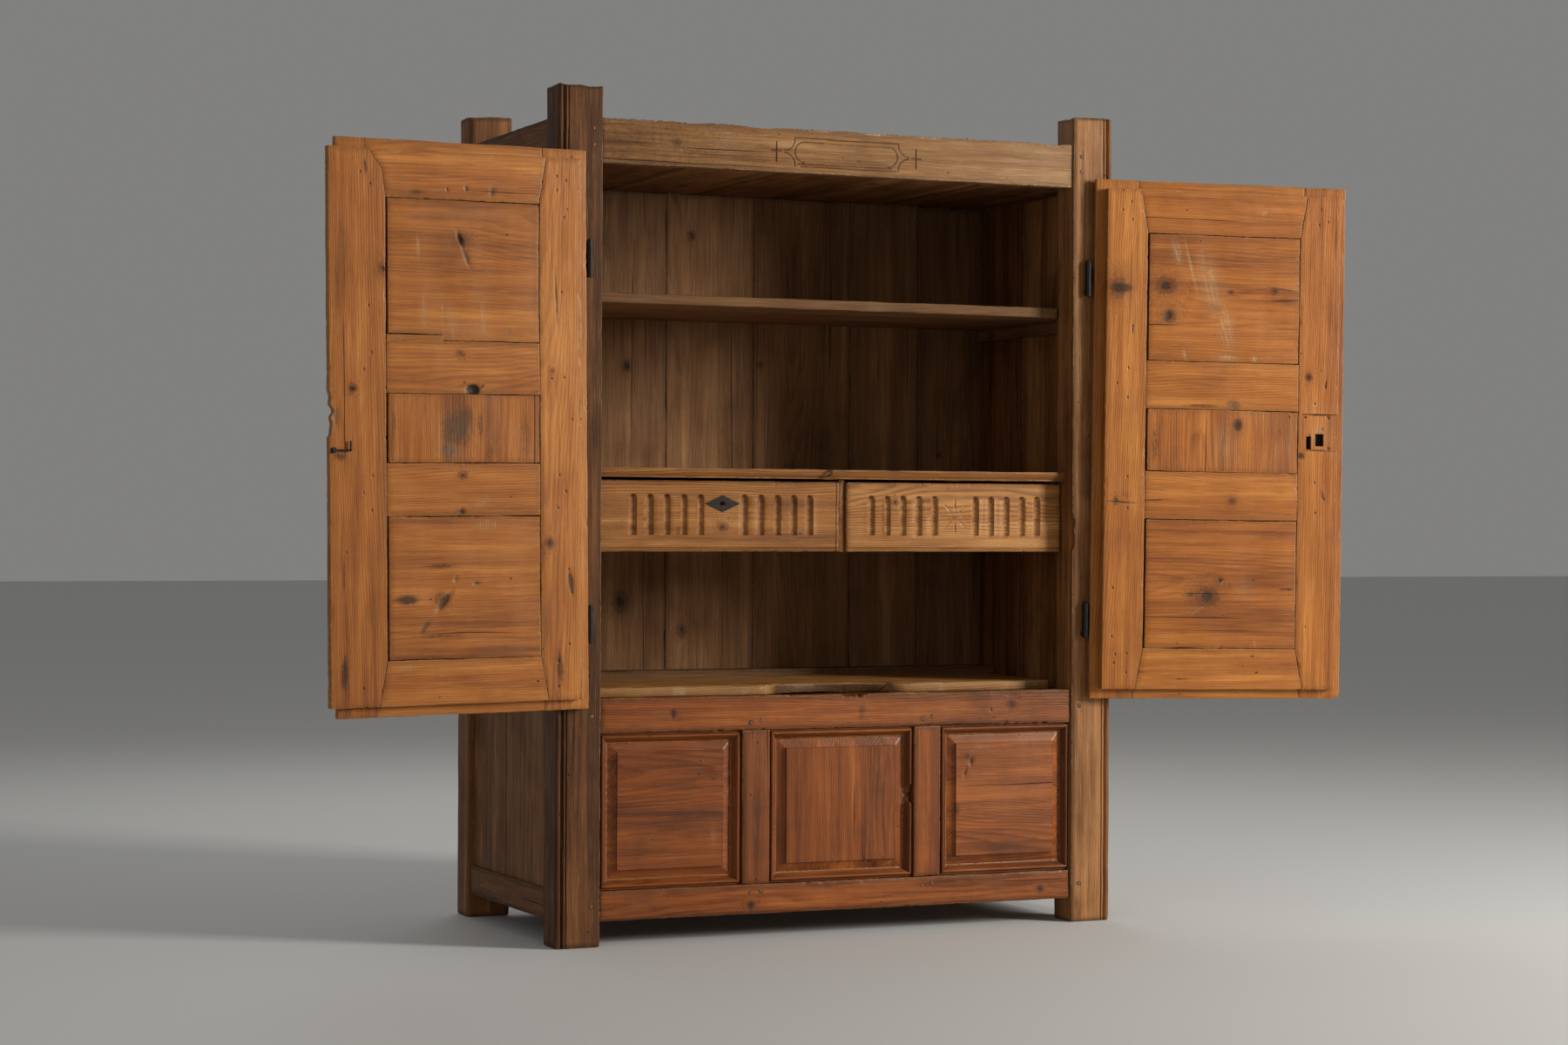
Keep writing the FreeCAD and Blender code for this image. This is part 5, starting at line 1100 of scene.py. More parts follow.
def ovolo(width, front, back):
    """A moulding's section from the frame's edge, as (away from the edge, deep) points."""
    lip = 0.003
    points = [
        (0.0, back), (0.0, front + 0.0006), (0.0006, front), (lip - 0.0005, front), (lip, front + 0.0006),
    ]
    reach, drop = width - lip, back - lip - front
    for step in range(1, 8):
        angle = math.pi / 2 * step / 7
        points.append(
            (lip + reach * math.sin(angle) * 0.97, front + 0.0012 + (drop - 0.0012) * (1 - math.cos(angle)))
        )
    points += [(width - 0.0006, back - lip + 0.0002), (width, back - lip + 0.001), (width, back)]
    return points


def beaded(width, front, back):
    """The chest moulding's section: a quirk beside the frame, a worn bead, then a hollow to the panel."""
    quirk, bead = width * 0.2, width * 0.17
    floor = front + 0.0085
    centre = (quirk + bead, front + 0.0015 + bead)
    points = [(0.0, back), (0.0, floor + 0.001), (0.0008, floor), (quirk - 0.0008, floor)]
    for step in range(0, 8):
        angle = math.pi * (1.0 - 0.72 * step / 7)
        points.append((centre[0] + bead * math.cos(angle), centre[1] - bead * math.sin(angle)))
    low_x, low_t = points[-1]
    for step in range(1, 7):
        share = step / 6
        curve = math.sin(share * math.pi / 2)
        points.append((low_x + (width - low_x) * share, low_t + (back - 0.0006 - low_t) * curve))
    points.append((width, back))
    return points


def moulding(timber, x, z, front, back, width, profile=ovolo, matrix=None, chip=0.5, gaps=None):
    """Four mitred strips round an opening. gaps maps a side's name to a broken stretch of it."""
    base = profile(width, front, back)
    for side, inward, upright in (
        ("left", 1, True), ("right", -1, True), ("low", 1, False), ("high", -1, False),
    ):
        across, along = (x, z) if upright else (z, x)
        start = across[0] if inward > 0 else across[1]
        section = [(start + inward * a, t) for a, t in base]
        if inward < 0:
            section = section[::-1]
        limits = tuple(sorted((start, start + inward * width)))
        broken = (gaps or {}).get(side)

        def warp(grid, start=start, inward=inward, along=along, broken=broken):
            run, away = grid[..., 0], (grid[..., 1] - start) * inward
            low, high = along[0] + away, along[1] - away
            grid = grid.copy()
            near_low = np.clip((along[0] + width * 2 - run) / (width * 2), 0, 1)
            near_high = np.clip((run - along[1] + width * 2) / (width * 2), 0, 1)
            grid[..., 0] = run + near_low * (low - along[0]) + near_high * (high - along[1])
            if broken:
                bitten = bite(broken[0], broken[1], 1.0, 51)(run)
                deep = grid[..., 2]
                grid[..., 2] = deep + np.clip(bitten, 0, 1) * (back - deep) * 0.92
            return grid

        timber.member(
            along, limits, (front, back), axes="zxy" if upright else "xzy", section=section, ease=0.0003,
            step=0.008 if not broken else 0.003, warp=warp, wear=0.5, chip=chip, matrix=matrix, bend=0.4,
            knots=(),
        )


CHEST_OPENINGS = (
    ("left", (-OPENING, -MUNTIN[1]), "x"), ("middle", (-MUNTIN[0], MUNTIN[0]), "z"),
    ("right", (MUNTIN[1], OPENING), "x"),
)


CHEST_KNOTS = {"left": (), "middle": ((0.082, 0.146, 0.008),), "right": ((0.305, 0.375, 0.006),)}
# The panels grade from darker on the left to lighter on the right: painted falloff of the light from the right.
CHEST_FALLOFF_TONES = {"left": 0.5, "middle": 0.0, "right": -0.4}
CHEST_MARKS = {
    "left": outer_marks(
        (-0.3, 0.345, 0.004, 0.02, 0.0, 0.0, 0.5), (-0.4, 0.24, 0.006, 0.05, 0.0, 0.0, 0.45),
        (-0.3, 0.22, 0.03, 0.012, 0.0, 0.0, 0.0, 0.5),
    ),
    "middle": outer_marks(
        (0.03, 0.28, 0.115, 0.0016, 1.0, 0.0008, 0.9), (0.052, 0.165, 0.03, 0.0018, -12.0, 0.0006, 0.8),
        (0.07, 0.15, 0.01, 0.008, 0.0, 0.0008, 0.8), (-0.02, 0.17, 0.004, 0.002, 0.0, 0.0006, 0.0, 0.9),
        (-0.11, 0.3, 0.09, 0.0014, 0.0, 0.0005, 0.7),
    ),
    "right": outer_marks(
        (0.315, 0.365, 0.012, 0.006, 12.0, 0.0014, 0.8), (0.3, 0.34, 0.012, 0.004, 18.0, 0.0012, 0.7),
        (0.34, 0.396, 0.004, 0.04, 0.0, 0.0, 0.0, 0.8), (0.28, 0.26, 0.02, 0.014, 0.0, 0.0, 0.5),
        (0.4, 0.27, 0.03, 0.05, 0.0, 0.0, 0.0, 0.3),
    ),
}


class CUPBOARD_OT_chest_panels(bpy.types.Operator):
    """Makes the chest's raised panels and their mouldings"""

    bl_idname = "cupboard.chest_panels"
    bl_label = "Chest panels"

    def execute(self, context):
        z = (BOTTOM_RAIL[1], CHEST_RAIL[0])
        strips = Timber(310)
        for number, (name, x, grain) in enumerate(CHEST_OPENINGS):
            timber = Timber(300 + number)
            panel(
                timber, x, z, tongue=0.0222, field=0.0104, back=0.0258, bevel=(0.023, 0.041), grain=grain,
                reach=0.0095, step_height=0.005, knots=CHEST_KNOTS[name], marks=CHEST_MARKS[name],
                tone=CHEST_FALLOFF_TONES[name],
            )
            timber.finish(f"{name}_chest_panel", WOODS["front_wood"])
            gaps = {"right": (0.276, 0.318)} if name == "middle" else None
            moulding(
                strips, x, z, front=0.0055, back=0.0222, width=0.022, profile=beaded, chip=1.1, gaps=gaps,
            )
        strips.finish("chest_mouldings", WOODS["front_wood"])
        return {"FINISHED"}


BACK_JOINTS = [share * WALL for share in (-1.0, -0.655, -0.307, 0.042, 0.439, 0.727, 1.0)]
ROOF_JOINTS = [share * WALL for share in (-1.0, -0.55, -0.2, 0.17, 0.58, 1.0)]
FLOOR_JOINTS = [share * WALL for share in (-1.0, -0.5, 0.02, 0.47, 1.0)]
BACK_LOOKS = (
    (-0.4, ((-0.505, 1.19, 0.012), (-0.6, 0.86, 0.006), (-0.57, 1.46, 0.006)), (
        Mark(-0.48, 1.178, 0.008, 0.06, lean=32.0, dark=0.7),
        Mark(-0.52, 1.195, 0.006, 0.04, lean=30.0, dark=0.5),
        Mark(-0.59, 1.1, 0.24, 0.0018, lean=0.5, depth=0.0008, dark=0.9),
        Mark(-0.616, 1.19, 0.02, 0.006, dark=0.5),
    )),
    (0.3, ((-0.29, 1.245, 0.01), (-0.3, 0.707, 0.017), (-0.362, 1.535, 0.015)), (
        Mark(-0.222, 1.535, 0.014, 0.022, lean=20.0, dark=0.8),
        Mark(-0.405, 0.643, 0.026, 0.016, dark=0.8),
        Mark(-0.246, 1.1, 0.008, 0.006, dark=0.8),
        Mark(-0.265, 1.6, 0.09, 0.0016, depth=0.0008, dark=0.9),
        Mark(-0.3, 0.69, 0.05, 0.018, dark=0.45),
    )),
    (-0.1, ((-0.15, 0.64, 0.01), (-0.13, 1.55, 0.009)), (
        Mark(-0.11, 1.555, 0.008, 0.06, lean=-22.0, dark=0.6),
        Mark(-0.15, 0.64, 0.022, 0.014, dark=0.5),
    )),
    (0.4, None, ()),
    (0.0, None, ()),
    (0.5, None, ()),
)


class CUPBOARD_OT_carcase(bpy.types.Operator):
    """Makes the sides, back, roof and floor"""

    bl_idname = "cupboard.carcase"
    bl_label = "Sides, back, roof and floor"

    def execute(self, context):
        wood = WOODS["post_wood"]
        inner = WOODS["interior_wood"]
        run = (POST_DEEP, REAR_POST)
        for node, levels, seed in (
            ("side_top_rails", TOP_RAIL, 400), ("side_bottom_rails", BOTTOM_RAIL, 401),
        ):
            rows = [(run, levels, sided(side, 0.619, 0.653), "yzx") for side in (-1, 1)]
            members(node, seed, wood, rows, step=0.02, wear=1.2, chip=1.2)
        rows = []
        for side in (-1, 1):
            for ends in ((0.068, 0.3596), (0.3604, 0.592)):
                rows.append(((0.107, 1.65), ends, sided(side, WALL, 0.644), "zyx"))
        members("side_boards", 402, wood, rows, step=0.03, wide=0.04, bend=1.6)
        rear = (REAR_POST, 0.616)
        rows = [((-OPENING, OPENING), levels, rear, "xzy") for levels in ((1.6, 1.736), (0.053, 0.15))]
        members("rear_rails", 403, wood, rows, step=0.02, wear=1.2)
        timber = Timber(404)
        for number, (low, high) in enumerate(zip(BACK_JOINTS[:-1], BACK_JOINTS[1:])):
            tone, knots, marks = BACK_LOOKS[number]
            outer = number in (0, len(BACK_LOOKS) - 1)
            gaps = [0.0014 if joint == BACK_JOINTS[1] else BOARD_GAP / 2 for joint in (low, high)]
            timber.member(
                (0.117, 1.64 if outer else 1.645), (low + gaps[0], high - gaps[1]), BACK, step=0.03,
                wide=0.04, wear=1.0, bend=1.8, ease=0.0016, tone=tone, knots=knots, marks=marks,
            )
        # Strips behind the open joints, painted black shade to stand for the shadow in the gaps.
        for joint in BACK_JOINTS[1:-1]:
            timber.member(
                (0.117, 1.64), (joint - 0.004, joint + 0.004), (0.571, 0.575), step=0.05, wear=0.2, tone=1.0,
                knots=(), stain=open_joint_shade,
            )
        timber.finish("back_boards", inner)
        self.deck("roof_boards", ROOF_JOINTS, 0.624, (1.645, 1.663), wood, 405)
        self.deck("chest_floor_boards", FLOOR_JOINTS, 0.6185, (0.101, 0.117), inner, 406)
        return {"FINISHED"}

    def deck(self, node, shares, reach, levels, material, seed):
        """Boards that run from front to back, notched round the posts."""
        timber = Timber(seed)
        boards = {"axes": "yxz", "step": 0.03, "wide": 0.04, "bend": 1.6}
        joints = [-reach] + shares[1:-1] + [reach]
        for low, high in zip(joints[:-1], joints[1:]):
            width = (low + BOARD_GAP / 2, high - BOARD_GAP / 2)
            if low <= -reach or high >= reach:
                inner = (max(low, -OPENING) + BOARD_GAP / 2, min(high, OPENING) - BOARD_GAP / 2)
                timber.member((0.029, 0.592), inner, levels, ease=0.0016, **boards)
                side = (-reach, -OPENING) if low <= -reach else (OPENING, reach)
                timber.member((POST_DEEP, REAR_POST), side, levels, ease=0.0004, **boards)
            else:
                timber.member((0.029, 0.592), width, levels, ease=0.0016, **boards)
        timber.finish(node, material)


def open_joint_shade(spots):
    """Painted black shade all over, for what shows through an open joint."""
    return np.broadcast_to(np.array([1.2, 0.0]), spots.shape[:-1] + (2,))


def notched_shelf(front, corner):
    """A warp that narrows a shelf between the front posts, with rounded front corners."""
    def warp(grid):
        along, across = grid[..., 0], grid[..., 1]
        grid = grid.copy()
        limit = np.where(across < POST_DEEP + 0.001, SHELF_TONGUE, SHELF_REACH)
        if corner:
            lead = np.clip(front + corner - across, 0, corner)
            limit = limit - (corner - np.sqrt(np.maximum(corner**2 - lead**2, 0)))
        grid[..., 0] = np.sign(along) * np.minimum(np.abs(along), limit)
        return grid

    return warp


def nosing(grid):
    """The drawer shelf's moulded front edge."""
    across, up = grid[..., 1], grid[..., 2]
    grid = grid.copy()
    under = np.clip((0.997 - up) / 0.01, 0, 1)
    curve = 0.0015 + 0.0065 * (under**1.6)
    shift = np.where(under > 0, curve, 0)
    front = np.clip(1 - (across - DRAWER_SHELF_FRONT) / 0.004, 0, 1)
    grid[..., 1] = across + shift * front
    return notched_shelf(DRAWER_SHELF_FRONT, 0)(grid)


def notch_outline(along):
    """How far back the lid's front edge stands from its straight line."""
    away = np.abs(along - NOTCH_MIDDLE)
    bow = 0.075 - (0.222 - np.sqrt(np.maximum(0.222**2 - np.minimum(away, 0.2) ** 2, 0)))
    flare = 0.046 - np.sqrt(np.maximum(0.046**2 - np.clip(0.182 - away, 0, 0.046) ** 2, 0))
    return np.where(away < 0.148, np.maximum(bow, 0), np.clip(flare, 0, 0.017))


def lid_warp(grid):
    """The lid's finger notch, rounded corners and a hand-worn front edge."""
    along, across = grid[..., 0], grid[..., 1]
    grid = grid.copy()
    lead = notch_outline(along)
    corner = 0.018
    past = np.clip(np.abs(along) - (LID_REACH - corner), 0, corner)
    lead = lead + corner - np.sqrt(np.maximum(corner**2 - past**2, 0))
    near = np.clip(1 - (across - LID_FRONT) / 0.12, 0, 1)
    grid[..., 1] = across + lead * near
    rub = np.exp(-((along - NOTCH_MIDDLE) / 0.2) ** 2)
    rub = rub * np.exp(-(((grid[..., 1] - LID_FRONT - lead) / 0.02) ** 2))
    grid[..., 2] = grid[..., 2] - rub * 0.0025 * (grid[..., 2] > 0.526)
    return grid


def lid_stain(spots):
    """Handling has bared the lid's front edge; painted shade darkens the notch's front flank."""
    x, y, z = np.moveaxis(spots, -1, 0)
    lead = notch_outline(x)
    front = np.exp(-(((y - LID_FRONT - lead) / 0.014) ** 2))
    notch = np.clip((lead - 0.02) / 0.02, 0, 1)
    flank = np.clip(1 - (y - LID_FRONT - lead) / 0.004, 0, 1) * (z < 0.533)
    return np.stack([flank * notch * 0.75, front * 0.6 * (1 - notch * 0.6)], axis=-1)


class CUPBOARD_OT_shelves(bpy.types.Operator):
    """Makes the shelves, their cleats, the hangers and the lid with its seat"""

    bl_idname = "cupboard.shelves"
    bl_label = "Shelves and lid"

    def execute(self, context):
        wood = WOODS["interior_wood"]
        waxed = WOODS["drawer_wood"]
        marks = spread(0.545, 0.627, 0.004)
        marks = marks + [-v for v in marks] + [SHELF_TONGUE, -SHELF_TONGUE, SHELF_REACH, -SHELF_REACH]
        width = (-SHELF_REACH, SHELF_REACH)
        members(
            "upper_shelf", 500, wood, [(width, (UPPER_FRONT, BACK[0]), UPPER_SHELF, "xyz")], step=0.02,
            wide=0.03, ease=0.003, across=[0.062, 0.064, 0.067, 0.07, 0.073, 0.0789, 0.0791], stations=marks,
            warp=notched_shelf(UPPER_FRONT, 0.012), wear=1.5, chip=1.3, bend=1.6,
        )
        section = box_section(
            (DRAWER_SHELF_FRONT, BACK[0]), DRAWER_SHELF, ease=0.0012, step=0.03,
            front=(0.029, 0.032, 0.036, 0.0789, 0.0791), deep_step=0.0022,
        )
        members(
            "drawer_shelf", 501, waxed, [(width, (DRAWER_SHELF_FRONT, BACK[0]), DRAWER_SHELF, "xyz")],
            step=0.02, section=section, stations=marks, warp=nosing, wear=1.2, chip=1.2, ease=0.0015,
            bend=1.2,
        )
        rows = []
        for under in (UPPER_SHELF[0], DRAWER_SHELF[0]):
            for side in (-1, 1):
                rows.append(((0.09, 0.555), (under - 0.028, under), sided(side, 0.604, WALL), "yzx"))
        members("shelf_cleats", 502, wood, rows, step=0.03)
        timber = Timber(503)
        # The divider between the drawers gets a darker tone: painted shade beside the drawer fronts.
        timber.member(
            (0.057, 0.54), (0.826, DRAWER_SHELF[0]), (0.011, 0.026), axes="yzx", step=0.03, wide=0.03,
            tone=0.9,
        )
        timber.member((0.074, 0.54), (-0.001, 0.038), (0.828, 0.838), axes="yxz", step=0.03)
        for side in (-1, 1):
            depth = sided(side, 0.546, 0.56)
            timber.member((0.074, 0.54), (0.828, DRAWER_SHELF[0]), depth, axes="yzx", step=0.03, wide=0.03)
            width = sided(side, 0.534, 0.56)
            timber.member((0.074, 0.54), width, (0.828, 0.838), axes="yxz", step=0.03)
        timber.finish("drawer_hangers", waxed)
        rows = [((POST_DEEP, BACK[0]), sided(side, 0.538, WALL), (0.493, LID[0]), "yxz") for side in (-1, 1)]
        members("lid_ledges", 504, wood, rows, step=0.03)
        rows = [((-SHELF_REACH, SHELF_REACH), (0.49, BACK[0]), (LID[0], 0.551), "xyz")]
        members("rear_lid_board", 505, wood, rows, step=0.03, wear=1.2)
        # The lid's light tone is a painted sheen, standing in for low light grazing its top.
        members(
            "chest_lid", 506, waxed, [((-LID_REACH, LID_REACH), (LID_FRONT, 0.488), LID, "xyz")],
            slot="interior_wood", step=0.012, wide=0.02, ease=0.004, warp=lid_warp,
            across=[0.0865, 0.088, 0.092, 0.097, 0.103, 0.11], stations=spread(-0.17, 0.2, 0.006) + marks,
            wear=1.6, bend=2.0, tone=-1.8, stain=lid_stain, knots=(),
        )
        return {"FINISHED"}


# Drawers

DRAWER_FRONT = (0.05, 0.07)
DRAWER_BACK = (0.51, 0.522)
DRAWER_DEEP = 0.53
DRAWER_SIDE = 0.013
DRAWER_BOTTOM = (0.848, 0.856)
DRAWER_TOP = 0.966
FLUTE_HALF = 0.0085
FLUTE_DEPTH = 0.0055
FLUTE_LOW = 0.862
FLUTE_TOP = 0.949
QUIRK_UP = 0.8345
DRAWER_KNOTS = {"left": ((-0.2656, 0.88, 0.008),), "right": ((0.145, 0.935, 0.006),)}
DRAWER_MARKS = {
    "left": outer_marks(
        (-0.2656, 0.878, 0.008, 0.009, 0.0, 0.0, 0.7), (-0.262, 0.896, 0.003, 0.007, 20.0, 0.0, 0.0, 0.9),
        (-0.5, 0.885, 0.02, 0.03, 0.0, 0.0, 0.3),
    ),
    "right": outer_marks(
        (0.145, 0.935, 0.007, 0.005, 0.0, 0.0, 0.7), (0.292, 0.904, 0.009, 0.014, 0.0, 0.0, 0.45),
    ),
}


def drawer_front_warp(centres, star_at, keyhole, quirk_x=None):
    """Gouged flutes, the rayed star and the keyhole in a drawer's front."""
    radius = (FLUTE_HALF**2 + FLUTE_DEPTH**2) / (2 * FLUTE_DEPTH)
    rays = []
    if star_at:
        for step in range(8):
            angle = math.pi / 4 * step
            ends = [
                (star_at[0] + r * math.cos(angle), star_at[1] + r * math.sin(angle)) for r in (0.016, 0.036)
            ]
            rays.append(ends)

    def warp(grid):
        along, across, deep = np.moveaxis(grid, -1, 0)
        grid = grid.copy()
        face = (deep < 0.0525).astype(float)
        cut = np.zeros(along.shape)
        for centre in centres:
            over = np.clip(across - (FLUTE_TOP - FLUTE_HALF), 0, None)
            below = np.clip(FLUTE_LOW - across, 0, None)
            away = np.hypot(along - centre, over)
            bowl = np.sqrt(np.maximum(radius**2 - away**2, 0)) - (radius - FLUTE_DEPTH)
            cut = np.maximum(cut, np.where(below > 0.0002, 0, bowl))
        if rays:
            cut = np.maximum(cut, groove_depth(along, across, rays, 0.0016, 0.0016))
        if keyhole:
            inside = (np.abs(along - keyhole[0]) < 0.0062) & (np.abs(across - keyhole[1]) < 0.0042)
            cut = np.where(inside, 0.016, cut)
        quirk = np.clip(1 - np.abs(across - QUIRK_UP) / 0.0011, 0, 1) * 0.0016
        if quirk_x is not None:
            quirk = np.maximum(quirk, np.clip(1 - np.abs(along - quirk_x) / 0.0011, 0, 1) * 0.0016)
        cut = np.maximum(cut, quirk)
        grid[..., 2] = deep + cut * face
        return grid

    return warp


def flute_stain(centres):
    """Painted shade in the flutes, deeper towards their rounded tops, and along the quirk groove."""
    def stain(spots):
        x, z = spots[..., 0], spots[..., 2]
        dark = np.zeros(x.shape)
        for centre in centres:
            inside = np.clip(1.15 - np.abs(x - centre) / FLUTE_HALF, 0, 1)
            inside = inside * (z > FLUTE_LOW - 0.001) * (z < FLUTE_TOP)
            dark = np.maximum(dark, inside * (0.46 + 0.3 * np.clip((z - FLUTE_TOP + 0.02) / 0.02, 0, 1)))
        dark = np.maximum(dark, 0.4 * np.clip(1 - np.abs(z - QUIRK_UP) / 0.0016, 0, 1))
        return only_dark(dark)

    return stain


class CUPBOARD_OT_drawers(bpy.types.Operator):
    """Makes both drawers"""

    bl_idname = "cupboard.drawers"
    bl_label = "Drawers"

    def execute(self, context):
        wood = WOODS["drawer_wood"]
        inner = WOODS["interior_wood"]
        for seed, (name, front_x, box_x) in enumerate(
            (("left", (-0.557, 0.0098), (-0.5445, 0.0095)), ("right", (0.0272, 0.557), (0.0275, 0.5445)))
        ):
            middle = (front_x[0] + front_x[1]) / 2 + (0.008 if name == "left" else 0)
            centres = [middle + side * 0.128 + (k - 2) * 0.0385 for side in (-1, 1) for k in range(5)]
            star_at = (middle, 0.904) if name == "right" else None
            keyhole = (middle, 0.929) if name == "left" else None
            stations = []
            for centre in centres:
                for away in (0.0, 0.0025, 0.0048, 0.0066, 0.0078, 0.0084, 0.0088):
                    stations += [centre - away, centre + away]
            if star_at:
                stations += spread(middle - 0.038, middle + 0.038, 0.0017)
            else:
                stations += [middle - 0.0064, middle - 0.006, middle + 0.006, middle + 0.0064]
            across = [0.8617, 0.8621, 0.935, 0.9405, 0.943, 0.9455, 0.9475, 0.9486, 0.949, 0.9494]
            across += spread(0.866, 0.942, 0.0019) if star_at else [0.9246, 0.925, 0.933, 0.9334]
            across += [QUIRK_UP + step * 0.00055 for step in (-3, -2, -1, 0, 1, 2, 3)]
            quirk_x = front_x[1] - 0.0072 if name == "left" else None
            if quirk_x:
                stations += [quirk_x + step * 0.00055 for step in (-3, -2, -1, 0, 1, 2, 3)]
            timber = Timber(600 + seed)
            timber.member(
                front_x, (0.826, 0.978), DRAWER_FRONT, axes="xzy", step=0.012, wide=0.012, stations=stations,
                across=across, warp=drawer_front_warp(centres, star_at, keyhole, quirk_x), ease=0.0025,
                wear=0.7, chip=1.0, bend=0.6, knots=DRAWER_KNOTS[name], marks=DRAWER_MARKS[name],
                stain=flute_stain(centres), tone=0.1 if name == "left" else -0.3,
            )
            timber.finish(f"{name}_drawer_front", wood)
            left, right = box_x
            rows = [
                ((0.062, DRAWER_DEEP), (0.838, DRAWER_TOP), ends, "yzx")
                for ends in ((left, left + DRAWER_SIDE), (right - DRAWER_SIDE, right))
            ]
            members(f"{name}_drawer_sides", 610 + seed, inner, rows, step=0.03)
            between = (left + DRAWER_SIDE, right - DRAWER_SIDE)
            rows = [(between, (DRAWER_BOTTOM[1], DRAWER_TOP), DRAWER_BACK, "xzy")]
            members(f"{name}_drawer_back", 620 + seed, inner, rows, step=0.03)
            rows = [((left + 0.008, right - 0.008), (0.066, DRAWER_DEEP), DRAWER_BOTTOM, "xyz")]
            members(f"{name}_drawer_bottom", 630 + seed, inner, rows, step=0.03)
        return {"FINISHED"}


# Doors


def along_door(side, near, far):
    """Ends across the front of a stretch measured from a door's hinge line."""
    return sided(side, HINGE - far, HINGE - near)


def shoulder(up, top, wide, knee=None):
    """How far a top or bottom rail's shoulder flares out at a height."""
    low, high = (DOOR_LEVELS[6], DOOR_LEVELS[7]) if top else (DOOR_LEVELS[1], DOOR_LEVELS[0])
    share = np.clip((up - low) / (high - low), 0, 1)
    if knee is None:
        return wide * share
    return np.where(
        share < knee[0], knee[1] * share / knee[0],
        knee[1] + (wide - knee[1]) * (share - knee[0]) / (1 - knee[0]),
    )


# Where the left door's upper shoulder bends: the share of its height and its flare there
KNEE = (56 / 97, 0.007)


def flare_at(name, near_hinge, up):
    """The flare of both the top and the bottom shoulder at a height."""
    special = name == "left" and not near_hinge
    top = shoulder(up, True, 0.037, KNEE) if special else shoulder(up, True, 0.017)
    return top + shoulder(up, False, 0.017)


def door_spots(name, rows):
    """Marks on a door's inner face; a row is (from hinge, height, tall, wide, lean, depth, dark, pale)."""
    side = DOORS[name][0]
    return [Mark(side * (HINGE - away), *rest) for away, *rest in rows]


def door_knots(name, rows):
    """Knots on a door, from rows of (from hinge, height, radius)."""
    side = DOORS[name][0]
    return tuple((side * (HINGE - away), up, radius) for away, up, radius in rows)


def nicks(rows):
    """Old nail holes and small dents, from rows of (from hinge, height)."""
    return [(away, up, 0.004, 0.0026, 0.0, 0.0012, 1.0) for away, up in rows]


STILE_NICKS = {
    ("left", "meeting"): (
        (0.522, 1.589), (0.501, 1.567), (0.473, 1.398), (0.505, 1.324), (0.499, 1.23), (0.516, 1.196),
        (0.498, 0.984), (0.517, 0.95), (0.5, 0.915), (0.52, 0.56),
    ),
    ("left", "hinge"): (
        (0.088, 1.601), (0.067, 1.593), (0.088, 1.572), (0.072, 1.517), (0.078, 1.362), (0.101, 1.184),
        (0.073, 1.187), (0.085, 0.986), (0.07, 0.952), (0.088, 0.918), (0.064, 0.791), (0.058, 0.743),
        (0.064, 0.637), (0.089, 0.602), (0.089, 0.55),
    ),
    ("right", "hinge"): (
        (0.087, 1.61), (0.067, 1.591), (0.09, 1.57), (0.094, 1.333), (0.085, 1.239), (0.059, 1.204),
        (0.084, 1.173), (0.086, 0.996), (0.087, 0.926), (0.055, 0.748), (0.055, 0.639), (0.063, 0.599),
        (0.09, 0.601), (0.06, 0.58), (0.089, 0.559),
    ),
    ("right", "meeting"): (
        (0.541, 1.609), (0.537, 1.574), (0.559, 1.581), (0.558, 1.207), (0.532, 1.169), (0.534, 0.99),
        (0.557, 0.953), (0.536, 0.922),
    ),
}
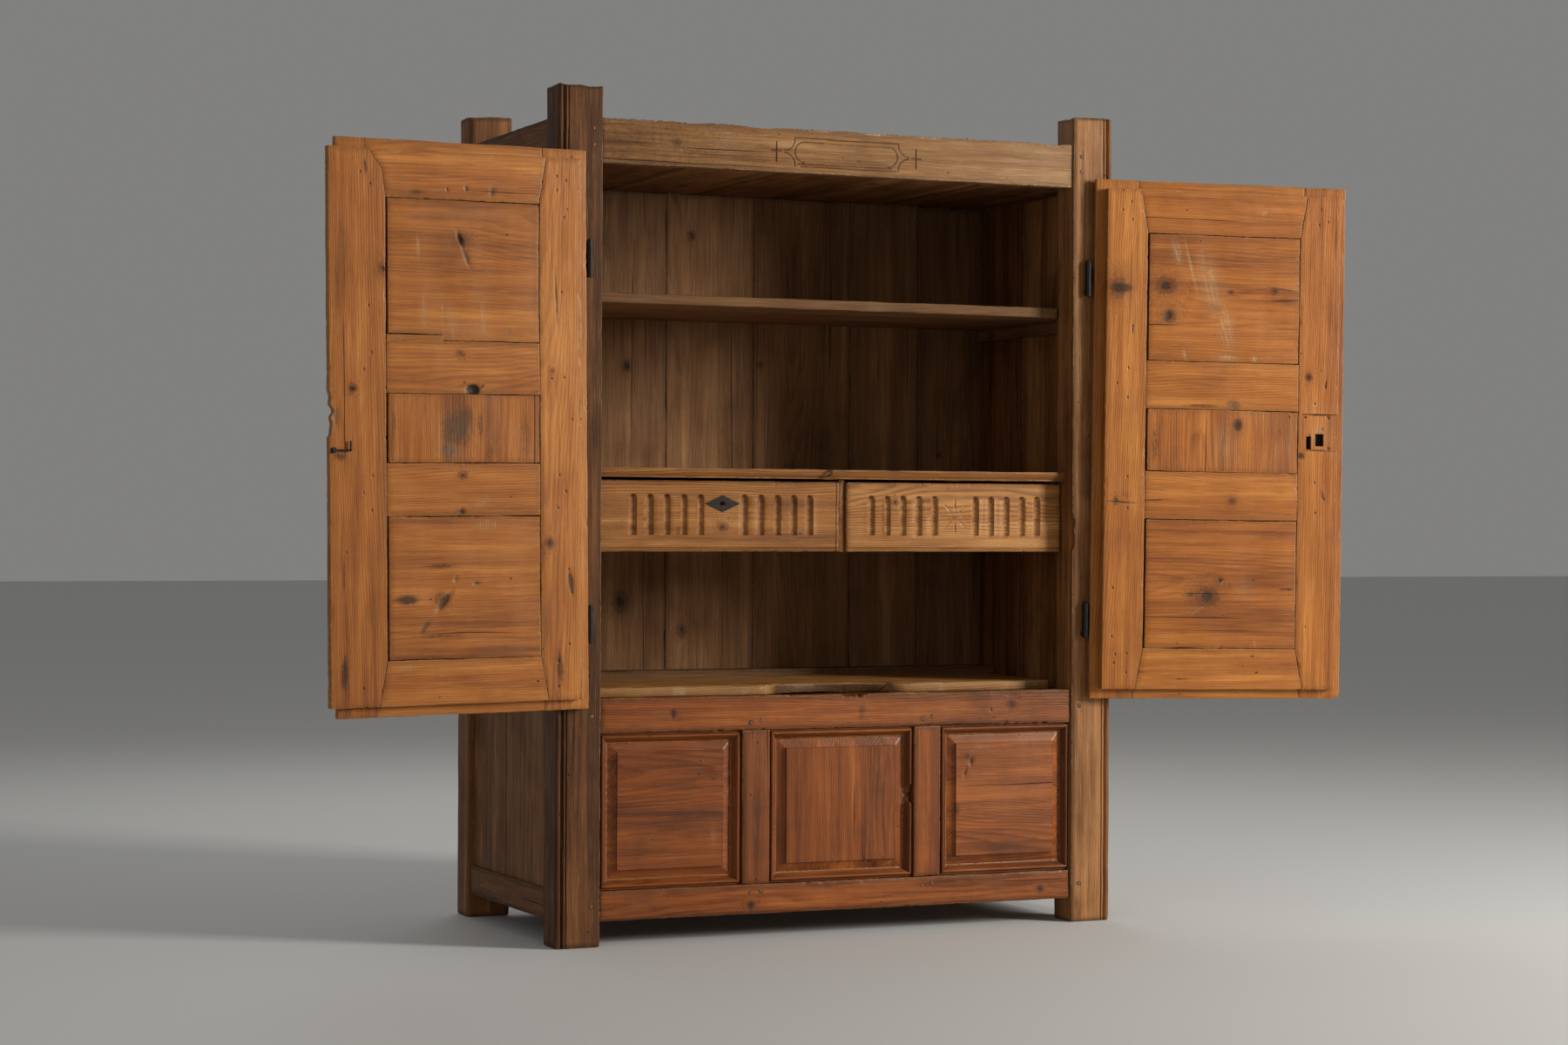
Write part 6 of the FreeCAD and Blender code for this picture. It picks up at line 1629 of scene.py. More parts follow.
STILE_MARKS = {
    ("left", "meeting"): (
        (0.54, 1.157, 0.006, 0.011, 0.0, 0.0015, 0.9), (0.56, 0.59, 0.05, 0.011, 0.0, 0.0, 0.75),
        (0.56, 0.785, 0.045, 0.004, 0.0, 0.0, 0.6), (0.51, 1.6, 0.022, 0.006, 8.0, 0.0, 0.6),
        (0.575, 1.1, 0.035, 0.01, 0.0, 0.002, 0.5, 0.6), (0.567, 1.022, 0.012, 0.02, 0.0, 0.0, 0.6),
    ),
    ("left", "hinge"): (
        (0.06, 0.765, 0.035, 0.008, 8.0, 0.001, 0.8), (0.108, 0.846, 0.022, 0.02, 0.0, 0.0, 0.45),
        (0.085, 0.59, 0.05, 0.012, 4.0, 0.0, 0.6), (0.09, 1.35, 0.08, 0.004, 2.0, 0.0006, 0.7),
    ),
    ("right", "hinge"): (
        (0.066, 1.417, 0.014, 0.036, 0.0, 0.0005, 0.95), (0.07, 0.939, 0.0022, 0.046, -3.0, 0.0012, 1.0),
        (0.072, 0.955, 0.016, 0.045, 0.0, 0.0, 0.3), (0.094, 1.325, 0.014, 0.003, 0.0, 0.0008, 0.9),
    ),
    ("right", "meeting"): (
        # The second to fourth marks are dark lines along the lock seat's top, bottom and inner edges: painted
        # shadow of the recess's step.
        (0.545, 1.104, 0.04, 0.046, 0.0, 0.0, 0.0, 0.5), (0.545, 1.144, 0.003, 0.04, 0.0, 0.0, 0.8),
        (0.545, 1.064, 0.003, 0.04, 0.0, 0.0, 0.6), (0.506, 1.104, 0.04, 0.003, 0.0, 0.0, 0.6),
        (0.553, 1.112, 0.005, 0.004, 0.0, 0.0006, 0.9), (0.522, 1.098, 0.005, 0.004, 0.0, 0.0006, 0.9),
        (0.516, 1.228, 0.009, 0.01, 0.0, 0.001, 0.8), (0.558, 1.213, 0.016, 0.003, -10.0, 0.001, 0.9),
        (0.545, 1.158, 0.006, 0.05, 0.0, 0.0, 0.3, 0.4), (0.545, 1.1, 0.036, 0.04, 20.0, 0.0, 0.0, 0.75),
        (0.5, 1.05, 0.01, 0.012, 0.0, 0.001, 0.85), (0.568, 1.068, 0.006, 0.006, 0.0, 0.001, 0.9),
        (0.568, 1.138, 0.006, 0.006, 0.0, 0.001, 0.9), (0.512, 1.138, 0.004, 0.006, 0.0, 0.001, 0.9),
        (0.555, 0.96, 0.02, 0.006, 14.0, 0.0, 0.55),
    ),
}
STILE_KNOTS = {
    ("left", "meeting"): ((0.474, 1.398, 0.009), (0.541, 1.157, 0.008)),
    ("left", "hinge"): ((0.108, 0.846, 0.007), (0.1, 1.2, 0.005)),
    ("right", "hinge"): ((0.058, 1.417, 0.017), (0.06, 0.942, 0.006)),
    ("right", "meeting"): ((0.516, 1.228, 0.008),),
}
PANEL_MARKS = {
    ("left", "top_panel"): (
        (0.305, 1.463, 0.017, 0.0055, 21.0, 0.0045, 1.0), (0.29, 1.425, 0.028, 0.007, 24.0, 0.001, 0.7, 0.3),
        (0.314, 1.47, 0.016, 0.004, 21.0, 0.0, 0.0, 0.9),
        (0.397, 1.445, 0.034, 0.0035, 3.0, 0.0003, 0.0, 1.0),
        (0.385, 1.305, 0.055, 0.012, 4.0, 0.0, 0.0, 0.8), (0.326, 1.295, 0.062, 0.013, 8.0, 0.0, 0.1, 0.8),
        (0.254, 1.3, 0.068, 0.01, 7.0, 0.0, 0.1, 0.8), (0.192, 1.268, 0.034, 0.012, 3.0, 0.0, 0.3, 0.7),
        (0.3, 1.28, 0.03, 0.12, 5.0, 0.0, 0.0, 0.5), (0.27, 1.512, 0.02, 0.16, 0.0, 0.0, 0.15, 0.35),
    ),
    ("left", "middle_panel"): (
        (0.312, 1.08, 0.06, 0.05, -12.0, 0.0, 0.62, 0.35),
        (0.33, 1.036, 0.022, 0.034, 0.0, 0.0008, 0.55, 0.8), (0.29, 1.1, 0.04, 0.02, 0.0, 0.0, 0.55, 0.1),
        (0.262, 1.085, 0.045, 0.008, 0.0, 0.0, 0.55, 0.1), (0.16, 1.06, 0.07, 0.03, 0.0, 0.0, 0.3),
        (0.23, 1.03, 0.02, 0.03, 0.0, 0.0, 0.35, 0.1), (0.452, 1.08, 0.07, 0.01, 0.0, 0.0, 0.4),
    ),
    ("left", "bottom_panel"): (
        (0.344, 0.729, 0.03, 0.008, -38.0, 0.003, 0.9, 0.3),
        (0.386, 0.678, 0.026, 0.009, -38.0, 0.0006, 0.6, 0.3),
        (0.319, 0.775, 0.007, 0.005, -20.0, 0.0018, 0.6, 0.8),
        (0.273, 0.766, 0.004, 0.009, 0.0, 0.0018, 0.8, 0.5), (0.424, 0.734, 0.016, 0.035, 0.0, 0.0, 0.75),
        (0.353, 0.801, 0.009, 0.05, 0.0, 0.0, 0.55), (0.36, 0.66, 0.006, 0.09, 0.0, 0.0, 0.55),
        (0.25, 0.885, 0.014, 0.035, 0.0, 0.0, 0.0, 0.9), (0.24, 0.822, 0.004, 0.1, 0.0, 0.0, 0.0, 0.6),
        (0.18, 0.632, 0.012, 0.03, 0.0, 0.0, 0.2, 0.6),
    ),
    ("right", "top_panel"): (
        (0.197, 1.5, 0.045, 0.018, 13.0, 0.0, 0.0, 1.0), (0.232, 1.47, 0.085, 0.006, 15.0, 0.0004, 0.1, 1.0),
        (0.28, 1.42, 0.11, 0.035, 15.0, 0.0, 0.15, 0.85), (0.318, 1.33, 0.07, 0.03, 14.0, 0.0, 0.1, 0.9),
        (0.22, 1.272, 0.014, 0.006, 14.0, 0.0006, 0.0, 1.3),
        (0.322, 1.268, 0.009, 0.034, 0.0, 0.0006, 0.0, 1.3),
        (0.386, 1.266, 0.009, 0.009, 20.0, 0.0006, 0.0, 1.3),
        (0.178, 1.359, 0.017, 0.012, -25.0, 0.0015, 0.9, 0.2), (0.171, 1.425, 0.014, 0.014, 0.0, 0.0005, 0.6),
        (0.327, 1.415, 0.008, 0.012, 0.0, 0.0, 0.6), (0.46, 1.4, 0.004, 0.05, 3.0, 0.0, 0.7),
        (0.45, 1.425, 0.003, 0.06, -6.0, 0.0, 0.6),
    ),
    ("right", "middle_panel"): (
        (0.347, 1.116, 0.016, 0.013, 0.0, 0.0006, 0.9), (0.315, 1.075, 0.065, 0.035, 0.0, 0.0, 0.1, 0.6),
        (0.15, 1.07, 0.07, 0.012, 0.0, 0.0, 0.5), (0.47, 1.07, 0.06, 0.012, 0.0, 0.0, 0.2, 0.5),
    ),
    ("right", "bottom_panel"): (
        (0.279, 0.73, 0.016, 0.018, 20.0, 0.0012, 0.9, 0.3), (0.31, 0.766, 0.006, 0.006, 0.0, 0.0015, 0.9),
        (0.316, 0.762, 0.007, 0.004, -25.0, 0.0008, 0.0, 1.0), (0.24, 0.735, 0.01, 0.02, 0.0, 0.0, 0.6, 0.3),
        (0.365, 0.745, 0.03, 0.03, 0.0, 0.0, 0.1, 0.5), (0.47, 0.748, 0.006, 0.03, 0.0, 0.0, 0.6),
        (0.395, 0.625, 0.018, 0.004, 4.0, 0.0, 0.0, 0.9), (0.26, 0.7, 0.003, 0.02, 30.0, 0.0004, 0.3, 0.9),
    ),
}
PANEL_KNOTS = {
    ("left", "top_panel"): ((0.3, 1.462, 0.01),), ("left", "middle_panel"): (),
    ("left", "bottom_panel"): ((0.348, 0.735, 0.01),),
    ("right", "top_panel"): ((0.171, 1.425, 0.016), (0.178, 1.357, 0.013), (0.431, 1.42, 0.007)),
    ("right", "middle_panel"): ((0.347, 1.116, 0.01),),
    ("right", "bottom_panel"): ((0.279, 0.73, 0.018), (0.31, 0.766, 0.006)),
}
RAIL_MARKS = {
    ("left", "top_rail"): (
        (0.333, 1.562, 0.006, 0.003, 10.0, 0.0012, 0.9, 0.3),
        (0.291, 1.566, 0.007, 0.005, 20.0, 0.0012, 0.9, 0.4),
        (0.233, 1.562, 0.014, 0.007, -10.0, 0.001, 0.7, 0.4),
        (0.401, 1.554, 0.006, 0.022, 0.0, 0.0008, 0.6, 0.3),
        (0.44, 1.632, 0.003, 0.012, 10.0, 0.0004, 0.0, 1.0),
    ),
    ("left", "bottom_rail"): ((0.425, 0.6, 0.008, 0.025, 0.0, 0.0004, 0.1, 1.0),),
    ("right", "top_rail"): ((0.406, 1.596, 0.008, 0.008, 0.0, 0.0006, 0.0, 1.3),),
    ("right", "bottom_rail"): (
        (0.39, 0.597, 0.003, 0.006, 0.0, 0.0, 0.9), (0.4, 0.56, 0.003, 0.006, 0.0, 0.0, 0.9),
        (0.22, 0.545, 0.003, 0.03, 0.0, 0.0, 0.6),
    ),
    ("left", 0): (
        (0.304, 0.911, 0.006, 0.006, 0.0, 0.001, 1.0), (0.26, 0.93, 0.014, 0.02, 30.0, 0.0, 0.0, 0.8),
    ),
    ("left", 1): (
        # The first mark is a knot hole whose dark paint runs past 1: painted black shade for its depth.
        (0.278, 1.158, 0.012, 0.016, 0.0, 0.004, 2.4), (0.256, 1.166, 0.006, 0.01, 30.0, 0.0, 0.6),
        (0.205, 1.185, 0.002, 0.003, 0.0, 0.0, 0.0, 1.3),
    ),
    ("right", 0): ((0.15, 0.945, 0.004, 0.06, 3.0, 0.0, 0.6), (0.15, 0.968, 0.003, 0.07, -3.0, 0.0, 0.5)),
    ("right", 1): (
        (0.335, 1.16, 0.01, 0.016, 0.0, 0.0008, 0.3, 0.8), (0.26, 1.158, 0.006, 0.06, 0.0, 0.0, 0.6),
    ),
}
RAIL_KNOTS = {
    ("left", 0): ((0.302, 0.985, 0.007), (0.304, 0.911, 0.006)), ("left", 1): ((0.305, 1.231, 0.006),),
    ("right", 0): ((0.336, 0.946, 0.008), (0.1, 0.945, 0.01)), ("right", 1): ((0.335, 1.16, 0.009),),
}
DOOR_TONES = {"hinge": -0.7, "meeting": 0.1, "top_panel": 0.5, "middle_panel": 0.4, "bottom_panel": 0.7}


# The lost lock's seat: its reach from the free edge, middle height, half height and depth
LOCK_SEAT = (0.086, 1.104, 0.042, 0.005)
# Its keyhole and bolt slot: their two edges from the free edge, bottom and top
LOCK_HOLES = ((0.053, 0.033, 1.0735, 1.1005), (0.075, 0.063, 1.0655, 1.0945))
HOLE_FLOOR = 0.001
LIP_REACH = LEAF + 0.02
LIP_BACK = -0.0012
LIP_ROUND = 0.016


def stile_parts(name, hinge_side):
    """The layers of a stile, as (near, far, low, high, front, back), measured from the hinge line."""
    near, far = (0.0105, HINGE_STILE) if hinge_side else (LEAF - MEETING_STILE[name], LEAF)
    lip_far, seam, leaf_near = LIP_REACH, LIP_BACK, near
    if hinge_side:
        lip_far, leaf_near = far, 0.032
    elif name == "left":
        lip_far, seam = 0.568, 0.0
    return [
        (near, lip_far, *LIP_LEVELS, DOOR_LIP_Y, seam),
        (leaf_near, far, DOOR_LEVELS[0], DOOR_LEVELS[7], seam, DOOR_BACK_Y),
    ]


def stile_warp(name, side, hinge_side, inner_edge):
    """Sloped shoulders at both ends, and the gnawed edge of the left door."""
    chewed = bite(1.061, 1.151, 0.0078, 61)
    seated = name == "right" and not hinge_side

    def warp(grid):
        up, across = grid[..., 0], grid[..., 1]
        grid = grid.copy()
        from_hinge = HINGE - side * across
        if seated:
            sunk = (np.abs(up - LOCK_SEAT[1]) < LOCK_SEAT[2]) & (from_hinge > LEAF - LOCK_SEAT[0])
            grid[..., 2] = np.where(sunk, np.minimum(grid[..., 2], DOOR_BACK_Y - LOCK_SEAT[3]), grid[..., 2])
            for near, far, low, high in LOCK_HOLES:
                hole = (from_hinge > LEAF - near) & (from_hinge < LEAF - far) & (up > low) & (up < high)
                grid[..., 2] = np.where(hole & (grid[..., 2] > HOLE_FLOOR), HOLE_FLOOR, grid[..., 2])
            out, down = from_hinge - (LIP_REACH - LIP_ROUND), LIP_LEVELS[0] + LIP_ROUND - up
            past = np.hypot(out, down)
            shrink = np.where(
                (out > 0) & (down > 0) & (past > LIP_ROUND), LIP_ROUND / np.maximum(past, 1e-6), 1,
            )
            from_hinge = np.where(shrink < 1, LIP_REACH - LIP_ROUND + out * shrink, from_hinge)
            grid[..., 0] = np.where(shrink < 1, LIP_LEVELS[0] + LIP_ROUND - down * shrink, up)
        flare = flare_at(name, hinge_side, up)
        if hinge_side:
            closeness = np.clip(1 - (inner_edge - from_hinge) / 0.045, 0, 1)
            moved = from_hinge - flare * closeness
        else:
            closeness = np.clip(1 - (from_hinge - inner_edge) / 0.05, 0, 1)
            moved = from_hinge + flare * closeness
            if name == "left":
                rim = np.clip(1 - (LEAF - from_hinge) / 0.012, 0, 1)
                moved = moved - chewed(up) * rim
        grid[..., 1] = side * (HINGE - moved)
        return grid

    return warp


STEP_SHARE = 0.36
STEP_UP = 0.011


def lock_hole_shade(spots):
    """Painted black shade at the bottom of the lock's holes."""
    x, y, z = np.moveaxis(spots, -1, 0)
    from_edge = x - (HINGE - LEAF)
    hole = (np.abs(y - HOLE_FLOOR) < 0.001) & (from_edge > 0.03) & (from_edge < 0.08)
    return only_dark(1.4 * (hole & (np.abs(z - 1.083) < 0.02)))


def panel_gap_shade(spots):
    """Painted black shade where a panel's hidden back shows through the gap beside it."""
    return only_dark(1.2 * (spots[..., 1] > 0.0085))


def step_lines(side, near, far):
    """Where the left door's top panel needs grid lines for its stepped lower edge."""
    x = side * (HINGE - far + STEP_SHARE * (far - near))
    return [x - 0.0004, x + 0.0004, x + 0.002, x - 0.002]


def step_warp(side, near, far):
    """Raises part of a panel's lower edge, where the rail below it is left higher."""
    def warp(grid):
        grid = grid.copy()
        from_hinge = HINGE - side * grid[..., 0]
        stands = from_hinge > far - STEP_SHARE * (far - near)
        low, high = DOOR_LEVELS[5], DOOR_LEVELS[6]
        share = np.clip((high - grid[..., 1]) / (high - low), 0, 1)
        grid[..., 1] += np.where(stands, share * (STEP_UP + 0.0008), 0)
        return grid

    return warp


class CUPBOARD_OT_doors(bpy.types.Operator):
    """Makes both doors' stiles, rails, panels and mouldings"""

    bl_idname = "cupboard.doors"
    bl_label = "Doors"

    def execute(self, context):
        for number, (name, (side, matrix)) in enumerate(DOORS.items()):
            seed = 700 + number * 50
            near, far = HINGE_STILE, LEAF - MEETING_STILE[name]
            lines = spread(DOOR_LEVELS[0], DOOR_LEVELS[1], 0.009)
            lines += spread(DOOR_LEVELS[6], DOOR_LEVELS[7], 0.009)
            lines += [DOOR_LEVELS[7] - 0.041]
            if name == "left":
                lines += spread(1.06, 1.152, 0.003)
            else:
                lines += [
                    LOCK_SEAT[1] + way * LOCK_SEAT[2] + by for way in (-1, 1) for by in (-0.0003, 0.0003)
                ]
                lines += [level + by for hole in LOCK_HOLES for level in hole[2:] for by in (-0.0002, 0.0002)]
                lines += spread(LIP_LEVELS[0], LIP_LEVELS[0] + LIP_ROUND, 0.002)
            for hinge_side, label in ((True, "hinge_stile"), (False, "meeting_stile")):
                timber = Timber(seed + (0 if hinge_side else 1))
                key = (name, "hinge" if hinge_side else "meeting")
                marks = door_spots(name, nicks(STILE_NICKS[key]) + list(STILE_MARKS[key]))
                seated = name == "right" and not hinge_side
                across = [LOCK_SEAT[0]] + [edge for hole in LOCK_HOLES for edge in hole[:2]] if seated else []
                across = [side * (HINGE - (LEAF - edge)) + by for edge in across for by in (-0.0002, 0.0002)]
                for a, b, low, high, front, back in stile_parts(name, hinge_side):
                    timber.member(
                        (low, high), along_door(side, a, b), (front, back), ease=0.0014, step=0.008,
                        wide=0.009, stations=lines,
                        warp=stile_warp(name, side, hinge_side, near if hinge_side else far), across=across,
                        wear=1.2, chip=1.0, matrix=matrix, marks=marks if back > 0.01 else (),
                        knots=door_knots(name, STILE_KNOTS[key]), tone=DOOR_TONES[key[1]],
                        stain=lock_hole_shade if seated else None,
                    )
                    timber.again()
                timber.finish(f"{name}_door_{label}", WOODS["door_wood"])
            self.rails(name, side, matrix, near, far, seed)
            self.panels(name, side, matrix, near, far, seed)
        return {"FINISHED"}

    def rails(self, name, side, matrix, near, far, seed):
        """Top, bottom and middle rails. The first two carry the lip beyond the door's inner face."""
        def ends_warp(grid):
            grid = grid.copy()
            from_hinge = HINGE - side * grid[..., 0]
            share = (from_hinge - near) / (far - near)
            up = grid[..., 1]
            shift = share * flare_at(name, False, up) - (1 - share) * flare_at(name, True, up)
            grid[..., 0] = side * (HINGE - (from_hinge + shift))
            return grid

        for label, low, high, lip_low, lip_high, extra in (
            ("bottom_rail", DOOR_LEVELS[0], DOOR_LEVELS[1], LIP_LEVELS[0], DOOR_LEVELS[1], 10),
            ("top_rail", DOOR_LEVELS[6], DOOR_LEVELS[7], DOOR_LEVELS[6], LIP_LEVELS[1], 11),
        ):
            timber = Timber(seed + extra)
            for bottom, top, front, back in (
                (lip_low, lip_high, DOOR_LIP_Y, LIP_BACK), (low, high, LIP_BACK, DOOR_BACK_Y),
            ):
                timber.member(
                    along_door(side, near, far), (bottom, top), (front, back), axes="xzy", ease=0.0014,
                    step=0.008, wide=0.008, warp=ends_warp, wear=1.1, chip=0.8, matrix=matrix,
                    marks=door_spots(name, RAIL_MARKS[name, label]) if back > 0.01 else (), knots=(),
                    tone=-0.1,
                )
                timber.again()
            timber.finish(f"{name}_door_{label}", WOODS["door_wood"])
        timber = Timber(seed + 12)
        for number, (low, high) in enumerate(
            ((DOOR_LEVELS[2], DOOR_LEVELS[3]), (DOOR_LEVELS[4], DOOR_LEVELS[5]))
        ):
            timber.member(
                along_door(side, near, far), (low, high), (DOOR_LIP_Y, DOOR_BACK_Y), axes="xzy", ease=0.0014,
                step=0.008, wide=0.008, wear=1.0, chip=0.7, matrix=matrix, tone=-0.3,
                marks=door_spots(name, RAIL_MARKS[name, number]),
                knots=door_knots(name, RAIL_KNOTS[name, number]),
            )
        if name == "left":
            timber.member(
                along_door(side, far - STEP_SHARE * (far - near), far - 0.001),
                (DOOR_LEVELS[5] - 0.0005, DOOR_LEVELS[5] + STEP_UP), (0.009, DOOR_BACK_Y), axes="xzy",
                ease=0.001, matrix=matrix, knots=(), tone=-0.3,
            )
        timber.finish(f"{name}_door_middle_rails", WOODS["door_wood"])

    def panels(self, name, side, matrix, near, far, seed):
        """Three panels, fielded outside and flush inside, with mouldings on the outer face."""
        strips = Timber(seed + 25)
        for number, (label, low, high, grain) in enumerate(
            (
                ("bottom_panel", DOOR_LEVELS[1], DOOR_LEVELS[2], "x"),
                ("middle_panel", DOOR_LEVELS[3], DOOR_LEVELS[4], "z"),
                ("top_panel", DOOR_LEVELS[5], DOOR_LEVELS[6], "x"),
            )
        ):
            x = along_door(side, near, far)
            z = (low, high)
            timber = Timber(seed + 20 + number)
            panel(
                timber, x, z, tongue=0.0032, field=-0.0068, back=0.0088, bevel=(0.02, 0.042), grain=grain,
                reach=0.0085, matrix=matrix, stain=panel_gap_shade,
            )
            inset, gap = 0.0008, 0.0045
            free = along_door(
                side, near + (inset if name == "left" else gap), far - (gap if name == "left" else inset),
            )
            wide, tall = free, (low + inset, high - inset)
            length, width = (wide, tall) if grain == "x" else (tall, wide)
            stepped = name == "left" and label == "top_panel"
            timber.member(
                length, width, (0.0088, 0.0175), axes="xzy" if grain == "x" else "zxy", ease=0.0012,
                step=0.006, wide=0.006, wear=1.2, chip=0.6, matrix=matrix, bend=1.8,
                marks=door_spots(name, PANEL_MARKS[name, label]),
                knots=door_knots(name, PANEL_KNOTS[name, label]), tone=DOOR_TONES[label],
                stations=step_lines(side, near, far) if stepped else (),
                warp=step_warp(side, near, far) if stepped else None,
            )
            timber.finish(f"{name}_door_{label}", WOODS["door_wood"])
            moulding(strips, x, z, front=-0.0115, back=0.0032, width=0.018, matrix=matrix, chip=0.8)
        strips.finish(f"{name}_door_mouldings", WOODS["door_wood"])


# Iron, pegs and nails


def fastening_tree(name, faceted):
    """A flattened dome on each point, turned to the way the point faces, with an uneven size and spin."""
    tree = bpy.data.node_groups.new(name, "GeometryNodeTree")
    names = {}
    for label, kind in (
        ("Points", "NodeSocketGeometry"), ("Radius", "NodeSocketFloat"), ("Proud", "NodeSocketFloat"),
        ("Collar", "NodeSocketFloat"), ("Seed", "NodeSocketInt"), ("Material", "NodeSocketMaterial"),
    ):
        names[label] = tree.interface.new_socket(label, in_out="INPUT", socket_type=kind).identifier
    tree.interface.new_socket("Geometry", in_out="OUTPUT", socket_type="NodeSocketGeometry")
    made = Nodes(tree)
    given = tree.nodes.new("NodeGroupInput")
    taken = {label: Socket(tree, given.outputs[label]) for label in names}
    sides = 7 if faceted else 16
    dome = made.node("GeometryNodeMeshUVSphere", Segments=sides, Rings=5 if faceted else 8, Radius=1.0)
    # The flat collar round each head carries the pegs' dark ring of dirt and painted shadow.
    collar = made.node("GeometryNodeMeshCircle", {"fill_type": "NGON"}, Vertices=16, Radius=taken["Collar"])
    joined = tree.nodes.new("GeometryNodeJoinGeometry")
    for part in (collar, dome):
        tree.links.new(part.value, joined.inputs[0])
    place = made.node("GeometryNodeInputPosition")
    x, y = made.split(place)[:2]
    shape = made.node(
        "GeometryNodeStoreNamedAttribute", {"data_type": "FLOAT", "domain": "POINT"},
        Geometry=Socket(tree, joined.outputs[0]), Name="from_middle", Value=(x * x + y * y) ** 0.5,
    )
    stretch = made.join(taken["Radius"], taken["Radius"], taken["Proud"])
    spot = made.node("ShaderNodeVectorMath", {"operation": "MULTIPLY"}, s0=place, s1=stretch)
    shape = made.node("GeometryNodeSetPosition", Geometry=shape, Position=spot)
    shape = made.node("GeometryNodeSetShadeSmooth", Geometry=shape, Shade_Smooth=not faceted)
    facing = made.node("GeometryNodeInputNamedAttribute", {"data_type": "FLOAT_VECTOR"}, Name="facing")
    turn = made.node("FunctionNodeAlignRotationToVector", {"axis": "Z"}, Vector=facing)
    chance = {"data_type": "FLOAT"}
    spin = made.node(
        "FunctionNodeRandomValue", chance, outlet="Value", s2=0.0, s3=math.tau, Seed=taken["Seed"],
    )
    spin = made.node("FunctionNodeAxisAngleToRotation", Axis=(0.0, 0.0, 1.0), Angle=spin)
    turn = made.node("FunctionNodeRotateRotation", {"rotation_space": "LOCAL"}, Rotation=turn, Rotate_By=spin)
    size = made.node(
        "FunctionNodeRandomValue", chance, outlet="Value", s2=0.88, s3=1.12, Seed=taken["Seed"] + 1.0,
    )
    heads = made.node(
        "GeometryNodeInstanceOnPoints", Points=taken["Points"], Instance=shape, Rotation=turn,
        Scale=made.join(size, size * 0.96, size),
    )
    heads = made.node("GeometryNodeRealizeInstances", Geometry=heads)
    heads = made.node("GeometryNodeSetMaterial", Geometry=heads, Material=taken["Material"])
    output = tree.nodes.new("NodeGroupOutput")
    tree.links.new(heads.value, output.inputs[0])
    return tree, names


def seats(piece, spots, towards):
    """Where lines through the spots meet a piece, and the way that it faces there."""
    bpy.context.view_layer.update()
    way = Vector(towards)
    found = []
    for spot in spots:
        start = Vector(spot) + Vector((0, FRONT, 0)) - way * 0.1
        hit, place, normal = piece.ray_cast(start, way)[:3]
        if not hit:
            raise RuntimeError(f"nothing of {piece.name} lies behind {spot}")
        found.append((place, normal))
    return found


def fastenings(name, places, tree, values):
    """One mesh of the heads that the tree sets on the places."""
    shape, names = tree
    mesh = bpy.data.meshes.new(name)
    mesh.from_pydata([list(place) for place, normal in places], [], [])
    facing = mesh.attributes.new("facing", "FLOAT_VECTOR", "POINT")
    facing.data.foreach_set("vector", [value for place, normal in places for value in normal])
    piece = bpy.data.objects.new(name, mesh)
    bpy.context.scene.collection.objects.link(piece)
    modifier = piece.modifiers.new("heads", "NODES")
    modifier.node_group = shape
    for label, value in values.items():
        modifier[names[label]] = value
    bpy.context.view_layer.update()
    result = bpy.data.meshes.new_from_object(piece.evaluated_get(bpy.context.evaluated_depsgraph_get()))
    piece.modifiers.remove(modifier)
    piece.data = result
    bpy.data.meshes.remove(mesh)
    return piece


NAIL_INSET = 0.03
PEG_OUT = 0.02
FRAME_PEG_RISES = ((TOP_RAIL[0], 0.036), (TOP_RAIL[0], 0.07), (CHEST_RAIL[0], 0.037), (BOTTOM_RAIL[0], 0.032))
MUNTIN_PEG_SPREAD = 0.012
MUNTIN_PEG_STAGGER = 0.00225
MUNTIN_PEG_LEVELS = {"chest_top_rail": 0.4635, "chest_bottom_rail": 0.0995}


class CUPBOARD_OT_pegs(bpy.types.Operator):
    """Makes the wooden pegs in the front frame"""

    bl_idname = "cupboard.pegs"
    bl_label = "Pegs"

    def execute(self, context):
        fittings = context.scene.fittings
        places = []
        for side, name in ((-1, "left"), (1, "right")):
            post = bpy.data.objects[f"front_{name}_post_timber"]
            spots = [(side * (OPENING + PEG_OUT), 0, low + rise) for low, rise in FRAME_PEG_RISES]
            places += seats(post, spots, (0, 1, 0))
        for name, level in MUNTIN_PEG_LEVELS.items():
            spots = []
            for side in (-1, 1):
                for way in (-1, 1):
                    across = side * (MUNTIN[0] + MUNTIN[1]) / 2 + way * MUNTIN_PEG_SPREAD
                    spots.append((across, 0, level + way * MUNTIN_PEG_STAGGER))
            places += seats(bpy.data.objects[f"{name}_timber"], spots, (0, 1, 0))
        values = {
            "Radius": fittings.peg_radius, "Proud": fittings.peg_proud, "Collar": 1.3, "Seed": 3,
            "Material": WOODS["peg"],
        }
        piece = fastenings("frame_peg_heads", places, fastening_tree("peg_heads", False), values)
        stand_for(piece, "frame_pegs")
        return {"FINISHED"}


def board_nails(ends, levels):
    """Nails near each board's edges and in its middle at every level, as (along the wall, level)."""
    spots = []
    for low, high in zip(ends[:-1], ends[1:]):
        for level in levels:
            spots.append((low + NAIL_INSET, level))
            spots.append(((low + high) / 2, level + 0.006))
            spots.append((high - NAIL_INSET, level - 0.004))
    return spots


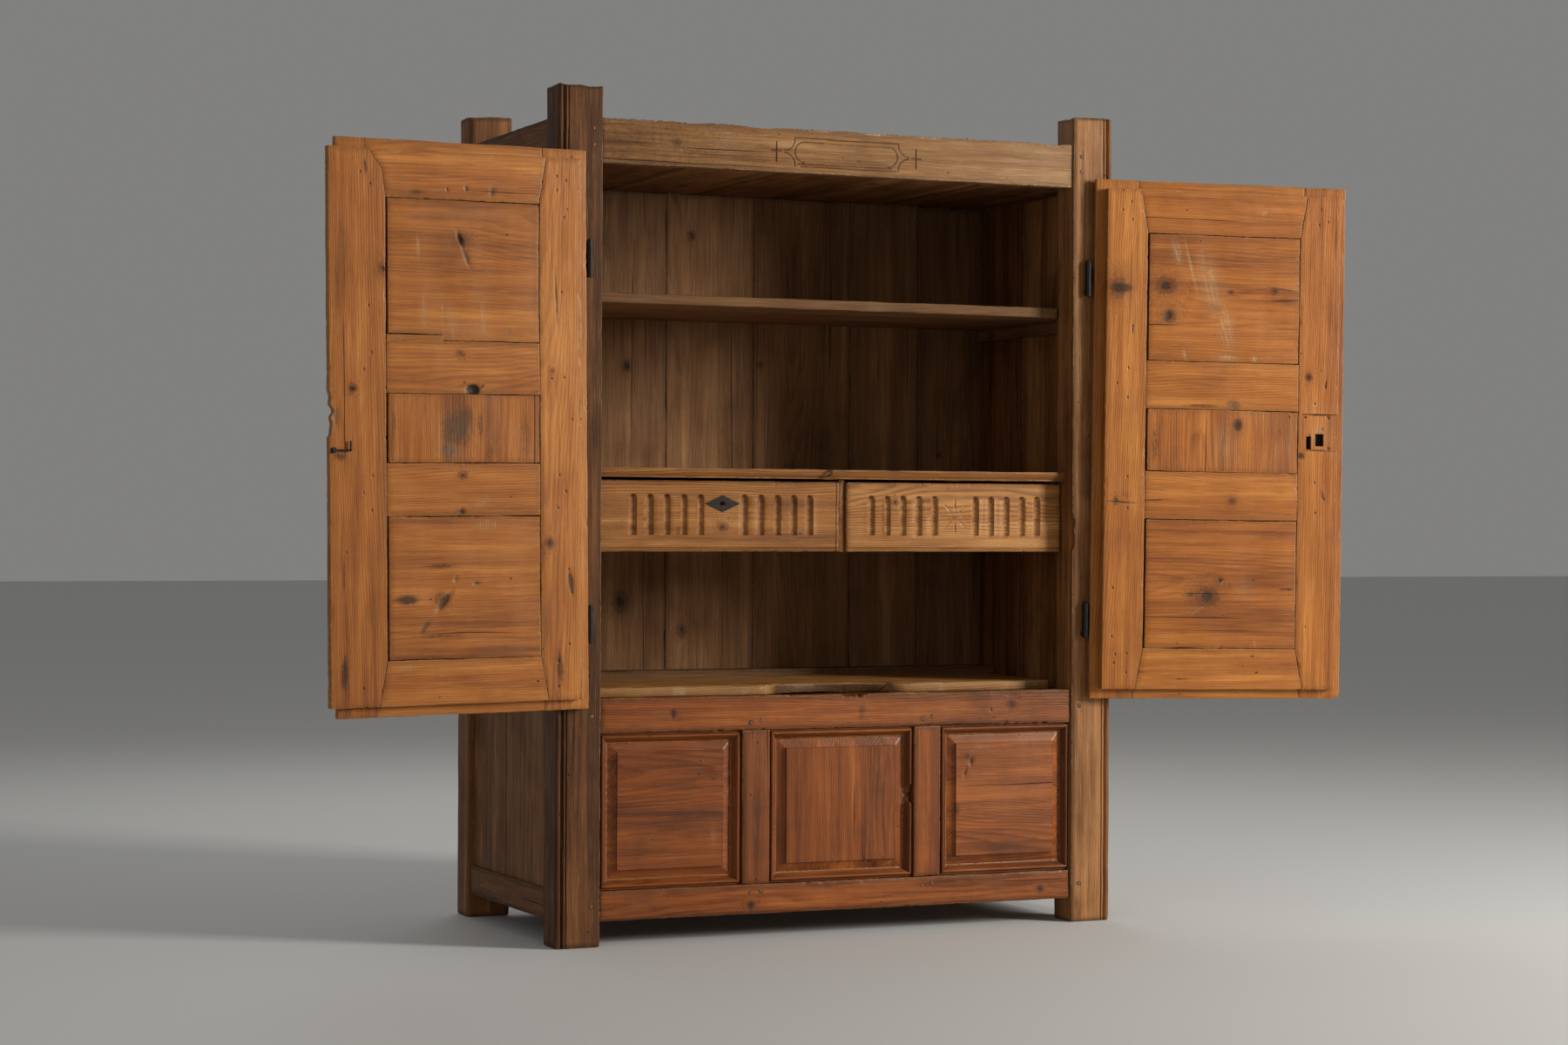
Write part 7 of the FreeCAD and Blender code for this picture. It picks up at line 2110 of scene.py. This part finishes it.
class CUPBOARD_OT_nails(bpy.types.Operator):
    """Makes the forged nails that hold the boards"""

    bl_idname = "cupboard.nails"
    bl_label = "Nails"

    def execute(self, context):
        fittings = context.scene.fittings
        reach = OPENING - 0.005
        across = [[-reach] + joints[1:-1] + [reach] for joints in (BACK_JOINTS, ROOF_JOINTS)]
        back = [(x, DEPTH + 0.05, z) for x, z in board_nails(across[0], (0.3, 0.995, 1.363))]
        places = seats(bpy.data.objects["back_boards_timber"], back, (0, -1, 0))
        roof = [(x, y, HEIGHT) for x, y in board_nails(across[1], (0.05, 0.57))]
        places += seats(bpy.data.objects["roof_boards_timber"], roof, (0, 0, -1))
        for side in (-1, 1):
            walls = [(side * 0.7, y, z) for y, z in board_nails((0.11, 0.3596, 0.56), (0.995, 1.363))]
            places += seats(bpy.data.objects["side_boards_timber"], walls, (-side, 0, 0))
        values = {
            "Radius": fittings.nail_radius, "Proud": fittings.nail_radius * 0.45, "Collar": 0.9, "Seed": 8,
            "Material": WOODS["iron"],
        }
        piece = fastenings("board_nails", places, fastening_tree("nail_heads", True), values)
        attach(piece, body_of("back_boards"))
        return {"FINISHED"}


class CUPBOARD_OT_iron(bpy.types.Operator):
    """Gives the iron fittings their finish"""

    bl_idname = "cupboard.iron"
    bl_label = "Ironwork"

    def execute(self, context):
        for row in frame["record"]["subparts"]:
            if row["material_slot"] == "iron":
                piece = frame["nodes"][row["node"]]
                piece.data.materials.clear()
                piece.data.materials.append(WOODS["iron"])
        return {"FINISHED"}


# The camera's place and lens in metres and millimetres, its angles in degrees
CAMERA_PLACE = (-2.865, -6.4, 0.886)
CAMERA_LENS = 72.06
CAMERA_TURN = 23.89
CAMERA_RISE = 0.027
CAMERA_ROLL = -0.248


class CUPBOARD_OT_stage(bpy.types.Operator):
    """Makes the floor, the lights and the camera"""

    bl_idname = "cupboard.stage"
    bl_label = "Stage"

    def execute(self, context):
        self.floor()
        self.lights()
        self.camera()
        return {"FINISHED"}

    def floor(self):
        bm = bmesh.new()
        bmesh.ops.create_grid(bm, x_segments=1, y_segments=1, size=40.0)
        mesh = bpy.data.meshes.new("studio_floor")
        bm.to_mesh(mesh)
        bm.free()
        floor = bpy.data.objects.new("studio_floor", mesh)
        bpy.context.scene.collection.objects.link(floor)
        made = Finish("studio_grey")
        mesh.materials.append(made.surface(Base_Color=srgb(206, 206, 204), Roughness=0.75))

    def lights(self):
        for name, place, target, size, power, colour in (
            ("key", (4.3, -3.9, 2.3), (0, 0, 0.9), (1.2, 2.0), 350, (1.0, 0.97, 0.92)),
            ("fill", (-4.4, -4.8, 2.0), (0, 0, 0.8), (3.2, 3.2), 34, (1.0, 0.99, 0.97)),
            ("rim", (0.5, 3.4, 3.8), (0, 0, 1.0), (3.0, 3.0), 40, (1.0, 1.0, 1.0)),
        ):
            lamp = bpy.data.lights.new(name, "AREA")
            lamp.shape = "RECTANGLE"
            lamp.size, lamp.size_y = size
            lamp.energy = power
            lamp.color = colour
            holder = bpy.data.objects.new(name, lamp)
            bpy.context.scene.collection.objects.link(holder)
            holder.location = place
            aim = Vector(target) - Vector(place)
            holder.rotation_mode = "QUATERNION"
            holder.rotation_quaternion = aim.to_track_quat("-Z", "Y")
        world = bpy.data.worlds.new("studio")
        world.use_nodes = True
        background = world.node_tree.nodes["Background"]
        background.inputs[0].default_value = (1.0, 0.99, 0.97, 1.0)
        background.inputs[1].default_value = 0.22
        bpy.context.scene.world = world

    def camera(self):
        data = bpy.data.cameras.new("camera")
        data.lens = CAMERA_LENS
        data.sensor_width = 36.0
        data.clip_end = 60.0
        camera = bpy.data.objects.new("camera", data)
        bpy.context.scene.collection.objects.link(camera)
        turn = math.radians(CAMERA_TURN)
        forward = Vector((math.sin(turn), math.cos(turn), math.tan(math.radians(CAMERA_RISE))))
        camera.location = CAMERA_PLACE
        camera.rotation_mode = "QUATERNION"
        aim = forward.to_track_quat("-Z", "Y").to_matrix()
        roll = Matrix.Rotation(math.radians(CAMERA_ROLL), 3, forward.normalized())
        camera.rotation_quaternion = (roll @ aim).to_quaternion()
        bpy.context.scene.camera = camera
        view = bpy.context.scene.view_settings
        view.view_transform = "Standard"


class CUPBOARD_PT_panel(bpy.types.Panel):
    """Lists the cupboard's pieces in the sidebar"""

    bl_label = "Cupboard"
    bl_idname = "CUPBOARD_PT_panel"
    bl_space_type = "VIEW_3D"
    bl_region_type = "UI"
    bl_category = "Cupboard"

    def draw(self, context):
        layout = self.layout
        for kind, group in GROUPS:
            for name in kind.__annotations__:
                layout.prop(getattr(context.scene, group), name)
        for operator in OPERATORS:
            layout.operator(operator.bl_idname)


GROUPS = ((TimberWear, "timber_wear"), (WoodTints, "wood_tints"), (Fittings, "fittings"))
OPERATORS = (
    CUPBOARD_OT_finishes, CUPBOARD_OT_posts, CUPBOARD_OT_front_frame, CUPBOARD_OT_chest_panels,
    CUPBOARD_OT_carcase, CUPBOARD_OT_shelves, CUPBOARD_OT_drawers, CUPBOARD_OT_doors, CUPBOARD_OT_iron,
    CUPBOARD_OT_pegs, CUPBOARD_OT_nails, CUPBOARD_OT_stage,
)


def register():
    for group, name in GROUPS:
        bpy.utils.register_class(group)
        setattr(bpy.types.Scene, name, bpy.props.PointerProperty(type=group))
    for kind in OPERATORS + (CUPBOARD_PT_panel,):
        bpy.utils.register_class(kind)


def unregister():
    for kind in reversed(OPERATORS + (CUPBOARD_PT_panel,)):
        bpy.utils.unregister_class(kind)
    for group, name in reversed(GROUPS):
        delattr(bpy.types.Scene, name)
        bpy.utils.unregister_class(group)


def main():
    register()
    for operator in OPERATORS:
        getattr(bpy.ops.cupboard, operator.bl_idname.split(".")[1])()


if __name__ == "__main__":
    main()
